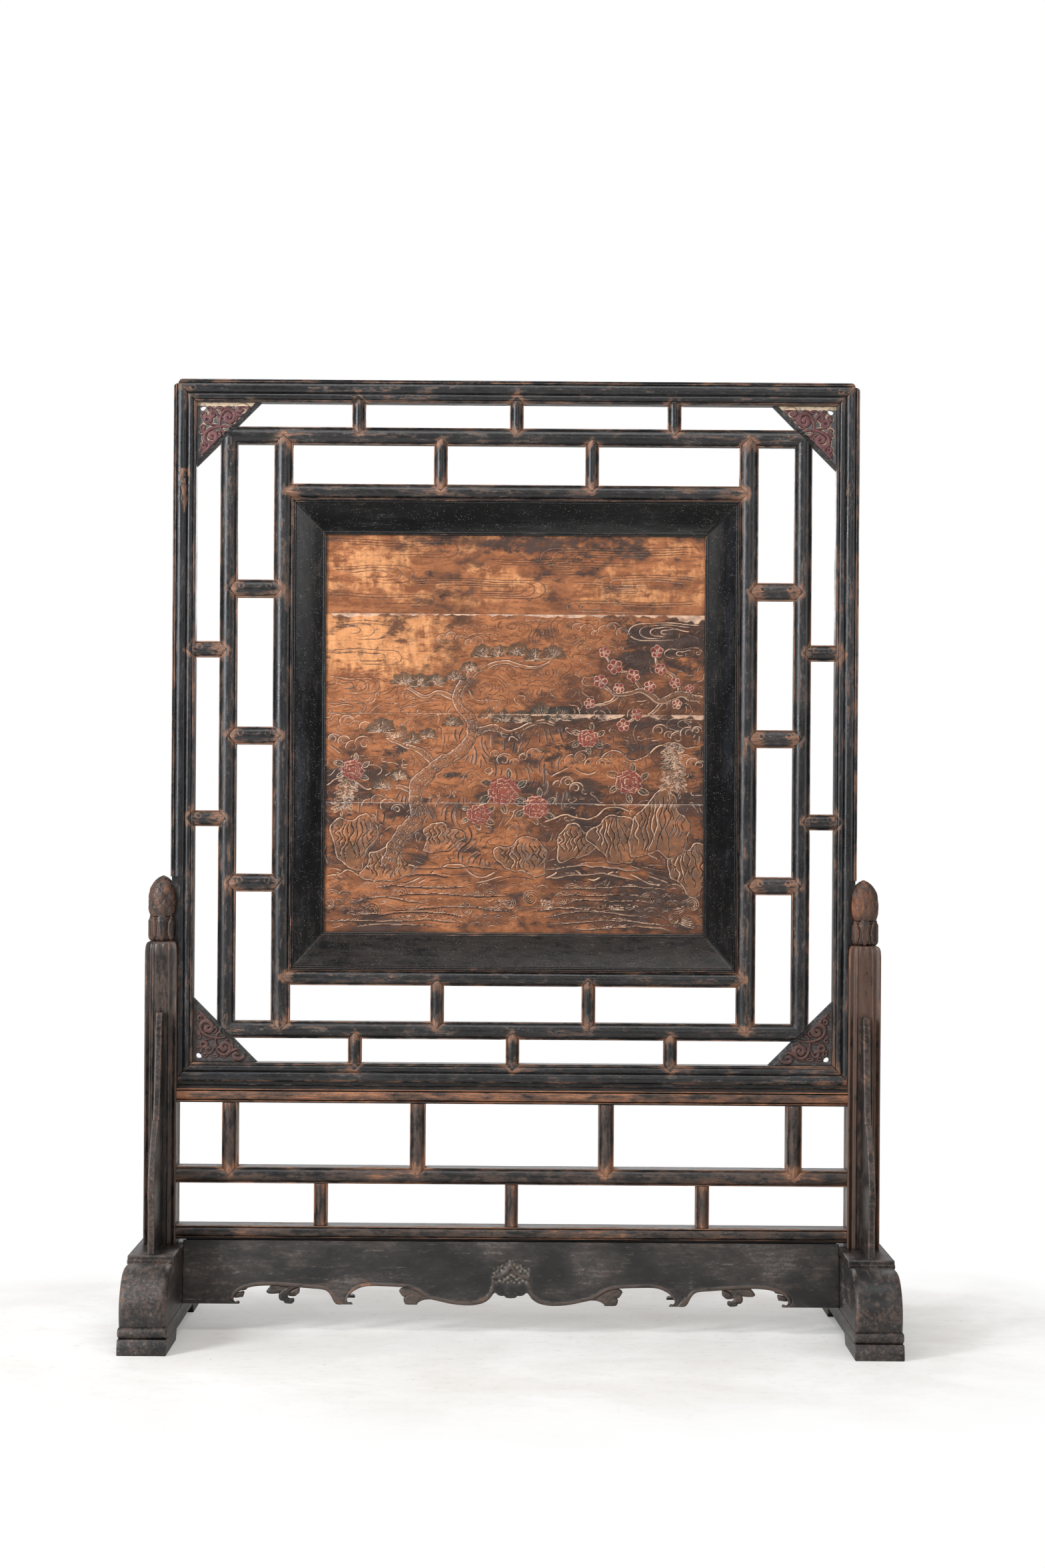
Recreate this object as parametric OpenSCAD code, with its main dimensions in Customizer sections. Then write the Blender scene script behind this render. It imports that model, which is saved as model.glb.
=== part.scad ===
// Free-standing wooden floor screen: a latticed frame with a boarded panel
// that lifts out of the grooved posts of a two-footed stand.
// Millimetres. +Z up, front faces -Y, origin on the floor at the middle.

/* [Screen] */
// Full width of the latticed screen over its outer beads
screen_w = 1412; // [1400:2:1424]
// Height of the screen's top edge above the floor
screen_top = 1952; // [1944:1:1964]
// Face width of the outer frame members
frame_w = 47; // [45:1:48]
// Thickness of the outer frame, front to back
frame_d = 44; // [42:1:46]
// Face width of the lattice rectangle's members
lat_w = 36; // [34:1:37]
// Thickness of the lattice members, front to back
lat_d = 36; // [34:1:38]
// Face width of the inner uprights beside the panel
inn_w = 39; // [37:1:40]
// Face width of the level members over and under the panel
inr_w = 32; // [30:1:34]
// Face width of the short upright struts
strut_w = 28; // [26:1:30]
// Face width of the short level struts next to the outer frame
row_w = 33; // [31:1:34]
// Face width of the short level struts next to the inner uprights
ins_w = 37; // [35:1:38]
// Visible leg of the triangular corner boards
corner_leg = 134; // [130:1:136]
// Thickness of the panel boards
board_t = 12; // [10:1:14]

/* [Stand] */
// Height of the upper stand rail's top, where the screen sits
seat_z = 499.5; // [497:0.5:502]
// Width of the posts, left to right
post_w = 66; // [64:1:68]
// Depth of the posts, front to back
post_d = 70; // [66:1:74]
// Height of the posts' shoulders under the finials
post_top = 795; // [790:1:800]
// Length of each foot, front to back
foot_len = 620; // [600:10:640]
// Width of each foot's base
foot_w = 97; // [95:1:99]
// Height of the feet's flat tops
foot_top = 174; // [172:1:176]
// Thickness of the upright spandrels standing on the feet
fin_t = 14; // [12:1:16]
// Thickness of the apron boards
apron_t = 16; // [14:1:18]
// Outward splay of the aprons in degrees
apron_tilt = 9; // [7:1:11]

/* [Fit] */
// Thickness of the screen's tongue that slides in the post grooves
tongue_t = 22; // [20:1:24]
// Clearance on each side of the tongue
groove_c = 0.75; // [0.5:0.05:1]
// Gap between the screen's stiles and the posts
side_c = 1; // [0.6:0.1:1.4]

/* [Hidden] */
$fn = 48;

lacquer = "#2b2a2b";
worn = "#4a3c34";
wood = "#9a6a45";
black = "#1b1b1d";

half_w = screen_w/2;
step_x = half_w - 18;                 // outer face of the stiles between the posts
tongue_x = half_w - 2;                // outer edge of the tongue
post_in = step_x + side_c;            // inner face of the posts
post_cx = post_in + post_w/2;         // centre of a post
groove_x = half_w;                    // bottom of the groove
finial_top = 930;
step_z = finial_top - 2;              // where the stiles widen above the finials

in_x = half_w - frame_w;
in_zt = screen_top - frame_w;
in_zb = seat_z + frame_w;
mid_z = (in_zt + in_zb)/2;
lat_m = 96.5;
lat_x = half_w - lat_m;
lat_zt = screen_top - lat_m;
lat_zb = seat_z + lat_m;
inn_x = half_w - 207;
inn_zt = screen_top - 213;
inn_zb = seat_z + 206.5;
pf_x = inn_x - inn_w;
pf_zt = inn_zt - inr_w;
pf_zb = inn_zb + inr_w;
open_x = pf_x - 70;
open_zt = pf_zt - 73;
open_zb = pf_zb + 78;
core = 9;                             // half thickness behind the half-round faces
kx = screen_w/1412;
outer_cols = [-325*kx, 0, 325*kx];
inner_cols = [-156*kx, 156*kx];
outer_rows = [1396.5, 1048];
inner_rows = [1522, 1219, 916];
joints_z = [open_zb - 8, 871, 1083, 1268, 1473, open_zt + 8];

rail_u = [seat_z - 35, seat_z];
rail_m = [299, 332.5];
rail_l = [182.5, 212.5];
rail_d = 60;

// ---------- helpers ----------
module xz(p, y0, y1) { translate([0, y1, 0]) rotate([90, 0, 0]) linear_extrude(y1 - y0) polygon(p); }
module yz(x0, x1) { translate([x0, 0, 0]) rotate([90, 0, 90]) linear_extrude(x1 - x0) children(); }
module box(x0, x1, y0, y1, z0, z1) { translate([x0, y0, z0]) cube([x1 - x0, y1 - y0, z1 - z0]); }
module both() { children(); mirror([1, 0, 0]) children(); }
function ext(a, b, k) = [a[0] + (a[0] - b[0])*k, a[1] + (a[1] - b[1])*k];

// half-round section on both faces, with a narrow bead at each edge
module bar2d(w, d, h = 9, bead = 3) {
  c = w/2 - bead;
  r = (c*c + h*h)/(2*h);
  square([w, d - 2*h], center = true);
  for (s = [-1, 1]) {
    intersection() {
      translate([0, s*(d/2 - r)]) circle(r);
      translate([0, s*(d/2 - h/2)]) square([2*c, h + 2], center = true);
    }
    for (u = [-1, 1]) translate([u*(w/2 - bead/2 - 0.3), s*(d/2 - h - 0.4)]) circle(bead/2 + 0.2);
  }
}
// the end of a strut that points up from z = 0: a V shoulder on both faces and a tenon
module peg(w, d, vee = true) {
  if (vee) for (s = [0, 1]) mirror([0, s, 0])
    xz([[-w/2, -0.01], [w/2, -0.01], [0, w/2]], core, d/2 + 4);
  box(-w/2 + 5, w/2 - 5, -5, 5, -0.01, 14);
}
// a strut along Z from z0 to z1, with pegs reaching into both neighbours
module strut(w, d, z0, z1, v0 = true, v1 = true) {
  r = w/2;
  box(-r + 5, r - 5, -5, 5, z0 - 14, z0 + 1);
  box(-r + 5, r - 5, -5, 5, z1 - 1, z1 + 14);
  intersection() {
    translate([0, 0, z0 - r]) linear_extrude(z1 - z0 + 2*r) bar2d(w, d);
    union() {
      box(-r - 1, r + 1, -d, d, z0, z1);
      if (v0) for (s = [0, 1]) mirror([0, s, 0]) xz([[-r, z0], [0, z0 - r], [r, z0], [r, z0 + 2], [-r, z0 + 2]], core, d);
      if (v1) for (s = [0, 1]) mirror([0, s, 0]) xz([[-r, z1], [0, z1 + r], [r, z1], [r, z1 - 2], [-r, z1 - 2]], core, d);
    }
  }
}
module up(x, z, w, d) { translate([x, 0, z]) peg(w, d); }
module down(x, z, w, d) { translate([x, 0, z]) mirror([0, 0, 1]) peg(w, d); }
module toward(x, z, s, w, d) { translate([x, 0, z]) rotate([0, s*90, 0]) peg(w, d); }
module rail_x(w, d, x0, x1, z) { translate([x0, 0, z]) rotate([0, 90, 0]) linear_extrude(x1 - x0) bar2d(w, d); }
module strut_x(w, d, x0, x1, z) { translate([0, 0, z]) rotate([0, 90, 0]) strut(w, d, x0, x1); }
sd = lat_d - 2;                       // depth of the short struts

// ---------- screen: outer frame ----------
module frame2d() {
  h = frame_d/2;
  translate([0, -h + 7]) square([frame_w, frame_d - 14]);
  for (s = [-1, 1]) {
    translate([3.1, s*(h - 6)]) circle(3);
    intersection() {
      translate([17, s*(h - 14.5)]) circle(14.5);
      translate([7, s > 0 ? h - 8 : -h]) square([20, 8]);
    }
    intersection() {
      translate([frame_w - 11, s*(h - 9)]) circle(7);
      translate([frame_w - 16, s > 0 ? h - 8 : -h + 2]) square([10, 6]);
    }
    translate([frame_w - 3, s*(h - 7)]) circle(2.4);
  }
}
module frame_cuts() both() {
  box(half_w - 8, half_w + 10, -40, 40, screen_top - 8, screen_top + 10);
  box(tongue_x, half_w + 10, -40, 40, seat_z - 10, step_z);
  for (s = [0, 1]) mirror([0, s, 0]) box(step_x, half_w + 10, tongue_t/2, 40, seat_z - 10, step_z);
}
module sill_cuts() for (s = [0, 1]) mirror([0, s, 0])
  box(-half_w - 10, half_w + 10, tongue_t/2, 40, seat_z - 10, seat_z + 8);
module spandrel_poly() polygon([[-5, 5], [corner_leg - 13, 5], [corner_leg - 13, 0], [corner_leg, 0],
  [0, -corner_leg], [0, -corner_leg + 13], [-5, -corner_leg + 13]]);
module spandrel_core(t = 14) translate([-in_x, 0, in_zt]) rotate([90, 0, 0]) linear_extrude(t, center = true) spandrel_poly();
module upside() { translate([0, 0, mid_z]) mirror([0, 0, 1]) translate([0, 0, -mid_z]) children(); }
module frame_tenons() both() {
  box(in_x - 10, half_w - 12, -6, 6, in_zt + 8, screen_top - 12);
  box(in_x - 10, half_w - 12, -6, 6, seat_z + 12, in_zb - 8);
}
module stile_left() difference() {
  intersection() {
    translate([-half_w, 0, seat_z]) linear_extrude(screen_top - seat_z) frame2d();
    xz([[-half_w - 5, screen_top + 5], [-in_x + 5, in_zt - 5], [-in_x + 5, in_zb + 5], [-half_w - 5, seat_z - 5]], -40, 40);
  }
  frame_cuts(); sill_cuts(); frame_tenons();
  spandrel_core(); upside() spandrel_core();
  for (z = outer_rows) toward(-in_x, z, -1, row_w, sd);
}
module frame_stile_left() color(lacquer) stile_left();
module frame_stile_right() color(lacquer) mirror([1, 0, 0]) stile_left();
module frame_rail_top() color(lacquer) difference() {
  union() {
    intersection() {
      translate([-half_w, 0, screen_top]) rotate([0, 90, 0]) linear_extrude(screen_w) frame2d();
      xz([[-half_w - 5, screen_top + 5], [half_w + 5, screen_top + 5], [in_x - 5, in_zt - 5], [-in_x + 5, in_zt - 5]], -40, 40);
    }
    both() box(in_x - 10, half_w - 12, -6, 6, in_zt + 8, screen_top - 12);
  }
  frame_cuts();
  both() spandrel_core();
  for (x = outer_cols) up(x, in_zt, strut_w, sd);
}
module frame_rail_bottom() color(worn) difference() {
  union() {
    intersection() {
      translate([half_w, 0, seat_z]) rotate([0, -90, 0]) linear_extrude(screen_w) frame2d();
      xz([[-half_w - 5, seat_z - 5], [-in_x + 5, in_zb + 5], [in_x - 5, in_zb + 5], [half_w + 5, seat_z - 5]], -40, 40);
    }
    both() box(in_x - 10, half_w - 12, -6, 6, seat_z + 12, in_zb - 8);
  }
  frame_cuts(); sill_cuts();
  both() upside() spandrel_core();
  for (x = outer_cols) down(x, in_zb, strut_w, sd);
}

// ---------- screen: lattice rectangle ----------
hyp = in_x + in_zt - corner_leg;      // |x| + z along the upper corner boards' long edges
cut = (lat_x + lat_zt - hyp)/2;
function up_side(p) = [for (q = p) [q[0], 2*mid_z - q[1]]];
module lat_tenons() both() box(lat_x - lat_w - 10, lat_x - 24, -5, 5, lat_zt - lat_w + 3, lat_zt - 18);
module lat_rail_body() intersection() {
  rail_x(lat_w, lat_d, -lat_x, lat_x, lat_zt - lat_w/2);
  xz([[-(hyp - lat_zt - 5), lat_zt + 5], [hyp - lat_zt - 5, lat_zt + 5], [lat_x - cut, lat_zt - cut],
      [lat_x - lat_w - 5, lat_zt - lat_w - 5], [-(lat_x - lat_w - 5), lat_zt - lat_w - 5], [-(lat_x - cut), lat_zt - cut]], -40, 40);
}
module lattice_rail_top() color(lacquer) difference() {
  union() { lat_rail_body(); lat_tenons(); }
  for (x = outer_cols) down(x, lat_zt, strut_w, sd);
  for (x = inner_cols) up(x, lat_zt - lat_w, strut_w, sd);
  both() up(inn_x - inn_w/2, lat_zt - lat_w, inn_w, lat_d);
}
module lattice_rail_bottom() color(lacquer) difference() {
  upside() union() { lat_rail_body(); lat_tenons(); }
  for (x = outer_cols) up(x, lat_zb, strut_w, sd);
  for (x = inner_cols) down(x, lat_zb + lat_w, strut_w, sd);
  both() down(inn_x - inn_w/2, lat_zb + lat_w, inn_w, lat_d);
}
module lat_stile_left() difference() {
  intersection() {
    translate([-lat_x + lat_w/2, 0, lat_zb]) linear_extrude(lat_zt - lat_zb) bar2d(lat_w, lat_d);
    xz(concat([[-(lat_x + 5), hyp - lat_x - 5], [-(lat_x - cut), lat_zt - cut], [-(lat_x - lat_w - 5), lat_zt - lat_w - 5]],
      up_side([[-(lat_x - lat_w - 5), lat_zt - lat_w - 5], [-(lat_x - cut), lat_zt - cut], [-(lat_x + 5), hyp - lat_x - 5]])), -40, 40);
  }
  lat_tenons(); upside() lat_tenons();
  for (z = outer_rows) toward(-lat_x, z, 1, row_w, sd);
  for (z = inner_rows) toward(-lat_x + lat_w, z, -1, ins_w, sd);
}
module lattice_stile_left() color(lacquer) lat_stile_left();
module lattice_stile_right() color(lacquer) mirror([1, 0, 0]) lat_stile_left();

// ---------- screen: inner rectangle beside the panel ----------
module inn_stile_left() difference() {
  translate([-inn_x + inn_w/2, 0, 0]) strut(inn_w, lat_d, lat_zb + lat_w, lat_zt - lat_w);
  for (z = inner_rows) toward(-inn_x, z, 1, ins_w, sd);
  for (z = [inn_zt - inr_w/2, inn_zb + inr_w/2]) toward(-pf_x, z, -1, inr_w, lat_d);
}
module inner_stile_left() color(lacquer) inn_stile_left();
module inner_stile_right() color(lacquer) mirror([1, 0, 0]) inn_stile_left();
module inner_rail_top() color(worn) difference() {
  strut_x(inr_w, lat_d, -pf_x, pf_x, inn_zt - inr_w/2);
  for (x = inner_cols) down(x, inn_zt, strut_w, sd);
}
module inner_rail_bottom() color(worn) difference() {
  strut_x(inr_w, lat_d, -pf_x, pf_x, inn_zb + inr_w/2);
  for (x = inner_cols) up(x, inn_zb, strut_w, sd);
}

// ---------- screen: short struts ----------
module outer_struts_top() color(worn) for (x = outer_cols) translate([x, 0, 0]) strut(strut_w, sd, lat_zt, in_zt);
module outer_struts_bottom() color(worn) for (x = outer_cols) translate([x, 0, 0]) strut(strut_w, sd, in_zb, lat_zb);
module outer_struts_left() color(worn) for (z = outer_rows) strut_x(row_w, sd, -in_x, -lat_x, z);
module outer_struts_right() color(worn) mirror([1, 0, 0]) for (z = outer_rows) strut_x(row_w, sd, -in_x, -lat_x, z);
module inner_struts_top() color(worn) for (x = inner_cols) translate([x, 0, 0]) strut(strut_w, sd, inn_zt, lat_zt - lat_w);
module inner_struts_bottom() color(worn) for (x = inner_cols) translate([x, 0, 0]) strut(strut_w, sd, lat_zb + lat_w, inn_zb);
module inner_struts_left() color(worn) for (z = inner_rows) strut_x(ins_w, sd, -lat_x + lat_w, -inn_x, z);
module inner_struts_right() color(worn) mirror([1, 0, 0]) for (z = inner_rows) strut_x(ins_w, sd, -lat_x + lat_w, -inn_x, z);

// ---------- screen: carved corner boards ----------
module corner_board() difference() {
  union() {
    spandrel_core();
    for (s = [0, 1]) mirror([0, s, 0]) translate([-in_x, 7, in_zt]) rotate([-90, 0, 0]) {
      for (q = [[30, 74, 15], [74, 30, 15], [48, 48, 13]]) translate([q[0], q[1], -1]) difference() {
        cylinder(h = 5, r = q[2]);
        translate([0, 0, 2]) cylinder(h = 6, r = q[2] - 6);
      }
      for (q = [[22, 40, 9], [40, 20, 9]]) translate([q[0], q[1], -1]) cylinder(h = 4, r = q[2]);
    }
  }
  translate([-in_x + 12, 0, in_zt - 12]) rotate([90, 0, 0]) cylinder(h = 60, r = 5.5, center = true);
}
module corner_spandrel_top_left() color("#5d3a38") corner_board();
module corner_spandrel_top_right() color("#5d3a38") mirror([1, 0, 0]) corner_board();
module corner_spandrel_bottom_left() color("#4d3733") upside() corner_board();
module corner_spandrel_bottom_right() color("#4d3733") mirror([1, 0, 0]) upside() corner_board();

// ---------- screen: mitred panel frame and boards ----------
board_y = -4;
module pf2d(w) polygon([[0, 12], [0, -15], [4, -16], [6, -14], [w - 8, -8], [w - 6, -9.5], [w - 1, -9.5], [w, -8], [w, board_y],
  [w - 8, board_y], [w - 8, board_y + board_t], [w, board_y + board_t], [w, 12]]);
module pf_clip(a, b, c, d) xz([ext(a, b, 0.2), ext(b, a, 0.2), ext(c, d, 0.2), ext(d, c, 0.2)], -40, 40);
module pf_left() difference() {
  intersection() {
    translate([-pf_x, 0, pf_zb - 10]) linear_extrude(pf_zt - pf_zb + 20) pf2d(70);
    pf_clip([-pf_x, pf_zt], [-open_x, open_zt], [-open_x, open_zb], [-pf_x, pf_zb]);
  }
}
module panel_frame_left() color(black) pf_left();
module panel_frame_right() color(black) mirror([1, 0, 0]) pf_left();
module batten_seats() both() box(180, 220, board_y + board_t, 30, open_zb - 10, open_zt + 10);
module panel_frame_top() color(black) difference() {
  intersection() {
    translate([-pf_x - 10, 0, pf_zt]) rotate([0, 90, 0]) linear_extrude(2*pf_x + 20) pf2d(73);
    pf_clip([-pf_x, pf_zt], [-open_x, open_zt], [open_x, open_zt], [pf_x, pf_zt]);
  }
  batten_seats();
}
module panel_frame_bottom() color(black) difference() {
  intersection() {
    translate([pf_x + 10, 0, pf_zb]) rotate([0, -90, 0]) linear_extrude(2*pf_x + 20) pf2d(78);
    pf_clip([-pf_x, pf_zb], [-open_x, open_zb], [open_x, open_zb], [pf_x, pf_zb]);
  }
  batten_seats();
}
module board(i) yz(-open_x - 7, open_x + 7) {
  z0 = joints_z[i]; z1 = joints_z[i + 1];
  polygon([[board_y + 1, z0], [board_y + board_t, z0], [board_y + board_t, z1], [board_y + 1, z1], [board_y, z1 - 1], [board_y, z0 + 1]]);
}
module panel_board_1() color(wood) board(4);
module panel_board_2() color(wood) board(3);
module panel_board_3() color(wood) board(2);
module panel_board_4() color(wood) board(1);
module panel_board_5() color(wood) board(0);
module batten() box(180, 220, board_y + board_t, board_y + board_t + 14, open_zb - 10, open_zt + 10);
module panel_batten_left() color(worn) mirror([1, 0, 0]) batten();
module panel_batten_right() color(worn) batten();

// ---------- stand: feet ----------
fl = foot_len/2;
module foot2d_slab() polygon([[-fl, 0], [-fl, 16], [-fl + 7, 31], [fl - 7, 31], [fl, 16], [fl, 0], [fl - 159, 0], [fl - 171, 20], [171 - fl, 20], [159 - fl, 0]]);
module foot2d_torus() { square([2*fl - 32, 22], center = true); for (s = [-1, 1]) translate([s*(fl - 16), 0]) circle(11); }
module foot2d_drum() {
  intersection() {
    for (s = [-1, 1]) translate([s*(fl - 94), foot_top - 96]) circle(84);
    translate([-fl, 53]) square([2*fl, 200]);
  }
  translate([-fl + 94, 53]) square([2*fl - 188, foot_top - 65]);
}
module foot_body() {
  fx = post_cx - 2;
  yz(fx - foot_w/2, fx + foot_w/2) foot2d_slab();
  yz(fx - foot_w/2, fx + foot_w/2) translate([0, 42]) foot2d_torus();
  intersection() {
    yz(fx - 47, fx + 47) foot2d_drum();
    translate([fx, fl, 0]) rotate([90, 0, 0]) linear_extrude(2*fl) {
      translate([-47, 40]) square([94, foot_top - 62]);
      translate([-37, 40]) square([74, foot_top - 52]);
      for (s = [-1, 1]) translate([s*37, foot_top - 22]) circle(10);
    }
  }
  yz(fx - 47, fx + 47) union() {
    translate([-fl + 135, foot_top - 22]) square([2*fl - 270, 22]);
    translate([-fl + 127, foot_top - 12]) square([2*fl - 254, 5]);
  }
}
module post_tenon() box(post_cx - 15, post_cx + 15, -20, 20, foot_top - 64, foot_top);
module foot_r() difference() {
  foot_body();
  post_tenon();
  apron_housings();
}
module foot_right() color(worn) foot_r();
module foot_left() color(worn) mirror([1, 0, 0]) foot_r();

// ---------- stand: posts and finials ----------
module post2d() difference() {
  union() {
    square([post_w - 8, post_d], center = true);
    square([post_w, post_d - 8], center = true);
    for (x = [-1, 1]) for (y = [-1, 1]) translate([x*(post_w/2 - 4), y*(post_d/2 - 4)]) circle(4);
  }
  for (x = [-1, 1]) for (y = [-1, 1]) translate([x*17, y*(post_d/2 + 1)]) circle(4);
}
module groove(z1) box(post_in - 10, groove_x, -tongue_t/2 - groove_c, tongue_t/2 + groove_c, seat_z, z1);
module finial_tenon() box(post_cx + 2, post_cx + 22, -12, 12, post_top - 40, post_top);
module rail_tenon(z) box(post_in - 1, post_in + 33, -8, 8, z[0] + 6, z[1] - 6);
module post_r() difference() {
  union() {
    intersection() {
      translate([post_cx, 0, foot_top]) linear_extrude(post_top - foot_top) post2d();
      xz([[post_cx - 40, 100], [post_cx + 40, 100], [post_cx + 40, post_top - 14], [post_cx + 33, post_top - 14], [post_cx + 25, post_top],
        [post_cx - 25, post_top], [post_cx - 33, post_top - 14], [post_cx - 40, post_top - 14]], -60, 60);
      yz(post_cx - 60, post_cx + 60) polygon([[-50, 100], [50, 100], [50, post_top - 14], [35, post_top - 14], [27, post_top],
        [-27, post_top], [-35, post_top - 14], [-50, post_top - 14]]);
    }
    post_tenon();
  }
  groove(1000);
  finial_tenon();
  for (z = [rail_u, rail_m, rail_l]) rail_tenon(z);
}
module post_right() color("#4b372c") post_r();
module post_left() color(worn) mirror([1, 0, 0]) post_r();
module finial_r() difference() {
  union() {
    finial_tenon();
    translate([post_cx, 0, post_top]) rotate_extrude() difference() {
      union() {
        polygon([[0, 0], [25, 0], [30, 8], [31, 20], [31, 40], [28, 48], [30.5, 62], [30.5, 104], [0, 104]]);
        translate([0, 104]) intersection() { circle(30.5); square([40, 40]); }
      }
      translate([-1, 135]) square([50, 50]);
      translate([-50, -1]) square([50, 200]);
    }
  }
  groove(1000);
}
module finial_right() color("#6b4232") finial_r();
module finial_left() color("#6b4232") mirror([1, 0, 0]) finial_r();

// ---------- stand: upright spandrels on the feet ----------
function ease(t) = (1 - cos(180*t))/2;
fin_e = concat(
  [for (i = [0:8]) [128 - 3*sin(180*i/8) - 3*i/8*0, foot_top + i*(280 - foot_top)/8]],
  [for (i = [0:12]) [134 - 66*pow(i/12, 2.2), 280 + i*13]],
  [for (i = [0:12]) [62 - 30*pow(i/12, 0.75), 436 + i*13.9]],
  [[34, 603], [34, 618], [29, 618], [29, 634], [25, 634], [25, 650]]);
module fin_front_right() yz(post_cx - fin_t/2, post_cx + fin_t/2)
  polygon(concat([[-post_d/2, foot_top]], [for (p = fin_e) [-post_d/2 - p[0], p[1]]], [[-post_d/2, 650]]));
module standing_spandrel_front_right() color(worn) fin_front_right();
module standing_spandrel_front_left() color(worn) mirror([1, 0, 0]) fin_front_right();
module standing_spandrel_back_right() color(worn) mirror([0, 1, 0]) fin_front_right();
module standing_spandrel_back_left() color(worn) mirror([1, 0, 0]) mirror([0, 1, 0]) fin_front_right();

// ---------- stand: rails and struts ----------
upper_cols = [-580.5, -194, 194, 580.5];
lower_cols = [-393, 0, 393];
upper_w = 31; lower_w = 27; str_d = 44;
module stand_rail(z) {
  rail_x(z[1] - z[0], rail_d, -post_in, post_in, (z[0] + z[1])/2);
  both() rail_tenon(z);
}
module stand_peg(w, vee) { peg(w, 80, vee); }
module stand_rail_upper() color(wood) difference() {
  stand_rail(rail_u);
  for (x = upper_cols) translate([x, 0, rail_u[0]]) stand_peg(upper_w, false);
}
module stand_rail_middle() color(worn) difference() {
  stand_rail(rail_m);
  for (x = upper_cols) translate([x, 0, rail_m[1]]) mirror([0, 0, 1]) stand_peg(upper_w, true);
  for (x = lower_cols) translate([x, 0, rail_m[0]]) stand_peg(lower_w, false);
}
module stand_rail_lower() color(lacquer) difference() {
  stand_rail(rail_l);
  for (x = lower_cols) translate([x, 0, rail_l[1]]) mirror([0, 0, 1]) stand_peg(lower_w, false);
}
module stand_struts_upper() color(worn) for (x = upper_cols) translate([x, 0, 0]) strut(upper_w, rail_d, rail_m[1], rail_u[0], true, false);
module stand_struts_lower() color(worn) for (x = lower_cols) translate([x, 0, 0]) strut(lower_w, rail_d - 8, rail_l[1], rail_m[0], false, false);

// ---------- stand: scrolled aprons ----------
apron_end = post_cx - 2 - 47;         // inner faces of the feet
ap_top = rail_l[0];
ap_up = 190 - ap_top;                 // how far the boards' tops sit below 190
// lower edge from the middle outwards, as heights below 190
function lobe(x0, z0, x1, z1, n) = [for (i = [0:n]) [x0 + (x1 - x0)*i/n, z0 + (z1 - z0)*ease(i/n)]];
ap_half = concat(
  [[0, 58], [14, 50], [30, 42]],
  lobe(32, 66, 50, 124, 5), [[62, 127], [78, 128]],
  lobe(100, 126, 210, 92, 8), [[226, 90], [286, 89]],
  lobe(296, 91, 322, 104, 3), [[326, 115], [318, 121], [320, 130], [330, 135], [348, 134]],
  lobe(352, 128, 372, 100, 5), [[388, 95], [434, 94], [486, 95], [512, 99], [534, 106]],
  [[560, 118], [566, 124], [560, 128], [552, 131], [558, 136], [566, 136.6], [apron_end, 136.6]]);
function ap_pts(s) = [for (p = ap_half) [s*p[0], ap_up - p[1]]];
module apron2d() {
  polygon(concat([[-apron_end, 0]], [for (i = [len(ap_half) - 1:-1:1]) [-ap_half[i][0], ap_up - ap_half[i][1]]],
    ap_pts(1), [[apron_end, 0]]));
  translate([0, ap_up]) for (s = [-1, 1]) {
    translate([s*212, -102]) circle(13);
    translate([s*196, -116]) circle(12);
    translate([s*186, -125]) circle(9);
    translate([s*470, -104]) circle(10);
    translate([s*458, -112]) circle(9);
    translate([s*22, -84]) circle(13);
  }
  translate([0, ap_up - 72]) square([50, 50], center = true);
  translate([0, ap_up - 90]) circle(14);
}
module apron_place() translate([0, -24, ap_top]) rotate([-apron_tilt, 0, 0]) rotate([90, 0, 0]) children();
module apron_solid() intersection() {
  apron_place() translate([0, 6, 0]) linear_extrude(apron_t, center = true) translate([0, -6]) union() { apron2d(); translate([-apron_end, -1]) square([2*apron_end, 8]); }
  box(-800, 800, -200, 200, -10, ap_top);
}
module apron_tongue() both() apron_place() translate([apron_end - 2, -120, -apron_t/2 + 3]) cube([12, 90, apron_t - 6]);
module apron_housings() { apron_tongue(); mirror([0, 1, 0]) apron_tongue(); }
module apron_front() color(worn) { apron_solid(); apron_tongue(); }
module apron_back() color(worn) mirror([0, 1, 0]) { apron_solid(); apron_tongue(); }

foot_left();
foot_right();
post_left();
post_right();
finial_left();
finial_right();
standing_spandrel_front_left();
standing_spandrel_front_right();
standing_spandrel_back_left();
standing_spandrel_back_right();
stand_rail_upper();
stand_rail_middle();
stand_rail_lower();
stand_struts_upper();
stand_struts_lower();
apron_front();
apron_back();
frame_stile_left();
frame_stile_right();
frame_rail_top();
frame_rail_bottom();
lattice_stile_left();
lattice_stile_right();
lattice_rail_top();
lattice_rail_bottom();
inner_stile_left();
inner_stile_right();
inner_rail_top();
inner_rail_bottom();
outer_struts_top();
outer_struts_bottom();
outer_struts_left();
outer_struts_right();
inner_struts_top();
inner_struts_bottom();
inner_struts_left();
inner_struts_right();
corner_spandrel_top_left();
corner_spandrel_top_right();
corner_spandrel_bottom_left();
corner_spandrel_bottom_right();
panel_frame_top();
panel_frame_bottom();
panel_frame_left();
panel_frame_right();
panel_board_1();
panel_board_2();
panel_board_3();
panel_board_4();
panel_board_5();
panel_batten_left();
panel_batten_right();
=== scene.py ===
"""A free-standing lattice floor screen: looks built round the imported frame. Lengths are millimetres until a mesh is made."""
import math

import bpy
import numpy as np
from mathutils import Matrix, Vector
from mathutils.geometry import delaunay_2d_cdt


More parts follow.
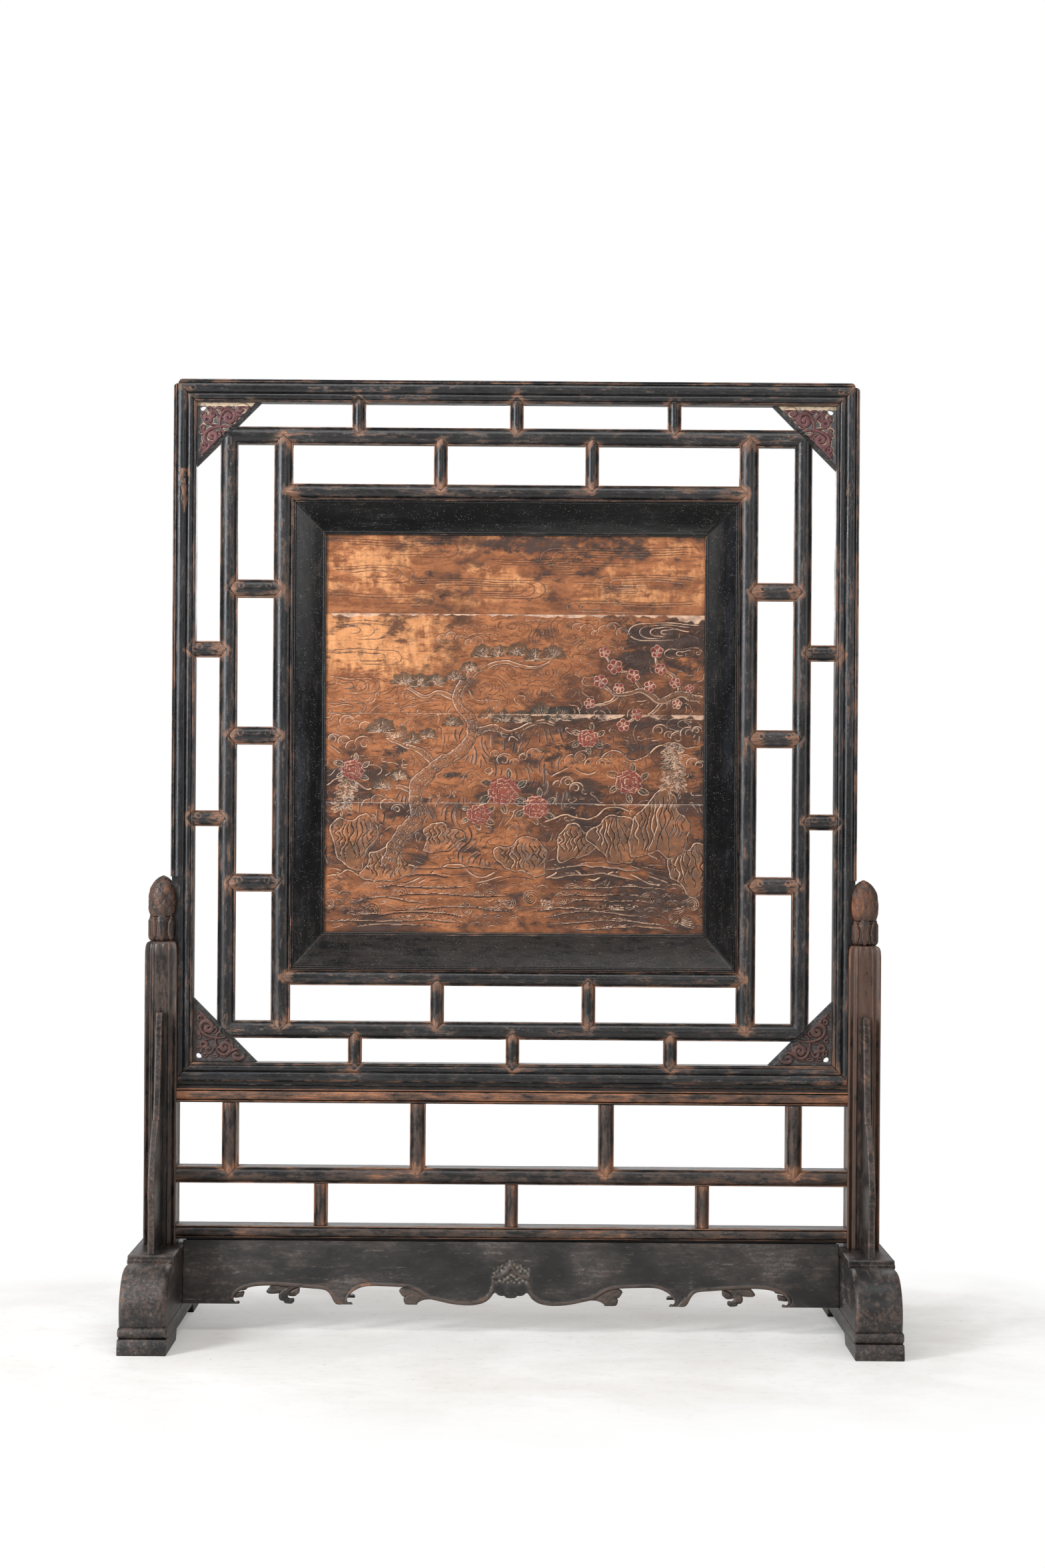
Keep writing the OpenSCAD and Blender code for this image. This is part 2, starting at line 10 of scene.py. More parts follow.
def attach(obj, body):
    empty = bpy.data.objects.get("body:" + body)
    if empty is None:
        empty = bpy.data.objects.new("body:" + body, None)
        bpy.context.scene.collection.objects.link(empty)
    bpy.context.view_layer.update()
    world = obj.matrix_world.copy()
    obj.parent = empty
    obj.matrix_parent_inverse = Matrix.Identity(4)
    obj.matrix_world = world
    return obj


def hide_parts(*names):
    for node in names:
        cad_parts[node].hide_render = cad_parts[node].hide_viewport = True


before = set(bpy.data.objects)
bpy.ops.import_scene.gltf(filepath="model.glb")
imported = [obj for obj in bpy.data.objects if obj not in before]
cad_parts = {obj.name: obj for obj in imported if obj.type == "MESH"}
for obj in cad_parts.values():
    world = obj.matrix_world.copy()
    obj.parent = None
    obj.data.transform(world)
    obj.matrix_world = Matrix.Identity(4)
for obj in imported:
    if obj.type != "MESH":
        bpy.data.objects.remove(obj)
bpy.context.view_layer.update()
MM = 0.001
RNG = np.random.default_rng(7)

# ------------------------------------------------------------------ noise

def _hash(ix, iy, iz, seed):
    h = (ix * 73856093) ^ (iy * 19349663) ^ (iz * 83492791) ^ (seed * 2654435761)
    h = (h ^ (h >> 13)) & 0xFFFFFFFF
    h = (h * 1274126177) & 0xFFFFFFFF
    h = (h ^ (h >> 16)) & 0xFFFFFFFF
    h = (h * 2246822519) & 0xFFFFFFFF
    return ((h ^ (h >> 13)) & 0xFFFFFF) / float(0xFFFFFF)


def vnoise(p, seed=0):
    p = np.asarray(p, float)
    i = np.floor(p).astype(np.int64)
    f = p - i
    f = f * f * (3 - 2 * f)
    out = np.zeros(len(p))
    for dx in (0, 1):
        wx = f[:, 0] if dx else 1 - f[:, 0]
        for dy in (0, 1):
            wy = f[:, 1] if dy else 1 - f[:, 1]
            for dz in (0, 1):
                wz = f[:, 2] if dz else 1 - f[:, 2]
                out += wx * wy * wz * _hash(i[:, 0] + dx, i[:, 1] + dy, i[:, 2] + dz, seed)
    return out


def fbm(p, seed=0, octaves=3, gain=0.5):
    p = np.asarray(p, float)
    a, s, t = 1.0, 0.0, 0.0
    for o in range(octaves):
        s = s + a * vnoise(p * 2.0 ** o + 17.3 * o, seed + o)
        t += a
        a *= gain
    return s / t


def sstep(a, b, x):
    t = np.clip((x - a) / (b - a), 0, 1)
    return t * t * (3 - 2 * t)


# ------------------------------------------------------------------ meshes
FLOATS = ("wear", "cav", "crk", "tone", "lift")


class Acc:
    """Collects closed shells, in millimetres, with their attributes, into one mesh."""

    def __init__(self):
        self.V, self.F, self.n = [], [], 0
        self.A = {k: [] for k in FLOATS}
        self.G = []

    def add(self, V, faces, gc=None, **attrs):
        V = np.asarray(V, float)
        for f in faces:
            if len(f):
                self.F.append(np.asarray(f, np.int64) + self.n)
        self.V.append(V)
        self.G.append(V.copy() if gc is None else np.asarray(gc, float))
        for k in FLOATS:
            a = attrs.pop(k, 0.0)
            self.A[k].append(np.broadcast_to(np.asarray(a, float), (len(V),)).copy())
        assert not attrs, attrs
        self.n += len(V)

    def mirrored(self, axis):
        m = Acc()
        m.n = self.n
        s = np.ones(3)
        s[axis] = -1
        m.V = [v * s for v in self.V]
        m.F = [f[:, ::-1] for f in self.F]
        m.A = {k: [a.copy() for a in v] for k, v in self.A.items()}
        m.G = [g * s + 700.0 for g in self.G]
        return m


def make(name, acc, mat, body, nodes, sharp=38.0, extra=None):
    V = np.concatenate(acc.V)
    loops = np.concatenate([f.ravel() for f in acc.F])
    tot = np.concatenate([np.full(len(f), f.shape[1], np.int64) for f in acc.F])
    starts = np.concatenate([[0], np.cumsum(tot)[:-1]])
    me = bpy.data.meshes.new(name)
    me.vertices.add(len(V))
    me.vertices.foreach_set("co", (V * MM).astype(np.float32).ravel())
    me.loops.add(len(loops))
    me.loops.foreach_set("vertex_index", loops.astype(np.int32))
    me.polygons.add(len(tot))
    me.polygons.foreach_set("loop_start", starts.astype(np.int32))
    me.update(calc_edges=True)
    me.validate()
    me.polygons.foreach_set("use_smooth", np.ones(len(me.polygons), bool))
    me.set_sharp_from_angle(angle=math.radians(sharp))
    g = me.attributes.new("gc", "FLOAT_VECTOR", "POINT")
    off = np.array([(hash_name(name) % 97) * 0.37, (hash_name(name) % 61) * 0.53, (hash_name(name) % 43) * 0.71])
    g.data.foreach_set("vector", (np.concatenate(acc.G) * MM + off).astype(np.float32).ravel())
    for k in FLOATS:
        a = me.attributes.new(k, "FLOAT", "POINT")
        a.data.foreach_set("value", np.concatenate(acc.A[k]).astype(np.float32))
    for k, v in (extra or {}).items():
        a = me.attributes.new(k, "FLOAT", "POINT")
        a.data.foreach_set("value", np.asarray(v, np.float32))
    ob = bpy.data.objects.new(name, me)
    bpy.context.scene.collection.objects.link(ob)
    me.materials.append(mat)
    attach(ob, body)
    if nodes:
        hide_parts(*nodes)
    return ob


def hash_name(s):
    h = 5381
    for ch in s:
        h = (h * 33 + ord(ch)) & 0x7FFFFFFF
    return h


def turning(P):
    """Signed turning per mm of a closed loop, + where convex for a counter-clockwise loop."""
    a, b = P - np.roll(P, 1, 0), np.roll(P, -1, 0) - P
    la, lb = np.linalg.norm(a, axis=1), np.linalg.norm(b, axis=1)
    cr = a[:, 0] * b[:, 1] - a[:, 1] * b[:, 0]
    ang = np.arctan2(cr, (a * b).sum(1))
    k = ang / np.maximum((la + lb) / 2, 0.3)
    return (np.roll(k, 1) + 2 * k + np.roll(k, -1)) / 4


def normals2(P):
    d = np.roll(P, -1, 0) - np.roll(P, 1, 0)
    d /= np.maximum(np.linalg.norm(d, axis=1), 1e-9)[:, None]
    return np.stack([d[:, 1], -d[:, 0]], 1)


def loop_of(us, hf, hb=None, side=5):
    """A closed counter-clockwise section from half depths hf(u) at the front (-v) and hb(u) at the back (+v)."""
    hb = hf if hb is None else hb
    f, b = hf(us), hb(us)
    right = np.linspace(-f[-1], b[-1], side + 2)[1:-1]
    left = np.linspace(b[0], -f[0], side + 2)[1:-1]
    return np.concatenate([
        np.stack([us, -f], 1),
        np.stack([np.full(side, us[-1]), right], 1),
        np.stack([us[::-1], b[::-1]], 1),
        np.stack([np.full(side, us[0]), left], 1)])


def arc(u, c, a, lo, hi, p=0.5):
    x = np.clip(1 - ((u - c) / a) ** 2, 0, None)
    return np.where(x > 0, lo + (hi - lo) * x ** p, -1e3)


AX = {"x": np.array([1.0, 0, 0]), "y": np.array([0, 1.0, 0]), "z": np.array([0, 0, 1.0])}


def sweep(acc, P, t, org, A, U, W, s0, s1, jf=None, wob=0.25, seed=1, ew=1.0, base=0.0, tone=0.0, caps=(True, True), scale=None):
    """Sweeps the closed section P (u, v) along A. s0 and s1 are the ends, a number or one value per section point."""
    A, U, W, org = (np.asarray(q, float) for q in (A, U, W, org))
    n, m = len(P), len(t)
    s0 = np.broadcast_to(np.asarray(s0, float), (n,))
    s1 = np.broadcast_to(np.asarray(s1, float), (n,))
    S = s0[None, :] + (s1 - s0)[None, :] * t[:, None]
    k = turning(P)
    N = normals2(P)
    edge = np.clip(k * 1.6, 0, 1)
    cav = np.clip(-k * 1.8, 0, 1)
    u = np.broadcast_to(P[:, 0], S.shape)
    v = np.broadcast_to(P[:, 1], S.shape)
    q = np.stack([S, u, v], -1).reshape(-1, 3)
    d = (fbm(q / np.array([90.0, 30.0, 30.0]), seed, 2) - 0.5) * 2 * wob + (vnoise(q / np.array([16.0, 5.0, 5.0]), seed + 9) - 0.5) * wob * 0.5
    du = d * np.broadcast_to(N[:, 0], S.shape).ravel()
    dv = d * np.broadcast_to(N[:, 1], S.shape).ravel()
    uu, vv = q[:, 1].copy(), q[:, 2].copy()
    if scale is not None:
        f = scale(q[:, 0], uu, vv)
        uu, vv = f
    uu += du
    vv += dv
    wear = np.broadcast_to(edge, S.shape).ravel() * 0.5 * ew + base
    crk = np.zeros(len(q))
    tn = np.full(len(q), float(tone)) if np.isscalar(tone) else tone(q[:, 0], q[:, 1], q[:, 2])
    if jf is not None:
        wj, cj = jf(q[:, 0], q[:, 1], q[:, 2])
        wear = wear + wj
        crk = np.maximum(crk, cj)
        cut = cj * 0.7
        uu -= cut * np.broadcast_to(N[:, 0], S.shape).ravel()
        vv -= cut * np.broadcast_to(N[:, 1], S.shape).ravel()
    V = org + q[:, :1] * A + uu[:, None] * U + vv[:, None] * W
    idx = np.arange(n * m).reshape(m, n)
    nx = np.roll(idx, -1, 1)
    quads = np.stack([idx[:-1], nx[:-1], nx[1:], idx[1:]], -1).reshape(-1, 4)
    caps_f = []
    c0, c1 = idx[0][::-1][None, :], idx[-1][None, :]
    if np.dot(np.cross(U, W), A) < 0:
        quads = quads[:, ::-1]
        c0, c1 = c0[:, ::-1], c1[:, ::-1]
    if caps[0]:
        caps_f.append(c0)
    if caps[1]:
        caps_f.append(c1)
    gc = np.stack([q[:, 0], q[:, 1] + org @ AX["x"] * 0.01, q[:, 2]], 1)
    acc.add(V, [quads] + caps_f, gc=gc, wear=wear, cav=np.broadcast_to(cav, S.shape).ravel(), crk=crk, tone=tn)


def stations(L, joints=(), coarse=11.0, fine=1.6, reach=26.0, ends=0.0):
    """Values from 0 to 1 along a length L, closer together near the joints and, within ends, near both ends."""
    pts = [0.0]
    s = 0.0
    js = np.array(sorted(joints)) if len(joints) else np.array([1e9])
    while s < L - 1e-6:
        near = np.min(np.abs(js - s))
        ahead = js[js > s]
        step = fine if near < reach else min(coarse, max(fine, (ahead.min() - reach - s) if len(ahead) and ahead.min() < 1e8 and ahead.min() - reach > s else coarse))
        if ends and (s < ends or s > L - ends - fine):
            step = min(step, fine)
        s = min(L, s + step)
        pts.append(s)
    return np.array(pts) / L


# ------------------------------------------------------------------ sections

def face_lattice(w, hd, lo=8.8):
    b = w / 2

    def h(u):
        a = b - 3.0
        r = (a * a + (hd - lo) ** 2) / (2 * (hd - lo))
        core = np.where(np.abs(u) <= a, hd - r + np.sqrt(np.clip(r * r - u * u, 0, None)), -1e3)
        bead = arc(np.abs(u), b - 1.55, 1.5, lo - 0.3, lo + 1.5)
        return np.maximum.reduce([core, bead, np.full_like(u, lo - 0.5)])
    return h


def us_for(w, step=0.8, fine=(), lo=None, hi=None):
    a = -w / 2 if lo is None else lo
    b = w / 2 if hi is None else hi
    u = list(np.linspace(a, b, int(round((b - a) / step)) + 1))
    for c, r in fine:
        u += list(np.linspace(c - r, c + r, 7))
    u = np.array(sorted(set(np.round(u, 3))))
    u = u[(u >= a - 1e-6) & (u <= b + 1e-6)]
    keep = [u[0]]
    for x in u[1:]:
        if x - keep[-1] > 0.28:
            keep.append(x)
    keep[-1] = u[-1]
    return np.array(keep)


def lattice_section(w, d):
    us = us_for(w, 1.15, [(-w / 2 + 1.5, 1.5), (w / 2 - 1.5, 1.5), (-w / 2 + 3.0, 0.5), (w / 2 - 3.0, 0.5)])
    return loop_of(us, face_lattice(w, d / 2))


def face_frame(u):
    h = np.full_like(u, 15.2)
    for q in (arc(u, 1.7, 1.6, 15.6, 17.4), arc(u, 5.3, 1.7, 15.8, 18.2), arc(u, 17.6, 10.2, 16.2, 22.0, 0.62),
              arc(u, 35.0, 6.3, 15.8, 20.4, 0.6), arc(u, 43.0, 1.3, 15.4, 17.2), arc(u, 45.6, 1.25, 15.0, 16.6)):
        h = np.maximum(h, q)
    return h


FRAME_US = us_for(47, 1.2, [(1.7, 1.6), (3.4, 0.5), (5.3, 1.7), (7.2, 0.6), (28.2, 0.6), (41.4, 0.5), (43.0, 1.3), (44.3, 0.4), (45.6, 1.2)], 0, 47)
FRAME_P = loop_of(FRAME_US, face_frame)

# ------------------------------------------------------------------ joints' wear and cracks

def joint_fn(width, got=(), ends=(), seed=3, hard=1.0, rings=()):
    """got: (s, side, half width, strength) of struts that enter this bar. ends: (s edge, direction, half width, strength) of its own pointed ends. rings: (s, u, radius) cut in the front."""
    def f(s, u, v):
        wear = np.zeros_like(s)
        crk = np.zeros_like(s)
        q = np.stack([s, u, v], 1)
        rag = fbm(q / 7.0, seed + 5, 3)
        for sj, side, hw, st in got:
            t = width / 2 - side * u
            a = np.abs(s - sj)
            dist = np.abs(a + t - hw) / 1.414
            on = (t < hw + 9) & (a < hw + 12)
            inside = (a + t) < hw
            w = np.where(on & ~inside, np.exp(-(dist / (3.0 + 10.0 * rag)) ** 2), 0.0)
            wear += w * 0.60 * st * (0.5 + rag)
            crk = np.maximum(crk, np.where((t > -0.5) & (t < hw + 1.5), np.exp(-(dist / 0.75) ** 2), 0))
        for se, dr, hw, st in ends:
            t = (s - se) * dr
            dist = np.abs(np.abs(u) + t - hw) / 1.414
            w = np.where(t > -26, np.exp(-(np.clip(-(np.abs(u) + t - hw), 0, None) / (9.0 + 20.0 * rag)) ** 2), 0.0)
            wear += w * 0.62 * st * (0.45 + rag)
            crk = np.maximum(crk, np.where(t > -0.5, np.exp(-(dist / 0.75) ** 2), 0))
        for sr, ur, r in rings:
            d = np.hypot(s - sr, u - ur)
            on = (v < 0) & (d < r + 5)
            wear += np.where(on, 0.42 * np.exp(-((d - r) / 1.3) ** 2) - 0.15 * np.exp(-((d - r - 2.6) / 1.0) ** 2), 0.0)
            crk = np.maximum(crk, np.where(on, 0.55 * np.exp(-((d - r - 1.9) / 0.8) ** 2) + 0.5 * np.exp(-(d / 1.6) ** 2), 0.0))
        return wear * hard, crk
    return f


def engraved(s, u, v, polys=(), lines=(), seed=5):
    """Motifs cut in the front of a member, in (s, u): polys are rubbed through to the wood, lines are fine cuts with worn lips."""
    wear, crk = np.zeros_like(s), np.zeros_like(s)
    P = np.stack([s, u], 1)
    for pts in polys:
        pts = np.asarray(pts, float)
        near = np.nonzero((v < 0) & (s > pts[:, 0].min() - 6) & (s < pts[:, 0].max() + 6))[0]
        if len(near):
            d, _, _ = seg_dist(P[near], pts, np.roll(pts, -1, 0))
            sg = np.where(inside(P[near], pts), d, -d)
            rag = fbm(np.column_stack([P[near] / 5.0, np.zeros(len(near))]), seed, 3)
            wear[near] += 0.62 * sstep(-1.2, 2.2, sg) * (0.45 + rag)
            crk[near] = np.maximum(crk[near], 0.6 * np.exp(-((sg + 0.8) / 0.8) ** 2))
    for pts, w in lines:
        pts = np.asarray(pts, float)
        near = np.nonzero((v < 0) & (s > pts[:, 0].min() - 6) & (s < pts[:, 0].max() + 6))[0]
        if len(near):
            d, _, _ = seg_dist(P[near], pts[:-1], pts[1:])
            wear[near] += 0.50 * np.exp(-((d - 0.3) / w) ** 2)
            crk[near] = np.maximum(crk[near], 0.6 * np.exp(-((d - w - 0.8) / 0.7) ** 2))
    return wear, crk


# ------------------------------------------------------------------ node materials

class NT:
    """A short way to write a node tree."""

    def __init__(self, name):
        self.mat = bpy.data.materials.new(name)
        self.mat.use_nodes = True
        self.t = self.mat.node_tree
        self.t.nodes.clear()
        self.out = self.t.nodes.new("ShaderNodeOutputMaterial")
        self.x = -200

    def node(self, kind, **props):
        n = self.t.nodes.new(kind)
        for k, v in props.items():
            setattr(n, k, v)
        self.x -= 30
        n.location = (self.x, (self.x * 7) % 600)
        return n

    def put(self, sock, v):
        if isinstance(v, bpy.types.NodeSocket):
            self.t.links.new(v, sock)
        elif v is not None:
            if hasattr(sock.default_value, "__len__") and not hasattr(v, "__len__"):
                v = [v] * len(sock.default_value)
            if hasattr(sock.default_value, "__len__") and len(sock.default_value) == 4 and len(v) == 3:
                v = list(v) + [1.0]
            sock.default_value = v

    def attr(self, name, vec=False):
        n = self.node("ShaderNodeAttribute", attribute_name=name)
        return n.outputs["Vector" if vec else "Fac"]

    def math(self, op, a, b=None, c=None, clamp=False):
        n = self.node("ShaderNodeMath", operation=op, use_clamp=clamp)
        for i, v in enumerate((a, b, c)):
            if v is not None:
                self.put(n.inputs[i], v)
        return n.outputs[0]

    def vmath(self, op, a, b=None):
        n = self.node("ShaderNodeVectorMath", operation=op)
        self.put(n.inputs[0], a)
        if b is not None:
            self.put(n.inputs[1], b)
        return n.outputs[0]

    def noise(self, vec, scale, detail=3.0, rough=0.55, dist=0.0, lac=2.0):
        n = self.node("ShaderNodeTexNoise")
        self.put(n.inputs["Vector"], vec)
        self.put(n.inputs["Scale"], scale)
        self.put(n.inputs["Detail"], detail)
        self.put(n.inputs["Roughness"], rough)
        self.put(n.inputs["Lacunarity"], lac)
        self.put(n.inputs["Distortion"], dist)
        return n.outputs["Fac"]

    def wide(self, vec, scale, detail=4.0, rough=0.6, dist=0.3, lo=0.34, hi=0.66):
        return self.mr(self.noise(vec, scale, detail, rough, dist), lo, hi, smooth=False)

    def total(self, *terms):
        """A sum of (value, weight) pairs, each value counted from its middle, and of plain numbers or sockets."""
        out = None
        for t in terms:
            if isinstance(t, tuple):
                v = self.math("MULTIPLY_ADD", t[0], t[1], -0.5 * t[1])
            else:
                v = t
            out = v if out is None else self.math("ADD", out, v)
        return out

    def voro(self, vec, scale, feature="F1", rand=1.0):
        n = self.node("ShaderNodeTexVoronoi", feature=feature)
        self.put(n.inputs["Vector"], vec)
        self.put(n.inputs["Scale"], scale)
        self.put(n.inputs["Randomness"], rand)
        return n.outputs["Distance"]

    def mr(self, v, a, b, c=0.0, d=1.0, smooth=True):
        n = self.node("ShaderNodeMapRange", interpolation_type="SMOOTHSTEP" if smooth else "LINEAR")
        self.put(n.inputs["Value"], v)
        for k, x in (("From Min", a), ("From Max", b), ("To Min", c), ("To Max", d)):
            self.put(n.inputs[k], x)
        return n.outputs[0]

    def mix(self, f, a, b, blend="MIX"):
        n = self.node("ShaderNodeMix", data_type="RGBA", blend_type=blend, clamp_factor=True)
        self.put(n.inputs["Factor"], f)
        self.put(n.inputs[6], a)
        self.put(n.inputs[7], b)
        return n.outputs[2]

    def bump(self, h, strength, dist, normal=None):
        n = self.node("ShaderNodeBump")
        self.put(n.inputs["Height"], h)
        self.put(n.inputs["Strength"], strength)
        self.put(n.inputs["Distance"], dist)
        if normal is not None:
            self.put(n.inputs["Normal"], normal)
        return n.outputs[0]

    def finish(self, color, rough, normal=None, spec=0.5, coat=0.0, coat_rough=0.2):
        p = self.node("ShaderNodeBsdfPrincipled")
        self.put(p.inputs["Base Color"], color)
        self.put(p.inputs["Roughness"], rough)
        p.inputs["Specular IOR Level"].default_value = spec
        p.inputs["Coat Weight"].default_value = coat
        p.inputs["Coat Roughness"].default_value = coat_rough
        if normal is not None:
            self.put(p.inputs["Normal"], normal)
        self.t.links.new(p.outputs[0], self.out.inputs[0])
        return self.mat


def lin(r, g, b):
    """sRGB 0-255 to linear."""
    def f(c):
        c /= 255.0
        return c / 12.92 if c <= 0.04045 else ((c + 0.055) / 1.055) ** 2.4
    return (f(r), f(g), f(b))


def lacquer(name, base=(13, 13, 15), base2=(33, 33, 36), brown=(84, 65, 54), red=(112, 79, 62), wood=(150, 108, 83), wood_dark=(106, 74, 56),
            wear=0.0, dust=0.35, dust_col=(146, 141, 136), rough=0.36, brown_amt=0.3, spec=0.5, speck=0.5, contrast=1.0, streak=1.0, coat=0.0, pale_lift=False, bump=0.5, calm=1.0, painted_sheen_col=None):
    """Old lacquer over wood: rubbed through along edges and joints, scuffed and dusty. wear shifts how much wood shows."""
    m = NT(name)
    gc = m.attr("gc", True)
    at_wear, cav, crk, tone = m.attr("wear"), m.attr("cav"), m.attr("crk"), m.attr("tone")
    A = m.wide(m.vmath("MULTIPLY", gc, (1.0, 1.8, 1.8)), 7.0, 4.0, 0.6, 0.4)
    B = m.wide(m.vmath("MULTIPLY", gc, (1.0, 2.6, 2.6)), 30.0, 5.0, 0.66, 0.6)
    S = m.wide(m.vmath("MULTIPLY", gc, (1.0, 9.0, 9.0)), 15.0, 6.0, 0.7, 0.4)
    M = m.wide(m.vmath("MULTIPLY", gc, (1.0, 1.6, 1.6)), 120.0, 4.0, 0.7, 0.4)
    F = m.wide(gc, 430.0, 3.0, 0.72, 0.0, 0.30, 0.70)
    G = m.wide(m.vmath("MULTIPLY", gc, (1.0, 24.0, 24.0)), 11.0, 6.0, 0.7, 0.6)
    f = m.total(at_wear, wear, (A, 0.55 * contrast), (B, 0.42 * contrast), (S, 0.5 * streak), (M, 0.26), (F, 0.22), m.math("MULTIPLY", tone, 0.15))
    w_red = m.mr(f, 0.34, 0.50)
    w_wood = m.mr(f, 0.50, 0.74)
    # the lacquer itself, blacker and greyer by turns
    c = m.mix(m.mr(m.total(0.5, (A, 0.6), (B, 0.35 * calm), (M, 0.2 * calm)), 0.2, 0.9), lin(*base), lin(*base2))
    br = m.total(0.5, (B, 0.42 * calm), (S, 0.35 * calm), (A, 0.2), (M, 0.15 * calm), m.math("MULTIPLY", tone, 0.35), m.math("MULTIPLY", at_wear, 0.6))
    br = m.math("MULTIPLY", m.mr(br, 0.72 - 0.36 * brown_amt, 1.02 - 0.36 * brown_amt), 0.85)
    c = m.mix(br, c, lin(*brown))
    # dust and fine scratches, and more of it in the hollows
    du = m.mr(m.total(0.5, (S, 0.5 * calm), (M, 0.3 * calm), (A, 0.45), (F, 0.25)), 0.64, 1.02)
    du = m.math("MULTIPLY", du, dust)
    hair = m.math("MULTIPLY", m.mr(G, 0.76, 0.98), m.mr(m.total(0.5, (B, 0.6), (M, 0.4)), 0.5, 0.8))
    du = m.math("MAXIMUM", du, m.math("MULTIPLY", hair, dust * 0.9))
    du = m.math("ADD", du, m.math("MULTIPLY", cav, dust * 0.2), clamp=True)
    c = m.mix(du, c, lin(*dust_col))
    # painted sheen: where lift is set, on the panel frame's side members, the colour is pushed toward a pale bluish
    # grey, a painted reflection of the lamp
    if painted_sheen_col is not None:
        c = m.mix(m.math("MULTIPLY", m.attr("lift"), m.mr(m.total(0.5, (A, 0.5), (B, 0.3)), 0.1, 0.9), clamp=True), c, lin(*painted_sheen_col))
    wd = m.mix(m.mr(G, 0.15, 0.85), lin(*wood_dark), lin(*wood))
    wd = m.mix(m.math("MULTIPLY", m.mr(M, 0.5, 0.95), 0.5), wd, lin(*brown))
    rd = m.mix(m.mr(M, 0.25, 0.75), lin(*red), lin(*brown))
    c = m.mix(m.math("MULTIPLY", w_red, 0.85), c, rd)
    c = m.mix(m.math("MULTIPLY", w_wood, 0.95), c, wd)
    sp = m.voro(gc, 340.0)
    pick = m.wide(gc, 60.0, 3.0, 0.6)
    sp = m.math("MULTIPLY", m.mr(sp, 0.17, 0.09), m.mr(pick, 0.62 if speck < 0.7 else 0.40, 0.75 if speck < 0.7 else 0.60))
    c = m.mix(m.math("MULTIPLY", sp, speck), c, lin(158, 152, 146))
    if pale_lift:
        c = m.mix(m.math("MULTIPLY", m.attr("lift"), 0.6, clamp=True), c, lin(170, 154, 138))
    dk = m.math("MULTIPLY", cav, 0.65, clamp=True)
    c = m.mix(dk, c, m.mix(0.6, c, (0.004, 0.004, 0.004, 1)))
    # near-black along cracks and joints; the same mask also carries painted shadow in the stand rails' recessed strips
    # and along the apron's top edge
    c = m.mix(m.math("MULTIPLY", m.mr(crk, 0.35, 0.9), 0.85), c, (0.006, 0.005, 0.005, 1))
    r = m.total(rough, (M, 0.10 * calm), (A, 0.12), (S, 0.10 * calm), (F, 0.08 * calm))
    r = m.math("ADD", r, m.math("MULTIPLY", w_red, 0.2))
    r = m.math("ADD", r, m.math("MULTIPLY", du, 0.25), clamp=True)
    h = m.total(0.5, (G, 0.12), (M, 0.25), (F, 0.10), (B, 0.45))
    h = m.math("SUBTRACT", h, m.math("MULTIPLY", w_red, 0.35))
    h = m.math("SUBTRACT", h, m.math("MULTIPLY", w_wood, 0.30))
    nrm = m.bump(h, bump, 0.0006)
    return m.finish(c, r, nrm, spec=spec, coat=coat)


M_FRAME = lacquer("frame_lacquer", wear=-0.02, dust=0.40, brown_amt=0.30)
M_LATT = lacquer("lattice_lacquer", wear=0.0, dust=0.40, brown_amt=0.45, base=(15, 14, 16), base2=(38, 36, 37))
M_GLOSS = lacquer("panel_frame_lacquer", base=(5, 5, 6), base2=(12, 12, 13), brown=(36, 30, 28), wear=-0.32, dust=0.15, dust_col=(100, 97, 96), rough=0.22, brown_amt=0.32, spec=0.36, speck=0.9, bump=0.2, calm=0.75, painted_sheen_col=(46, 50, 58))
# a lighter, browner copy of the panel frame's lacquer for the upward-facing bottom member: partly more real wear,
# partly painted light that it catches from above
M_GLOSS_LOW_LIT = lacquer("panel_frame_lacquer_low", base=(6, 5, 6), base2=(16, 14, 14), brown=(37, 30, 27), wear=-0.28, dust=0.13, dust_col=(104, 98, 94), rough=0.30, brown_amt=0.6, speck=0.9, bump=0.3, calm=0.8)
M_STAND = lacquer("stand_lacquer", base=(20, 18, 18), base2=(52, 47, 45), brown=(80, 63, 54), wear=-0.13, dust=0.62, brown_amt=0.55, rough=0.42, wood=(150, 110, 82), calm=0.75, speck=0.35, contrast=0.85)
M_POST = lacquer("post_lacquer", base=(15, 12, 12), base2=(38, 31, 28), brown=(68, 52, 44), red=(98, 67, 52), wear=-0.05, dust=0.26, brown_amt=0.7, rough=0.40, wood=(132, 92, 68))
M_RAIL = lacquer("rail_lacquer", base=(14, 12, 12), base2=(36, 31, 29), brown=(88, 63, 49), red=(124, 82, 58), wear=0.06, dust=0.22, dust_col=(140, 130, 120), brown_amt=0.7, rough=0.40, wood=(166, 112, 78), wood_dark=(116, 76, 54))
M_FIN = lacquer("finial_stain", base=(20, 16, 15), base2=(46, 36, 32), brown=(78, 52, 39), red=(110, 68, 46), wood=(148, 98, 68), wood_dark=(104, 66, 46), wear=-0.05, dust=0.30, brown_amt=0.5, rough=0.44, speck=0.2)


# ------------------------------------------------------------------ paints of the carved work

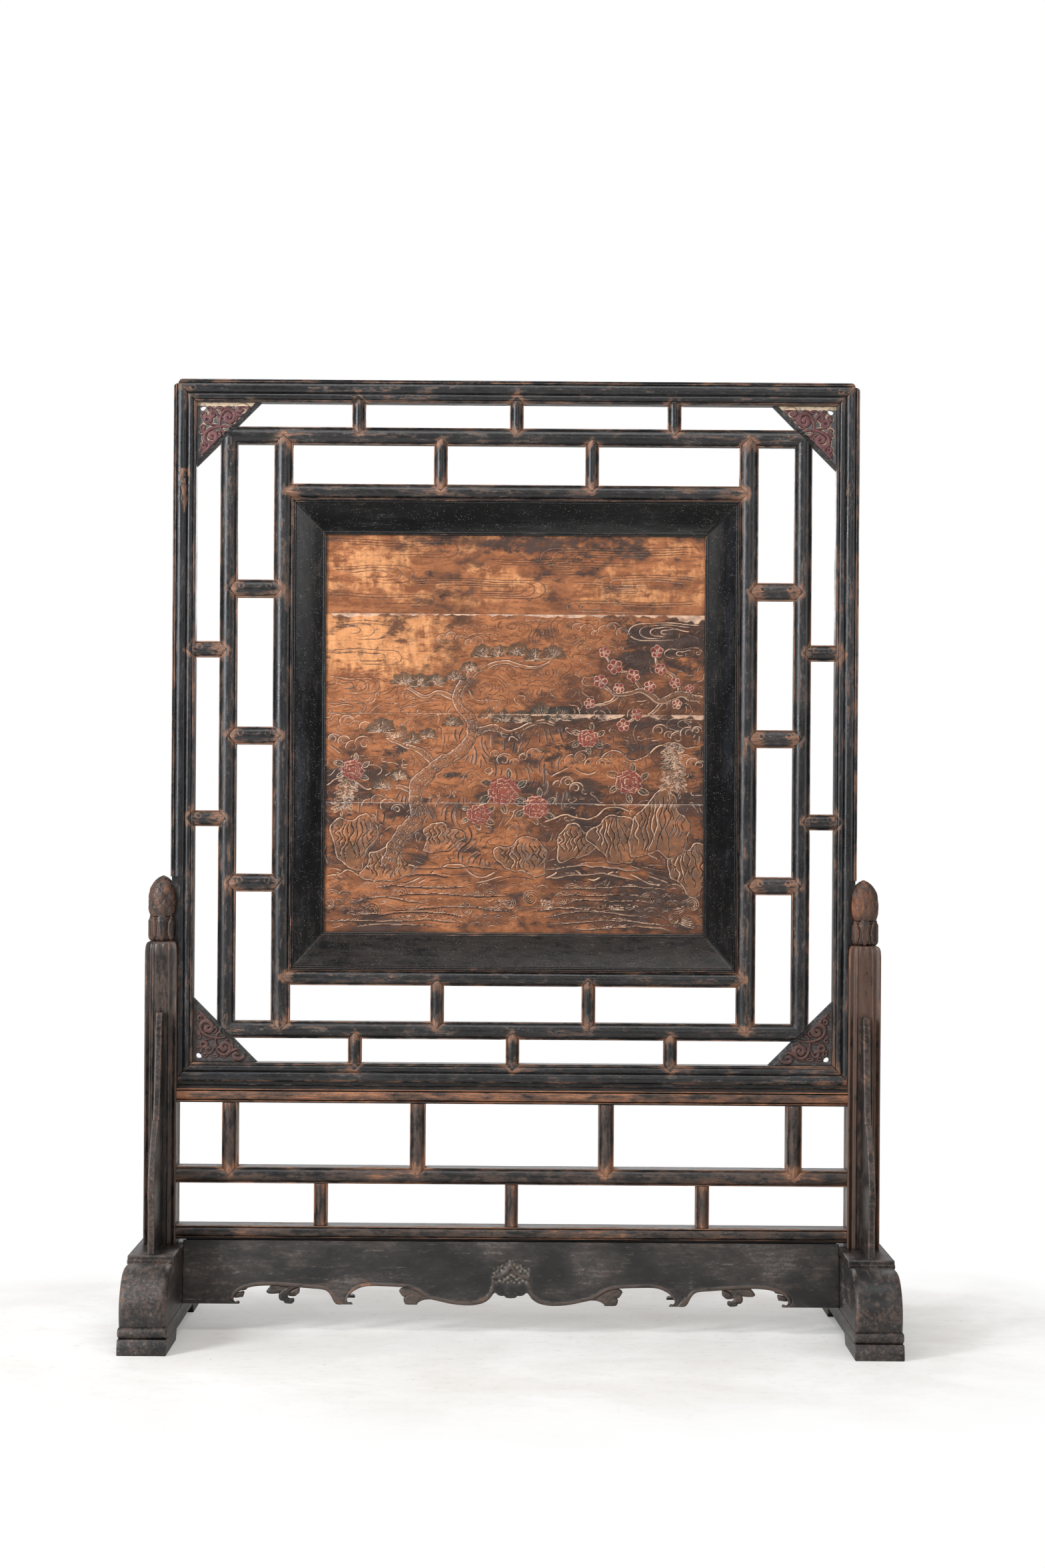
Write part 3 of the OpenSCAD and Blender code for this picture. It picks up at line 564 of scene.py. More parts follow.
def panel_wood(name):
    m = NT(name)
    gc = m.attr("gc", True)
    clean, cav, brown, lift = m.attr("wear"), m.attr("cav"), m.attr("tone"), m.attr("lift")
    pale, dark, red, green, front = (m.attr(k) for k in ("pale", "dark", "red", "green", "isfront"))
    grain = m.wide(m.vmath("MULTIPLY", gc, (1.0, 16.0, 16.0)), 9.0, 6.0, 0.68, 0.8)
    S = m.wide(m.vmath("MULTIPLY", gc, (1.0, 5.0, 5.0)), 14.0, 6.0, 0.66, 0.8)
    blot = m.wide(m.vmath("MULTIPLY", gc, (1.0, 1.6, 1.0)), 13.0, 5.0, 0.62, 0.7)
    cloud = m.wide(gc, 40.0, 5.0, 0.68, 0.6)
    mott = m.wide(m.vmath("MULTIPLY", gc, (1.0, 1.8, 1.0)), 130.0, 4.0, 0.7, 0.4)
    fine = m.wide(gc, 420.0, 3.0, 0.7, 0.0)
    drip = m.wide(m.vmath("MULTIPLY", gc, (4.5, 1.0, 1.0)), 16.0, 5.0, 0.62, 0.5)
    c = m.mix(m.mr(m.total(0.5, (S, 0.7), (cloud, 0.5), (mott, 0.3)), 0.1, 0.9), lin(122, 73, 45), lin(174, 110, 69))
    cl = m.total(clean, (cloud, 0.5), (blot, 0.5), (S, 0.35), (drip, 0.25))
    c = m.mix(m.mr(cl, 0.30, 0.95), c, m.mix(m.mr(m.total(0.5, (drip, 0.7), (mott, 0.25)), 0.2, 0.85), lin(198, 134, 86), lin(220, 156, 104)))
    b = m.total(brown, (blot, 0.75), (S, 0.55), (mott, 0.35), (cloud, 0.45))
    c = m.mix(m.math("MULTIPLY", m.mr(b, 0.24, 1.0), 0.94), c, m.mix(cloud, lin(58, 37, 27), lin(94, 57, 39)))
    c = m.mix(m.math("MULTIPLY", m.mr(grain, 0.66, 0.98), 0.18), c, lin(84, 52, 38))
    c = m.mix(m.math("MULTIPLY", m.mr(m.total(0.5, (mott, 0.7), (cloud, 0.5)), 0.75, 1.1), 0.4), c, lin(216, 160, 116))
    c = m.mix(m.math("MULTIPLY", m.mr(cav, 0.08, 0.6), 0.55), c, lin(60, 40, 32))
    # the dark attribute holds real dark patches of old lacquer and painted shade beside the carved cuts
    d = m.total(dark, (cloud, 0.30), (S, 0.28), (mott, 0.30))
    dcol = m.mix(m.mr(m.total(0.5, (blot, 0.6), (fine, 0.3)), 0.2, 0.8), lin(34, 27, 26), lin(70, 55, 50))
    dm = m.mr(d, 0.18, 0.85)
    c = m.mix(m.math("MULTIPLY", dm, 0.88), c, dcol)
    gm = m.total(green, (cloud, 0.35), (mott, 0.35))
    c = m.mix(m.math("MULTIPLY", m.mr(gm, 0.24, 0.64), 0.76), c, m.mix(fine, lin(29, 36, 33), lin(52, 54, 44)))
    rm = m.total(red, (cloud, 0.40), (mott, 0.40))
    c = m.mix(m.math("MULTIPLY", m.mr(rm, 0.24, 0.68), 0.84), c, m.mix(blot, lin(98, 32, 32), lin(138, 52, 47)))
    pm = m.math("MULTIPLY", m.total(pale, (fine, 0.16), (mott, 0.22)), m.mr(pale, 0.03, 0.16))
    c = m.mix(m.math("MULTIPLY", m.mr(pm, 0.10, 0.80), 0.84), c, m.mix(m.mr(cloud, 0.3, 0.7), lin(218, 178, 148), lin(188, 156, 136)))
    c = m.mix(m.math("MULTIPLY", m.mr(lift, 0.15, 0.9), 0.16), c, lin(196, 140, 98))
    back = m.mix(S, lin(98, 68, 48), lin(136, 98, 68))
    back = m.mix(m.math("MULTIPLY", m.mr(grain, 0.5, 0.9), 0.5), back, lin(66, 46, 34))
    c = m.mix(front, back, c)
    r = m.total(0.42, (S, 0.14), (mott, 0.12), (cloud, 0.08))
    r = m.math("SUBTRACT", r, m.math("MULTIPLY", dm, 0.08), clamp=True)
    h = m.total(0.5, (grain, 0.16), (fine, 0.12), (mott, 0.30), (cloud, 0.5))
    h = m.math("ADD", h, m.math("MULTIPLY", dm, 0.3))
    return m.finish(c, r, m.bump(h, 0.5, 0.0008), spec=0.35)


def corner_paint(name, scroll, scroll2, ground, ground2, cream, cream_amt):
    m = NT(name)
    gc = m.attr("gc", True)
    lift, wear, cav, black = m.attr("lift"), m.attr("wear"), m.attr("cav"), m.attr("tone")
    n = m.noise(gc, 60.0, 5.0, 0.65, 0.3)
    nf = m.noise(gc, 380.0, 4.0, 0.7)
    st = m.noise(m.vmath("MULTIPLY", gc, (1.0, 5.0, 5.0)), 60.0, 4.0, 0.65)
    g = m.mix(m.mr(n, 0.35, 0.68), lin(*ground), lin(*ground2))
    g = m.mix(m.math("MULTIPLY", m.mr(st, 0.55, 0.75), 0.4), g, lin(150, 146, 142))
    s = m.mix(m.mr(n, 0.35, 0.68), lin(*scroll), lin(*scroll2))
    s = m.mix(m.math("MULTIPLY", m.mr(nf, 0.55, 0.75), 0.35), s, lin(160, 120, 108))
    c = m.mix(m.mr(lift, 0.45, 0.75), g, s)
    w = m.math("ADD", wear, m.math("MULTIPLY", m.math("SUBTRACT", nf, 0.5), 0.7))
    w = m.math("ADD", w, m.math("MULTIPLY", m.math("SUBTRACT", n, 0.5), 0.6))
    c = m.mix(m.math("MULTIPLY", m.mr(w, 0.25, 0.75), cream_amt), c, lin(*cream))
    b = m.mix(m.mr(st, 0.4, 0.7), lin(38, 37, 39), lin(74, 70, 66))
    c = m.mix(m.mr(black, 0.4, 0.7), c, b)
    c = m.mix(m.math("MULTIPLY", cav, 0.85, clamp=True), c, lin(22, 18, 17))
    return m.finish(c, m.math("ADD", 0.45, m.math("MULTIPLY", m.math("SUBTRACT", nf, 0.5), 0.3)), m.bump(m.math("ADD", nf, n), 0.4, 0.0005), spec=0.4)


def bare_wood(name, a, b, dark):
    m = NT(name)
    gc = m.attr("gc", True)
    wear, cav = m.attr("wear"), m.attr("cav")
    g1 = m.noise(m.vmath("MULTIPLY", gc, (1.0, 24.0, 24.0)), 9.0, 6.0, 0.7, 0.5)
    g2 = m.noise(m.vmath("MULTIPLY", gc, (1.0, 6.0, 6.0)), 20.0, 5.0, 0.65, 0.4)
    nf = m.noise(gc, 300.0, 3.0, 0.7)
    c = m.mix(m.mr(g2, 0.3, 0.7), lin(*a), lin(*b))
    c = m.mix(m.math("MULTIPLY", m.mr(g1, 0.5, 0.75), 0.6), c, lin(*dark))
    c = m.mix(m.math("MULTIPLY", wear, 0.4, clamp=True), c, lin(178, 140, 104))
    c = m.mix(m.math("MULTIPLY", cav, 0.6, clamp=True), c, lin(30, 22, 18))
    return m.finish(c, m.math("ADD", 0.6, m.math("MULTIPLY", m.math("SUBTRACT", nf, 0.5), 0.3)), m.bump(m.math("ADD", g1, nf), 0.6, 0.0006), spec=0.3)


M_PANEL = panel_wood("panel_wood")
M_CORNER = corner_paint("corner_paint", (84, 50, 52), (110, 70, 70), (88, 87, 88), (62, 61, 63), (214, 188, 158), 0.85)
M_CORNER_WORN = corner_paint("corner_paint_worn", (66, 47, 44), (92, 62, 54), (68, 62, 60), (50, 45, 43), (196, 168, 140), 0.45)
M_BATTEN = bare_wood("batten_wood", (104, 74, 52), (132, 96, 68), (66, 46, 34))
M_APRON = lacquer("apron_lacquer", base=(25, 23, 22), base2=(58, 52, 49), brown=(82, 67, 58), wear=-0.17, dust=0.50, brown_amt=0.55, rough=0.46, wood=(150, 112, 84), streak=1.15, pale_lift=True, calm=0.55, speck=0.15)
M_RAIL2 = lacquer("rail_lacquer_dark", base=(14, 13, 13), base2=(38, 34, 32), brown=(74, 57, 48), red=(112, 76, 57), wear=-0.02, dust=0.36, brown_amt=0.6, rough=0.40, wood=(158, 110, 80))
M_POST_R = lacquer("post_lacquer_right", base=(24, 19, 17), base2=(54, 41, 34), brown=(84, 60, 47), red=(100, 68, 52), wear=-0.02, dust=0.30, brown_amt=0.85, rough=0.40, wood=(134, 92, 68))
# ------------------------------------------------------------------ dimensions shared with the frame, in mm
HW, TOP, SEAT = 706.0, 1952.0, 499.5
INX, INT, INB = 659.0, 1905.0, 546.5
MID = (INT + INB) / 2
LX, LT, LB = 609.5, 1855.5, 596.0
NX, NTZ, NBZ = 499.0, 1739.0, 706.0
PX, PT, PB = 460.0, 1707.0, 738.0
OX, OT, OB = 390.0, 1634.0, 816.0
LEG = 134.0
STEPZ = 928.0
OUT_COLS, IN_COLS = (-325.0, 0.0, 325.0), (-156.0, 156.0)
OUT_ROWS, IN_ROWS = (1396.5, 1048.0), (1522.0, 1219.0, 916.0)
SW, SD, LW, LD, IW = 28.0, 34.0, 36.0, 36.0, 39.0
NW, RW, QW = 32.0, 33.0, 37.0
X, Y, Z = AX["x"], AX["y"], AX["z"]


# ------------------------------------------------------------------ flat carved pieces

def spline(pts, n=8, closed=False):
    """A Catmull-Rom curve through the points."""
    P = np.asarray(pts, float)
    m = len(P)
    out = []
    rng = range(m if closed else m - 1)
    for i in rng:
        p0 = P[(i - 1) % m] if closed or i > 0 else 2 * P[0] - P[1]
        p1, p2 = P[i], P[(i + 1) % m]
        p3 = P[(i + 2) % m] if closed or i + 2 < m else 2 * P[-1] - P[-2]
        t = (np.arange(n) / n)[:, None]
        out.append(0.5 * (2 * p1 + (p2 - p0) * t + (2 * p0 - 5 * p1 + 4 * p2 - p3) * t ** 2 + (3 * p1 - p0 - 3 * p2 + p3) * t ** 3))
    if not closed:
        out.append(P[-1:])
    return np.concatenate(out)


def seg_dist(P, A, B, chunk=3000):
    """Distance from points to the nearest of the segments A-B, with which segment and where along it."""
    D = B - A
    L2 = np.maximum((D * D).sum(1), 1e-12)
    best = np.empty(len(P))
    idx = np.empty(len(P), int)
    tt = np.empty(len(P))
    for i in range(0, len(P), chunk):
        q = P[i:i + chunk]
        w = q[:, None, :] - A[None]
        t = np.clip((w * D[None]).sum(-1) / L2, 0, 1)
        d = np.linalg.norm(w - t[..., None] * D[None], axis=-1)
        k = d.argmin(1)
        r = np.arange(len(q))
        best[i:i + chunk], idx[i:i + chunk], tt[i:i + chunk] = d[r, k], k, t[r, k]
    return best, idx, tt


def inside(P, poly):
    x, y = P[:, 0], P[:, 1]
    c = np.zeros(len(P), bool)
    a, b = poly, np.roll(poly, -1, 0)
    for (x0, y0), (x1, y1) in zip(a, b):
        if y0 == y1:
            continue
        hit = ((y0 > y) != (y1 > y)) & (x < (x1 - x0) * (y - y0) / (y1 - y0) + x0)
        c ^= hit
    return c


def ccw(P):
    a = 0.5 * np.sum(P[:, 0] * np.roll(P[:, 1], -1) - np.roll(P[:, 0], -1) * P[:, 1])
    return P if a > 0 else P[::-1]


CACHE = {}


class Flat:
    """Triangles that fill a closed outline, with rows of points that follow its edge. Distances to the edge are in .d."""

    def __init__(self, outline, step, rings=(), holes=(), seed=5, edge_step=None):
        es = edge_step or step
        loops = [resample(ccw(np.asarray(outline, float)), es)] + [resample(ccw(np.asarray(h, float))[::-1], es * 0.7) for h in holes]
        A = np.concatenate(loops)
        B = np.concatenate([np.roll(l, -1, 0) for l in loops])
        pts = []
        for k, d in enumerate(rings):
            for l in loops:
                T = np.roll(l, -1, 0) - np.roll(l, 1, 0)
                T /= np.maximum(np.linalg.norm(T, axis=1), 1e-9)[:, None]
                q = l + np.stack([-T[:, 1], T[:, 0]], 1) * d
                dist, _, _ = seg_dist(q, A, B)
                pts.append(q[dist > 0.95 * d])
        lo, hi = A.min(0), A.max(0)
        g = np.stack(np.meshgrid(np.arange(lo[0], hi[0], step), np.arange(lo[1], hi[1], step * 0.92), indexing="ij"), -1)
        g[:, ::2, 0] += step / 2
        g = g.reshape(-1, 2)
        r = np.random.default_rng(seed)
        g = g + r.uniform(-0.12, 0.12, g.shape) * step
        ok = inside(g, loops[0])
        for h in loops[1:]:
            ok &= ~inside(g, h)
        g = g[ok]
        dist, _, _ = seg_dist(g, A, B)
        pts.append(g[dist > (max(rings) if len(rings) else 0) + 0.6 * step])
        q = np.concatenate(pts)
        cell = np.floor(q / (0.5 * es)).astype(int)
        _, first = np.unique(cell[:, 0] * 1000003 + cell[:, 1], return_index=True)
        q = q[np.sort(first)]
        allp = np.concatenate([A, q])
        edges, n0 = [], 0
        for l in loops:
            edges += [(n0 + i, n0 + (i + 1) % len(l)) for i in range(len(l))]
            n0 += len(l)
        vs, _, fs, _, _, _ = delaunay_2d_cdt([Vector(p) for p in allp.tolist()], edges, [], 0, 1e-6)
        V = np.array([(v[0], v[1]) for v in vs])
        T = np.array([f for f in fs if len(f) == 3], int)
        cen = V[T].mean(1)
        ok = inside(cen, loops[0])
        for h in loops[1:]:
            ok &= ~inside(cen, h)
        T = T[ok]
        used = np.unique(T)
        remap = -np.ones(len(V), int)
        remap[used] = np.arange(len(used))
        V, T = V[used], remap[T]
        a = V[T[:, 1]] - V[T[:, 0]]
        b = V[T[:, 2]] - V[T[:, 0]]
        flip = (a[:, 0] * b[:, 1] - a[:, 1] * b[:, 0]) < 0
        T[flip] = T[flip][:, ::-1]
        self.V, self.T = V, T
        self.d, _, _ = seg_dist(V, A, B)
        e = np.concatenate([T[:, [0, 1]], T[:, [1, 2]], T[:, [2, 0]]])
        key = e[:, 0] * 10 ** 7 + e[:, 1]
        rkey = e[:, 1] * 10 ** 7 + e[:, 0]
        self.edge = e[~np.isin(key, rkey)]

    def solid(self, acc, org, U, W, hf, hb, rows=2, attrs=None, back=None, side=None, gc=None):
        """Front at +hf and back at -hb along U x W. attrs and back are attributes for the two faces."""
        org, U, W = (np.asarray(q, float) for q in (org, U, W))
        N = np.cross(U, W)
        n = len(self.V)
        base = org + self.V[:, :1] * U + self.V[:, 1:] * W
        F, Bk = base + hf[:, None] * N, base - hb[:, None] * N
        b = np.unique(self.edge)
        pos = -np.ones(n, int)
        pos[b] = np.arange(len(b))
        mids = [F[b] * (1 - k / (rows + 1)) + Bk[b] * (k / (rows + 1)) for k in range(1, rows + 1)]
        V = np.concatenate([F, Bk] + mids)
        quads = []
        a0, a1 = self.edge[:, 0], self.edge[:, 1]
        prev = (a0, a1)
        for k in range(rows):
            o = 2 * n + k * len(b)
            cur = (o + pos[a0], o + pos[a1])
            quads.append(np.stack([prev[0], cur[0], cur[1], prev[1]], 1))
            prev = cur
        quads.append(np.stack([prev[0], a0 + n, a1 + n, prev[1]], 1))
        attrs = attrs or {}
        back = back if back is not None else attrs
        side = side or {}
        full = {}
        for k in FLOATS:
            fa = np.broadcast_to(np.asarray(attrs.get(k, 0.0), float), (n,))
            ba = np.broadcast_to(np.asarray(back.get(k, 0.0), float), (n,))
            sa = np.broadcast_to(np.asarray(side[k], float), (len(b),)) if k in side else fa[b]
            full[k] = np.concatenate([fa, ba] + [sa] * rows)
        if gc is None:
            g = np.concatenate([self.V, self.V] + [self.V[b]] * rows)
            dep = np.concatenate([hf, -hb] + [hf[b] * (1 - k / (rows + 1)) - hb[b] * (k / (rows + 1)) for k in range(1, rows + 1)])
            gcv = np.stack([g[:, 0], g[:, 1], dep], 1)
        else:
            gcv = gc(V)
        acc.add(V, [self.T, self.T[:, ::-1] + n, np.concatenate(quads)], gc=gcv, **full)


def polyline_field(P, strands, chunk=3000):
    """strands: (points (n,2), half widths (n,)). The nearest strand in units of its half width, its distance in mm, and which strand."""
    q = np.full(len(P), 9.0)
    dmm = np.full(len(P), 99.0)
    who = np.full(len(P), -1)
    side = np.zeros(len(P))
    for k, (pts, w) in enumerate(strands):
        w = np.broadcast_to(np.asarray(w, float), (len(pts),))
        lo, hi = pts.min(0) - w.max() * 2.2, pts.max(0) + w.max() * 2.2
        sel = np.nonzero((P[:, 0] > lo[0]) & (P[:, 0] < hi[0]) & (P[:, 1] > lo[1]) & (P[:, 1] < hi[1]))[0]
        if not len(sel):
            continue
        d, i, t = seg_dist(P[sel], pts[:-1], pts[1:], chunk)
        ww = w[i] * (1 - t) + w[i + 1] * t
        r = d / np.maximum(ww, 0.2)
        tan = pts[i + 1] - pts[i]
        rel = P[sel] - pts[i]
        sd = np.sign(tan[:, 0] * rel[:, 1] - tan[:, 1] * rel[:, 0])
        better = r < q[sel]
        s2 = sel[better]
        q[s2], dmm[s2], who[s2], side[s2] = r[better], d[better], k, sd[better]
    return q, dmm, who, side


# ------------------------------------------------------------------ carved corner boards
CB_S = 0.1836      # mm to one step of the drawing grid


def cb(*pts):
    return [((x - 335) * CB_S, -(y - 365) * CB_S) for x, y in pts]


CORNER_STRANDS = [
    (cb((742, 668), (690, 645), (630, 632), (560, 640), (480, 668), (428, 715), (420, 775), (452, 818), (510, 818), (548, 778), (545, 730), (512, 708), (482, 722), (484, 756), (512, 766)), (1.5, 4.6), 1.0),
    (cb((588, 628), (592, 560), (612, 495), (655, 452), (712, 448), (752, 492), (750, 548), (712, 580), (668, 568), (655, 530), (680, 502), (708, 516), (704, 540)), (2.2, 4.6), 1.0),
    (cb((745, 470), (782, 492), (832, 514), (880, 500), (912, 462), (902, 420), (858, 400), (812, 410), (796, 442), (818, 464), (846, 452)), (2.4, 4.0), 0.95),
    (cb((586, 610), (580, 555), (562, 500), (530, 462), (498, 470), (486, 502), (510, 524), (534, 508)), (1.3, 3.2), 0.8),
    (cb((560, 622), (505, 616), (450, 600), (420, 566), (432, 536), (466, 530), (490, 552), (482, 582), (452, 582)), (1.3, 3.4), 0.85),
    (cb((770, 560), (782, 520), (770, 488)), (3.6, 1.6), 0.75),
    (cb((470, 808), (476, 850), (450, 900), (400, 935)), (2.0, 4.2), 0.95),
    (cb((462, 830), (500, 838), (520, 862), (500, 880), (480, 862)), (1.4, 3.0), 0.8),
    (cb((440, 850), (405, 830), (392, 856), (412, 880), (432, 866)), (1.3, 2.8), 0.8),
    (cb((600, 655), (618, 690), (660, 698), (705, 690), (740, 705)), (2.0, 2.0), 0.85),
    (cb((640, 712), (668, 760), (705, 782), (735, 755), (722, 718), (682, 716)), (2.2, 2.4), 0.8),
    (cb((700, 690), (676, 730), (690, 760)), (1.6, 1.6), 0.7),
    (cb((395, 495), (405, 475), (430, 482), (432, 515), (402, 532), (385, 512)), (1.6, 1.9), 0.6),
    (cb((450, 428), (480, 420), (500, 440), (480, 458), (458, 446)), (1.6, 1.8), 0.55),
    (cb((545, 430), (580, 418), (620, 428), (606, 446), (580, 440)), (1.6, 1.8), 0.55),
    (cb((650, 425), (690, 414), (720, 428)), (1.5, 1.7), 0.5),
    (cb((382, 640), (402, 622), (424, 640), (412, 668), (390, 660)), (1.5, 1.8), 0.6),
    (cb((376, 700), (396, 690), (410, 712), (392, 730)), (1.4, 1.7), 0.55),
    (cb((380, 900), (392, 925), (384, 948)), (1.6, 1.6), 0.5),
    (cb((640, 560), (628, 530), (612, 520), (600, 536), (612, 552)), (1.2, 2.0), 0.7),
    (cb((700, 610), (742, 622), (776, 606), (782, 578), (760, 566), (744, 584)), (1.6, 2.2), 0.75),
    (cb((560, 690), (596, 706), (604, 736), (584, 752), (566, 738)), (1.4, 2.2), 0.75),
    (cb((846, 520), (852, 552), (836, 572)), (2.0, 1.4), 0.7),
    (cb((420, 690), (396, 676), (378, 690)), (1.3, 1.6), 0.6),
    (cb((470, 900), (500, 896), (506, 874)), (1.6, 1.6), 0.6),
]


def corner_board(name, sx, top, worn):
    leg = LEG
    o = [(0.5, -0.5), (leg - 1.2, -0.5), (0.5, -leg + 1.2)]
    hole_c = (12.0, -12.0)
    th = np.linspace(0, 2 * math.pi, 29)[:-1]
    wob = 1 + 0.10 * np.sin(th * 2 + 0.6) + 0.05 * np.sin(3 * th)
    hole = np.stack([hole_c[0] + 5.4 * wob * np.cos(th), hole_c[1] + 5.4 * wob * np.sin(th)], 1)
    fl = Flat(o, 1.08, (0.8, 1.8, 3.0), [hole], seed=hash_name(name) % 99, edge_step=1.4)
    P = fl.V
    strands = []
    for pts, (w0, w1), hgt in CORNER_STRANDS:
        c = spline(pts, 6)
        t = np.linspace(0, 1, len(c))
        w = w0 + (w1 - w0) * np.sin(np.clip(t * 1.15, 0, 1) * math.pi / 2) ** 1.2
        w = 1.22 * w * np.where(t > 0.85, 1 - 0.35 * (t - 0.85) / 0.15, 1)
        strands.append((c, w))
    q, dmm, who, side = polyline_field(P, strands)
    hs = np.array([s[2] for s in CORNER_STRANDS] + [0.0])
    hgt = hs[who]
    prof = np.sqrt(np.clip(1 - np.clip(q, 0, 1) ** 2.4, 0, 1))
    off = np.where(q > 0.02, dmm * (1 - 1 / np.maximum(q, 0.02)), -5.0)      # mm outside a scroll's edge
    on = sstep(0.45, -0.25, off)
    ground = 6.4 + 0.5 * (fbm(np.column_stack([P / 9.0, np.zeros(len(P))]), 3, 3) - 0.5)
    hyp = (P[:, 0] - P[:, 1] - leg) / -1.414         # distance from the slanting edge
    cham = sstep(10.5, 8.5, hyp)
    ground = ground - 2.6 * np.clip((10.0 - hyp) / 10.0, 0, 1)
    strip = sstep(9.0, 7.0, -P[:, 1])
    ground = ground + 0.9 * strip * (1 - cham)
    h = ground + on * prof * 4.1 * hgt * (1 - 0.6 * cham)
    h = np.minimum(h, 10.8)
    holew = np.exp(-np.clip(fl.d - 0.2, 0, None) / 1.5)
    rim = np.exp(-((off - 1.15) / 0.75) ** 2) * (0.35 + 1.1 * vnoise(np.column_stack([P / 7.0, np.full(len(P), 2.0)]), 14))
    cav = 0.85 * np.exp(-((off - 0.25) / 0.45) ** 2)
    cream = np.clip(strip * (1 - cham) * (0.6 + 0.6 * (vnoise(np.column_stack([P / 5, np.zeros(len(P))]), 4) - 0.3)) + 0.95 * rim * (hyp > 9), 0, 1)
    if worn > 0.5:
        cream *= 0.30
    edge = np.exp(-fl.d / 1.0) * 0.6
    attrs = dict(lift=on * (1 - cham), wear=cream, cav=cav, crk=0.0 * q, tone=cham)
    acc = Acc()
    U = X if sx < 0 else -X
    W = Z if top else -Z
    org = np.array([sx * INX, 0, INT if top else INB])
    hb = h.copy()
    if np.dot(np.cross(U, W), Y) > 0:                # the front is the -Y side
        V2 = fl.V
    fl.solid(acc, org, U, W, h, hb, rows=3, attrs=attrs, side=dict(lift=0.0, wear=0.2, cav=0.35, tone=1.0))
    # a tongue into the frame on both straight sides
    for (ax, o2, L) in ((X, (0, 0), leg - 14), (Z, (0, 0), leg - 14)):
        T = resample(np.array([[-5.0, -4.0], [1.5, -4.0], [1.5, 4.0], [-5.0, 4.0]]), 3)
        if ax is X:
            A, Ud = U, -W
        else:
            A, Ud = -W, U
        sweep(acc, T, np.linspace(0, 1, 5), org, A, Ud, Y, 2.0, L, wob=0.02, base=-0.3)
    make(name, acc, M_CORNER_WORN if worn > 0.5 else M_CORNER, "screen", [name], sharp=50)


# ------------------------------------------------------------------ mitred frame round the panel

def face_panel_frame(w):
    def h(u):
        b = 14.0 - (u - 8.0) * (6.0 / (w - 16.0)) - 1.3 * np.sin(np.clip((u - 8) / (w - 16), 0, 1) * math.pi)
        b = np.where(u < 8, 13.4, b)
        b = np.where(u > w - 8, 8.0, b)
        for q in (arc(u, 1.8, 1.8, 13.2, 15.8), arc(u, 5.4, 1.6, 13.2, 15.0), arc(u, w - 5.4, 1.7, 8.0, 9.6), arc(u, w - 2.0, 1.4, 7.4, 8.8)):
            b = np.maximum(b, q)
        return b
    return h


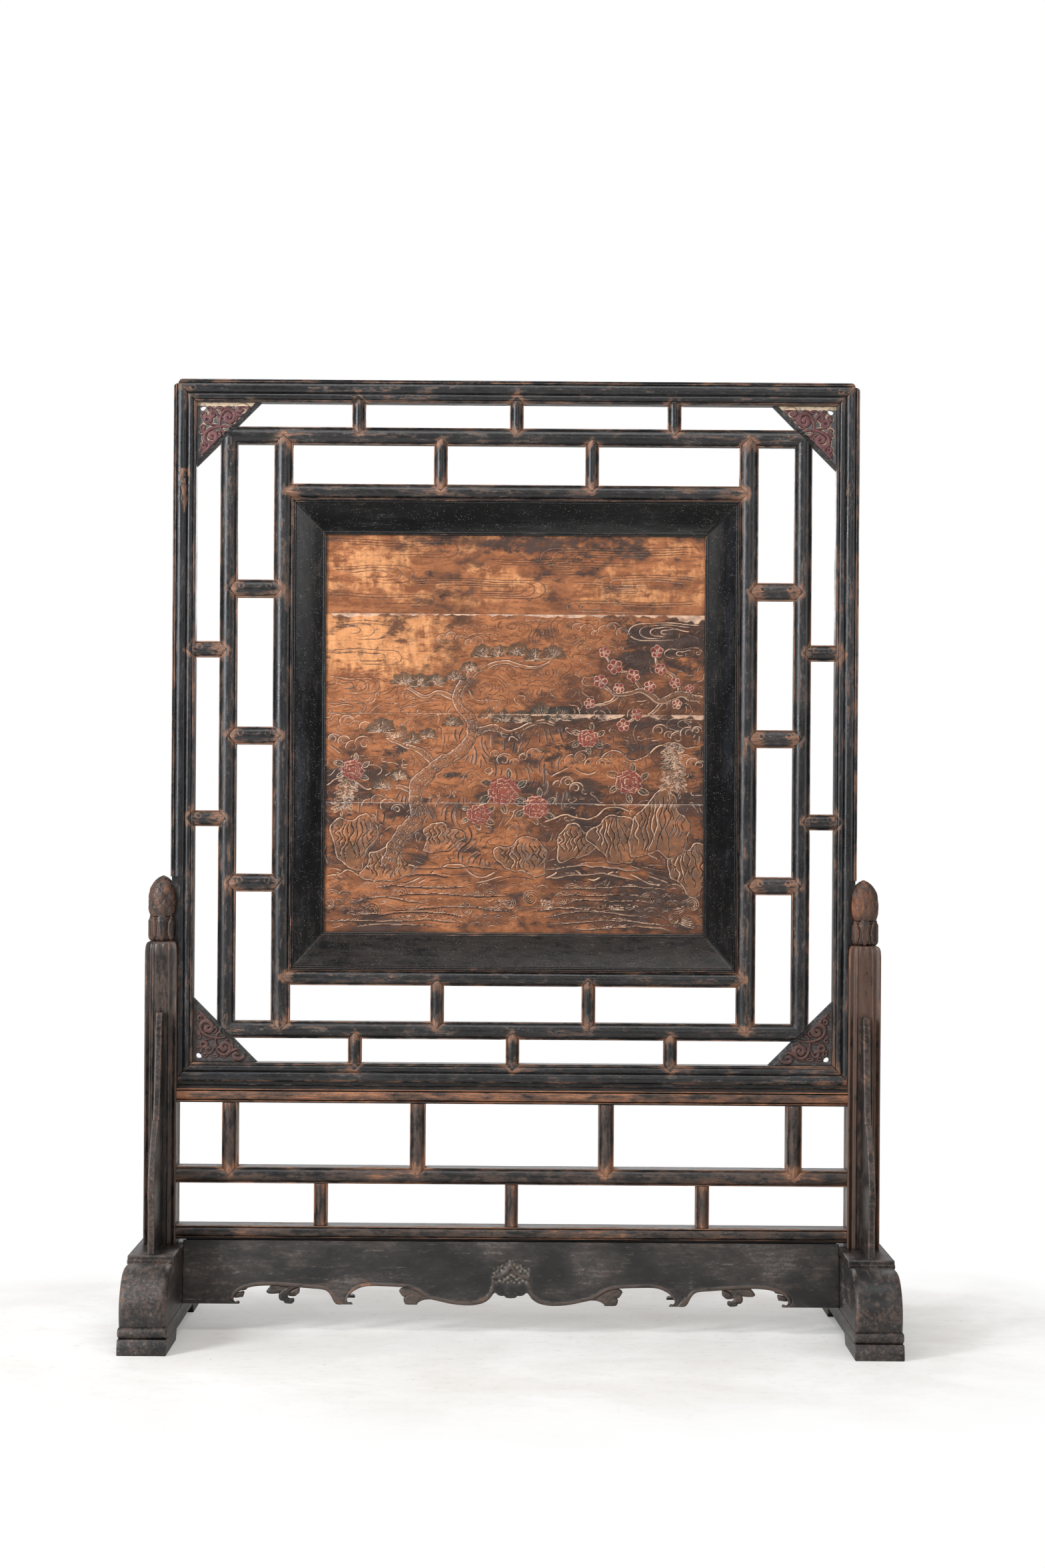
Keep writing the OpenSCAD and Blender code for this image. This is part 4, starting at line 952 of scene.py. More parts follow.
def panel_frame():
    # side: (name, axis, U toward the middle, edge, width)
    specs = [("panel_frame_left", Z, X, np.array([-PX, 0, 0]), 70.0), ("panel_frame_right", Z, -X, np.array([PX, 0, 0]), 70.0),
             ("panel_frame_top", X, -Z, np.array([0, 0, PT]), PT - OT), ("panel_frame_bottom", X, Z, np.array([0, 0, PB]), OB - PB)]
    for k, (name, A, U, org, w) in enumerate(specs):
        us = us_for(w, 3.2, [(1.8, 1.8), (3.6, 0.5), (5.4, 1.6), (7.4, 0.6), (w - 7.2, 0.5), (w - 5.4, 1.7), (w - 2.0, 1.4)], 0, w)
        f = face_panel_frame(w)
        # grooved along its inner edge for the boards
        back = np.linspace(w, 0, 9)[1:]
        P = np.concatenate([np.stack([us, -f(us)], 1), [[w, -6.0], [w, -4.0], [w - 4, -4.0], [w - 8, -4.0], [w - 8, 2.0], [w - 8, 8.0], [w - 4, 8.0], [w, 8.0], [w, 12.0]],
                            np.stack([back, np.full(8, 12.0)], 1), [[0.0, 4.0], [0.0, -5.0]]])
        u = P[:, 0]
        fr = np.clip(u / w, 0, 1)
        if A is Z:
            s0, s1 = PB + (OB - PB) * fr, PT - (PT - OT) * fr
        else:
            s1 = PX - (PX - OX) * fr
            s0 = -s1
        L = float((s1 - s0).max())

        def jf(s, uu, v, w=w, A=A, name=name):
            if A is Z:
                d = np.minimum(np.abs(s - (PB + (OB - PB) * uu / w)), np.abs((PT - (PT - OT) * uu / w) - s)) * 0.7
            else:
                d = np.abs(PX - (PX - OX) * uu / w - np.abs(s)) * 0.7
            q = np.stack([s, uu, v], 1)
            rag = fbm(q / 8.0, 31, 3)
            wear = 0.10 * np.exp(-(d / (2 + 8 * rag)) ** 2)
            # the bottom member is lightened with more wear: partly real rubbing, partly painted light from above
            if name.endswith("bottom"):
                wear = wear + 0.08
            return wear, np.exp(-(d / 0.45) ** 2) * 0.8
        t = stations(L, [10.0, w * 0.5, w, L - w, L - w * 0.5, L - 10.0], coarse=12, fine=3.0, reach=24)
        # painted light: the tone, which browns and lightens the lacquer, follows which way a member faces: most on the
        # upward-facing bottom, less on the sides, none on the downward-facing top
        tone = (lambda s, a, b, A=A, name=name: (0.5 if name.endswith("bottom") else (0.0 if A is X else 0.30)) + 0 * s)
        acc = Acc()
        sweep(acc, P, t, org, A, U, Y, s0, s1, jf=jf, wob=0.35, seed=131 + k, ew=0.9, tone=tone)
        # painted sheen: lift marks a bluish painted reflection over the outer half of the side members' bevel; it fades
        # out toward the bottom and is weaker near the top
        lf = np.zeros(len(acc.V[0]))
        if A is Z:
            V0 = acc.V[0]
            uu = np.abs(np.abs(V0[:, 0]) - PX)
            lf = (0.4 if name.endswith("left") else 0.35) * sstep(7, 14, uu) * sstep(38, 20, uu) * (V0[:, 1] < 0)
            lf = lf * sstep(PB + 40, PB + 300, V0[:, 2]) * (0.6 + 0.4 * sstep(PT, PT - 200, V0[:, 2]))
        acc.A["lift"][0] = lf
        make(name, acc, M_GLOSS_LOW_LIT if name.endswith("bottom") else M_GLOSS, "screen", [name])


# ------------------------------------------------------------------ stand rails and struts

def rail_section(w, d, h=9.2):
    us = us_for(w, 1.3, [(-w / 2 + 1.5, 1.5), (w / 2 - 1.5, 1.5), (-w / 2 + 3.0, 0.5), (w / 2 - 3.0, 0.5)])
    return loop_of(us, face_lattice(w, d / 2, d / 2 - h), side=9)


def face_rail_upper(u):
    # from the top (-u): a gap under the screen, a bead, the broad rubbed band, a bead and the lower fillet
    h = np.where(u < -12.0, 18.5, 22.5)
    for q in (arc(u, -9.9, 1.9, 24.0, 28.6), arc(u, 2.0, 9.2, 25.6, 30.0, 0.5), arc(u, 13.7, 1.7, 23.6, 27.4)):
        h = np.maximum(h, q)
    return h


def face_rail_lower(u):
    h = np.where(u > 10.2, 17.5, 22.0)
    for q in (arc(u, -13.2, 1.6, 23.0, 27.0), arc(u, -1.9, 9.2, 23.6, 30.0, 0.5), arc(u, 8.6, 1.5, 22.6, 26.6)):
        h = np.maximum(h, q)
    return h


def stand_rails():
    for name, z0, z1, got, base in (("stand_rail_upper", 464.5, 499.5, [(x, 1, 15.5) for x in (-580.5, -194, 194, 580.5)], 0.20),
                                    ("stand_rail_middle", 299.0, 332.5, [(x, -1, 15.5) for x in (-580.5, -194, 194, 580.5)], 0.06),
                                    ("stand_rail_lower", 182.5, 212.5, [], 0.02)):
        w = z1 - z0
        P = rail_section(w, 60.0)
        if name != "stand_rail_middle":
            up = name == "stand_rail_upper"
            cuts = ((-12.0, 0.5), (-9.9, 1.9), (-7.4, 0.5), (11.4, 0.5), (13.7, 1.7)) if up else ((-13.2, 1.6), (-11.3, 0.5), (7.1, 0.5), (8.6, 1.5), (10.2, 0.5))
            P = loop_of(us_for(w, 1.3, cuts), face_rail_upper if up else face_rail_lower, side=9)
        acc = Acc()
        vee = name == "stand_rail_middle"
        g = [(x, sd, hw, 1.0) for x, sd, hw in got] if vee else []
        jf0 = joint_fn(w, g, (), 17)

        def jf(s, uu, v, jf0=jf0, name=name):
            wr, c = jf0(s, uu, v)
            rag = fbm(np.stack([s, uu, v], 1) / 12.0, 8, 3)
            long = fbm(np.stack([s / 70.0, uu / 9.0, v / 30.0], 1), 18, 3)
            if name == "stand_rail_upper":
                wr = wr + np.where((uu > -6.0) & (uu < 10.0), 0.55 * (long - 0.42), -0.22) + 0.30 * np.exp(-((uu + 9.9) / 1.2) ** 2) * (0.4 + rag)
                # painted shadow: the recessed strip along the top, under the screen's bottom rail, is made near-black
                c = np.maximum(c, 0.8 * (uu < -12.0) * (np.abs(v) > 10))
                c = np.maximum(c, 0.5 * np.exp(-((uu + 7.5) / 0.7) ** 2) + 0.5 * np.exp(-((uu - 11.6) / 0.7) ** 2))
            elif name == "stand_rail_lower":
                wr = wr + 0.34 * np.exp(-((uu + 13.4) / 1.2) ** 2) * (0.3 + rag) + 0.3 * (long - 0.5)
                # painted shadow: the recessed fillet along the bottom, above the apron, is made near-black
                c = np.maximum(c, 0.85 * (uu > 10.2) * (np.abs(v) > 10))
                c = np.maximum(c, 0.5 * np.exp(-((uu + 11.4) / 0.7) ** 2) + 0.5 * np.exp(-((uu - 7.2) / 0.7) ** 2))
            else:
                wr = wr + 0.4 * (long - 0.5)
            wr = wr + 0.25 * np.exp(-((689.0 - np.abs(s)) / (6 + 22 * rag)) ** 2)
            return wr, c
        t = stations(1378.0, [x + 689 for x, _, _ in got] if vee else [2.0, 1376.0])
        sweep(acc, P, t, [0, 0, (z0 + z1) / 2], X, -Z, Y, -689.0, 689.0, jf=jf, seed=201 + int(z0), base=base, tone=0.25, wob=0.35)
        for s in (-1, 1):
            T = resample(np.array([[-(w / 2 - 6), -8.0], [w / 2 - 6, -8.0], [w / 2 - 6, 8.0], [-(w / 2 - 6), 8.0]]), 4)
            a, b = (688.0, 706.0 if z1 > 490 else 721.0)
            lo_, hi_ = (a, b) if s > 0 else (-b, -a)
            sweep(acc, T, np.array([0, 0.5, 1.0]), [0, 0, (z0 + z1) / 2], X, -Z, Y, lo_, hi_, wob=0.02)
        make(name, acc, M_RAIL if base > 0.1 else M_RAIL2, "stand", [name])
    for name, w, d, cols, a, b, vee in (("stand_struts_upper", 31.0, 60.0, (-580.5, -194, 194, 580.5), 332.5, 464.5, True),
                                        ("stand_struts_lower", 27.0, 52.0, (-393, 0, 393), 212.5, 299.0, False)):
        acc = Acc()
        P = rail_section(w, d, 8.4)
        for k, x in enumerate(cols):
            e = [(a, -1, w / 2, 1.2)] if vee else []
            jf0 = joint_fn(w, (), e, 19 + k)

            def jf(s, uu, v, jf0=jf0, a=a, b=b, vee=vee):
                wr, c = jf0(s, uu, v)
                rag = fbm(np.stack([s, uu, v], 1) / 8.0, 9, 3)
                for e2 in ((b,) if vee else (a, b)):
                    wr = wr + 0.3 * np.exp(-(np.abs(s - e2) / (3 + 14 * rag)) ** 2)
                    c = np.maximum(c, np.exp(-(np.abs(s - e2) / 0.7) ** 2))
                return wr, c
            lo_ = a - w / 2 if vee else a
            t = stations(b - lo_, [4.0, b - lo_ - 4.0], fine=1.8)
            sweep(acc, P, t, [x, 0, 0], Z, X, Y, lo_, b, jf=jf, seed=221 + k, base=0.04, tone=0.35)
        make(name, acc, M_RAIL2, "stand", [name])


# ------------------------------------------------------------------ posts and finials
PCX = 722.0


def face_post(hd):
    def h(u):
        a = np.abs(u)
        b = np.full_like(u, hd - 1.9)
        b = np.where(a < 13.0, hd - 1.7 + 0.5 * np.cos(np.clip(a / 13, 0, 1) * math.pi / 2), b)
        for q in (arc(a, 30.2, 2.75, hd - 3.6, hd - 0.1), arc(a, 16.6, 2.7, hd - 2.2, hd - 0.1)):
            b = np.maximum(b, q)
        fl = (a > 19.4) & (a < 27.4)
        b = np.where(fl, hd - 1.2 - 2.6 * np.sin(np.clip((a - 19.4) / 8.0, 0, 1) * math.pi), b)
        return b
    return h


def post(side):
    name = "post_" + ("left" if side < 0 else "right")
    us = us_for(66, 2.2, [(-30.2, 2.7), (-16.6, 2.7), (16.6, 2.7), (30.2, 2.7), (-23.4, 4.0), (23.4, 4.0)])
    f = face_post(35.0)
    fu = f(us)
    front = np.stack([us, -fu], 1)
    back = np.stack([us[::-1], fu[::-1]], 1)
    rs = np.linspace(-31.0, 31.0, 15)
    outer = np.stack([np.full(15, 33.0), rs], 1)
    g = 11.75
    inner = np.array([[-33, y] for y in (31.0, 25, 19, 14, g)] + [[-33 + k * 17 / 4, g] for k in range(1, 4)] + [[-16, g]] +
                     [[-16, y] for y in (6, 0, -6)] + [[-16, -g]] + [[-16 - k * 17 / 4, -g] for k in range(1, 4)] + [[-33, y] for y in (-g, -14, -19, -25, -31.0)])
    P = np.concatenate([front, outer, back, inner])
    acc = Acc()
    org = np.array([side * PCX, 0, 0])
    U = np.array([float(side), 0, 0])
    ztop, zc = 795.0, 777.0

    def scale(s, u, v):
        k = np.clip((s - zc) / (ztop - zc), 0, 1)
        e = 1 - np.sqrt(np.clip(1 - k * k, 0, 1))
        th = np.arctan2(v, u)
        rib = 0.9 * np.sin(k * math.pi) * np.cos(th * 14)
        fu_ = (1 - e * (1 - 25.0 / 33.0)) + rib / 33 * (k > 0)
        fv_ = (1 - e * (1 - 27.0 / 35.0)) + rib / 35 * (k > 0)
        nu, nv = u * np.minimum(fu_, 1), v * np.minimum(fv_, 1)
        ing = u < -15.0
        nv = np.where(ing & (np.abs(v) <= 11.8), v, nv)
        nv = np.where(ing & (np.abs(v) > 11.8), np.sign(v) * np.maximum(np.abs(nv), 11.8), nv)
        nu = np.where(ing & (np.abs(v) <= 11.8) & (u > -16.5), u, nu)
        return nu, nv

    def jf(s, uu, v):
        q = np.stack([s, uu, v], 1)
        rag = fbm(q / 14.0, 41, 3)
        top = np.clip((s - 770) / 25, 0, 1)
        wr = (0.10 if side < 0 else 0.22) * np.clip((s - 600) / 200, 0, 1) + 0.2 * top * rag
        c = 0.5 * np.exp(-((s - 795) / 2.0) ** 2) + 0.55 * np.exp(-((s - 174) / 1.5) ** 2)
        # darker remains of lacquer beside the upright spandrels
        near = np.exp(-((np.abs(uu) - 9) / 4.0) ** 2) * (s < 655) * (np.abs(v) > 30)
        return wr - 0.25 * near, np.maximum(c, 0.28 * near)
    L = ztop - 174.0
    t = stations(L, [L - 8.0], coarse=12, fine=1.7, reach=14, ends=5)
    sweep(acc, P, t, org, Z, U, Y, 174.0, ztop, jf=jf, seed=301 + side, scale=scale, wob=0.35,
          tone=lambda s, a, b: (0.35 if side < 0 else 0.6) + 0 * s)
    F = resample(np.array([[-32.7, -11.7], [-15.5, -11.7], [-15.5, 11.7], [-32.7, 11.7]]), 5)
    sweep(acc, F, stations(326.0, coarse=30), org, Z, U, Y, 174.2, 499.5, wob=0.05)
    T = resample(np.array([[-15.0, -20], [15.0, -20], [15.0, 20], [-15, 20]]), 8)
    sweep(acc, T, np.array([0, 0.5, 1.0]), org, Z, U, Y, 112.0, 175.0, wob=0.02)
    make(name, acc, M_POST if side < 0 else M_POST_R, "stand", [name])


def finial(side):
    name = "finial_" + ("left" if side < 0 else "right")
    zs = np.concatenate([np.linspace(795.0, 797.5, 3), np.linspace(798.2, 852, 44), np.linspace(853, 929.6, 66)])
    n_arc, n_g = 132, 18

    def base_r(z):
        pts = np.array([[795, 25.5], [799, 28.5], [806, 29.6], [820, 29.6], [836, 29.4], [842, 27.6], [846, 26.8], [852, 27.6], [862, 28.7], [880, 28.7], [892, 27.8], [904, 25.0], [913, 21.0], [920, 15.5], [926, 9.0], [929.6, 1.2]])
        return np.interp(z, pts[:, 0], pts[:, 1])
    Vs, att = [], {k: [] for k in ("wear", "cav", "crk", "tone", "lift")}
    rows = np.array([859.0, 872.0, 885.0, 897.5])
    for zi in zs:
        R0 = float(base_r(zi))
        # angle 0 is the front (-Y), growing toward +u
        gap = 11.8
        thg = math.asin(min(0.98, gap / max(R0 + 1.5, gap + 0.5))) if R0 > 16.5 else None
        full = thg is not None and math.sqrt(max(R0 * R0 - gap * gap, 0)) > 16.6
        if full:
            a0, a1 = -math.pi / 2 + thg, 1.5 * math.pi - thg
            th = np.linspace(a0, a1, n_arc)
        else:
            th = np.linspace(-math.pi / 2 + 0.02, 1.5 * math.pi - 0.02, n_arc + 0)
        ang = th
        ru, rv = np.sin(ang), -np.cos(ang)
        h = np.zeros(n_arc)
        wear = np.zeros(n_arc)
        cav = np.zeros(n_arc)
        lift = np.zeros(n_arc)
        rr = 29.0
        if zi < 846:
            # collar: a pointed tongue in the middle of each face and drooping leaves between
            for c0, kind in ((0, 0), (math.pi, 0), (math.pi / 4, 1), (3 * math.pi / 4, 1), (-math.pi / 4, 1), (5 * math.pi / 4, 1), (math.pi / 2, 0), (-math.pi / 2, 0)):
                dth = (ang - c0 + math.pi) % (2 * math.pi) - math.pi
                x = dth * rr
                zz = (zi - 797) / 48.0
                if kind == 0:
                    wv = 10.5 * (0.30 + 0.85 * np.clip(zz, 0, 1) ** 0.75) - 3.0 * np.clip(zz - 0.8, 0, 1) / 0.2
                    wv = wv * (1 + 0.14 * math.sin(zz * 9.0))
                    top_h = 1.7
                else:
                    wv = 10.0 * math.sqrt(max(0.02, math.sin(min(1, max(0.02, (zz + 0.02) / 1.0)) * math.pi)))
                    top_h = 2.2
                q = np.abs(x) / max(wv, 0.6)
                m = q < 1
                prof = np.sqrt(np.clip(1 - q ** 2.6, 0, 1))
                vein = 0.45 * np.cos(x * 1.25 + (0.55 if kind else 0.8) * np.abs(x) * 0 + zi * 0.45 * np.sign(x)) * (np.abs(x) > 1.0) * (side > 0)
                mid = -0.7 * np.exp(-(x / 0.9) ** 2)
                hh = -1.6 + (top_h + 1.6) * prof + (vein + mid) * prof
                h = np.where(m, np.maximum(h if kind == 1 else -9, hh), h)
                wear = np.where(m, wear + 0.62 * np.exp(-((1 - q) * wv / 1.5) ** 2) + 0.08, wear)
                cav = np.where(m, cav * 0.5, cav)
                lift = np.where(m, 1.0, lift)
                out = ~m & (q < 1.4)
                cav = np.where(out & (lift < 0.5), np.maximum(cav, 0.85), cav)
            h = np.where(lift < 0.5, -3.6, h)
            lip = math.exp(-((zi - 842.5) / 2.4) ** 2)
            h = h * (1 - lip) + (-0.4 + 1.4 * lip) * lip
        else:
            done = np.zeros(n_arc, bool)
            h = np.full(n_arc, -0.8)
            for k, zr in enumerate(rows):
                nper = 8 if k < 3 else 7
                step = 2 * math.pi / nper
                off = (k % 2) * 0.5 * step + (0.25 * step if side > 0 else 0)
                dth = (ang - off + step / 2) % step - step / 2
                Rl = float(base_r(min(zr + 4, 905)))
                x = dth * Rl
                y = zi - zr
                rad = 12.6 if k < 3 else 12.0
                if side < 0:
                    q = np.sqrt((x / (rad * 0.98)) ** 2 + (y / (rad * 1.02)) ** 2)
                    dome = 1 - q ** 2
                else:
                    q = (np.abs(x / (rad * 1.02)) ** 1.35 + abs(y / (rad * 1.12)) ** 1.35) ** (1 / 1.35)
                    dome = 1 - q
                m = (q < 1) & ~done & (y > -rad)
                tilt = 1.0 * np.clip((y + rad) / (2 * rad), 0, 1)
                hh = 0.2 + 1.5 * tilt + (1.5 if side < 0 else 2.0) * dome
                rim = np.exp(-((1 - q) * rad / 1.1) ** 2)
                if side < 0:
                    hh = hh - 0.9 * np.exp(-((1 - q) * rad - 2.4) ** 2 / 0.8)
                h = np.where(m, hh, h)
                wear = np.where(m, 0.12 + 0.30 * dome + 0.42 * rim, wear)
                cav = np.where(m, 0.75 * np.exp(-((1 - q) * rad / 1.0 - 2.2) ** 2 / 1.0) * (side < 0), cav)
                under = ~m & ~done & (q < 1.16) & (y > 0)
                cav = np.where(under, np.maximum(cav, 0.95), cav)
                lift = np.where(m, np.clip(dome, 0, 1), lift)
                done |= m
            top = ~done
            # smooth lobes that swirl together at the tip
            if zi > 896:
                sw = ang * 5 + (zi - 900) * 0.055 * 5
                lob = np.abs(np.cos(sw / 2))
                hh = -0.6 + 2.0 * lob ** 0.5 * min(1, base_r(zi) / 20)
                h = np.where(top, hh, h)
                cav = np.where(top, np.maximum(cav, 0.8 * np.clip(1 - lob * 4, 0, 1)), cav)
                wear = np.where(top, 0.06 + 0.35 * np.clip(lob * 2 - 1.2, 0, 1), wear)
        nz = fbm(np.stack([ang * 12, np.full(n_arc, zi / 3.0), np.full(n_arc, side * 3.0)], 1), 5, 2) - 0.5
        R = np.clip(R0 + h * min(1, R0 / 14) + 0.5 * nz, 0.4, 31.0)
        u, v = ru * R, rv * R
        in_g = (u < -15.9) & (np.abs(v) < gap)
        u = np.where(in_g, -15.9, u)
        near = (u < -16.0) & (np.abs(v) < gap + 0.01)
        v = np.where(near, np.sign(v) * gap, v)
        ring = np.stack([u, v], 1)
        # the wall of the groove, from the last arc point back to the first
        p1, p0 = ring[-1], ring[0]
        if full:
            u1, u0 = min(p1[0], -16.2), min(p0[0], -16.2)
            ring[-1] = (u1, -gap if p1[1] < 0 else gap)
            ring[0] = (u0, -gap if p0[1] < 0 else gap)
            s1, s0 = np.sign(ring[-1][1]), np.sign(ring[0][1])
            wall = [(u1 + (-16 - u1) * k / 5, s1 * gap) for k in range(1, 6)] + [(-16, s1 * gap * (1 - 2 * k / 7)) for k in range(1, 7)] + [(-16 + (u0 + 16) * k / 6, s0 * gap) for k in range(0, 6)]
        else:
            wall = [tuple(p1 + (p0 - p1) * k / 18) for k in range(1, 18)]
        wall = np.array(wall)[:17]
        ring = np.concatenate([ring, wall])
        Vs.append(np.column_stack([ring, np.full(len(ring), zi)]))
        for k, a in (("wear", wear), ("cav", cav), ("lift", lift)):
            att[k].append(np.concatenate([a, np.zeros(len(wall))]))
    n = len(Vs[0])
    m = len(Vs)
    V = np.concatenate(Vs)
    idx = np.arange(n * m).reshape(m, n)
    nx = np.roll(idx, -1, 1)
    quads = np.stack([idx[:-1], nx[:-1], nx[1:], idx[1:]], -1).reshape(-1, 4)
    # ring runs counter-clockwise seen from above when u is +x
    cap0, cap1 = idx[0][::-1][None, :], idx[-1][None, :]
    W3 = np.stack([side * PCX + side * V[:, 0], V[:, 1], V[:, 2]], 1)
    area = np.sum(V[:n, 0] * np.roll(V[:n, 1], -1) - np.roll(V[:n, 0], -1) * V[:n, 1])
    if (area < 0) != (side < 0):
        quads, cap0, cap1 = quads[:, ::-1], cap0[:, ::-1], cap1[:, ::-1]
    acc = Acc()
    acc.add(W3, [quads, cap0, cap1], gc=np.stack([V[:, 2], V[:, 0], V[:, 1]], 1), wear=np.concatenate(att["wear"]), cav=np.concatenate(att["cav"]), lift=np.concatenate(att["lift"]), tone=0.5)
    T = resample(np.array([[2.0, -12.0], [22.0, -12.0], [22.0, 12.0], [2.0, 12.0]]), 6)
    sweep(acc, T, np.array([0, 0.5, 1.0]), [side * PCX, 0, 0], Z, [float(side), 0, 0], Y, 755.0, 795.5, wob=0.02)
    make(name, acc, M_FIN, "stand", [name], sharp=48)

# ------------------------------------------------------------------ feet

def rounded_block(acc, P, A, U, W, org, a, b, r, seed=1, step=9.0, wob=0.3, tone=0.0, ew=1.0, jf=None, base=0.0):
    """The closed counter-clockwise outline P extruded from a to b, its end edges rounded by r."""
    A, U, W, org = (np.asarray(q, float) for q in (A, U, W, org))
    N = normals2(P)
    # the turning of the outline, which marks its outer corners for wear and its inner corners as hollows
    k = turning(P)
    s, ins = [], []
    for i in range(6):
        f = i / 5 * math.pi / 2
        s.append(a + r * (1 - math.cos(f)))
        ins.append(r * (1 - math.sin(f)))
    mid = np.arange(a + r + step, b - r - step / 2, step)
    s += list(mid)
    ins += [0.0] * len(mid)
    for i in range(5, -1, -1):
        f = i / 5 * math.pi / 2
        s.append(b - r * (1 - math.cos(f)))
        ins.append(r * (1 - math.sin(f)))
    s, ins = np.array(s), np.array(ins)
    n, m = len(P), len(s)
    q = np.empty((m, n, 3))
    q[..., 0] = s[:, None]
    q[..., 1:] = P[None] - N[None] * ins[:, None, None]
    q = q.reshape(-1, 3)
    d = (fbm(q / 34.0, seed, 3) - 0.5) * 2 * wob
    on = 1.0 - np.repeat(ins / max(r, 1e-6), n)
    Nn = np.tile(N, (m, 1))
    q2 = q.copy()
    q2[:, 1:] += Nn * (d * on)[:, None]
    V = org + q2[:, :1] * A + q2[:, 1:2] * U + q2[:, 2:] * W
    edge = np.tile(np.clip(k * 3.0, 0, 1), m)
    endw = np.repeat(np.exp(-((ins - r * 0.35) / (r * 0.35)) ** 2), n)
    rag = fbm(q / 10.0, seed + 3, 3)
    wear = np.maximum(edge, endw) * 0.5 * ew * (0.5 + rag) + base
    cav = np.tile(np.clip(-k * 2.0, 0, 1), m)
    crk = np.zeros(len(q))
    if jf is not None:
        w2, c2 = jf(q2[:, 0], q2[:, 1], q2[:, 2])
        wear = wear + w2
        crk = np.maximum(crk, c2)
    idx = np.arange(n * m).reshape(m, n)
    nx = np.roll(idx, -1, 1)
    quads = np.stack([idx[:-1], nx[:-1], nx[1:], idx[1:]], -1).reshape(-1, 4)
    c0, c1 = idx[0][::-1][None, :], idx[-1][None, :]
    if np.dot(np.cross(U, W), A) < 0:
        quads, c0, c1 = quads[:, ::-1], c0[:, ::-1], c1[:, ::-1]
    acc.add(V, [quads, c0, c1], gc=np.stack([q[:, 1], q[:, 0], q[:, 2]], 1), wear=wear, cav=cav, crk=crk, tone=tone)


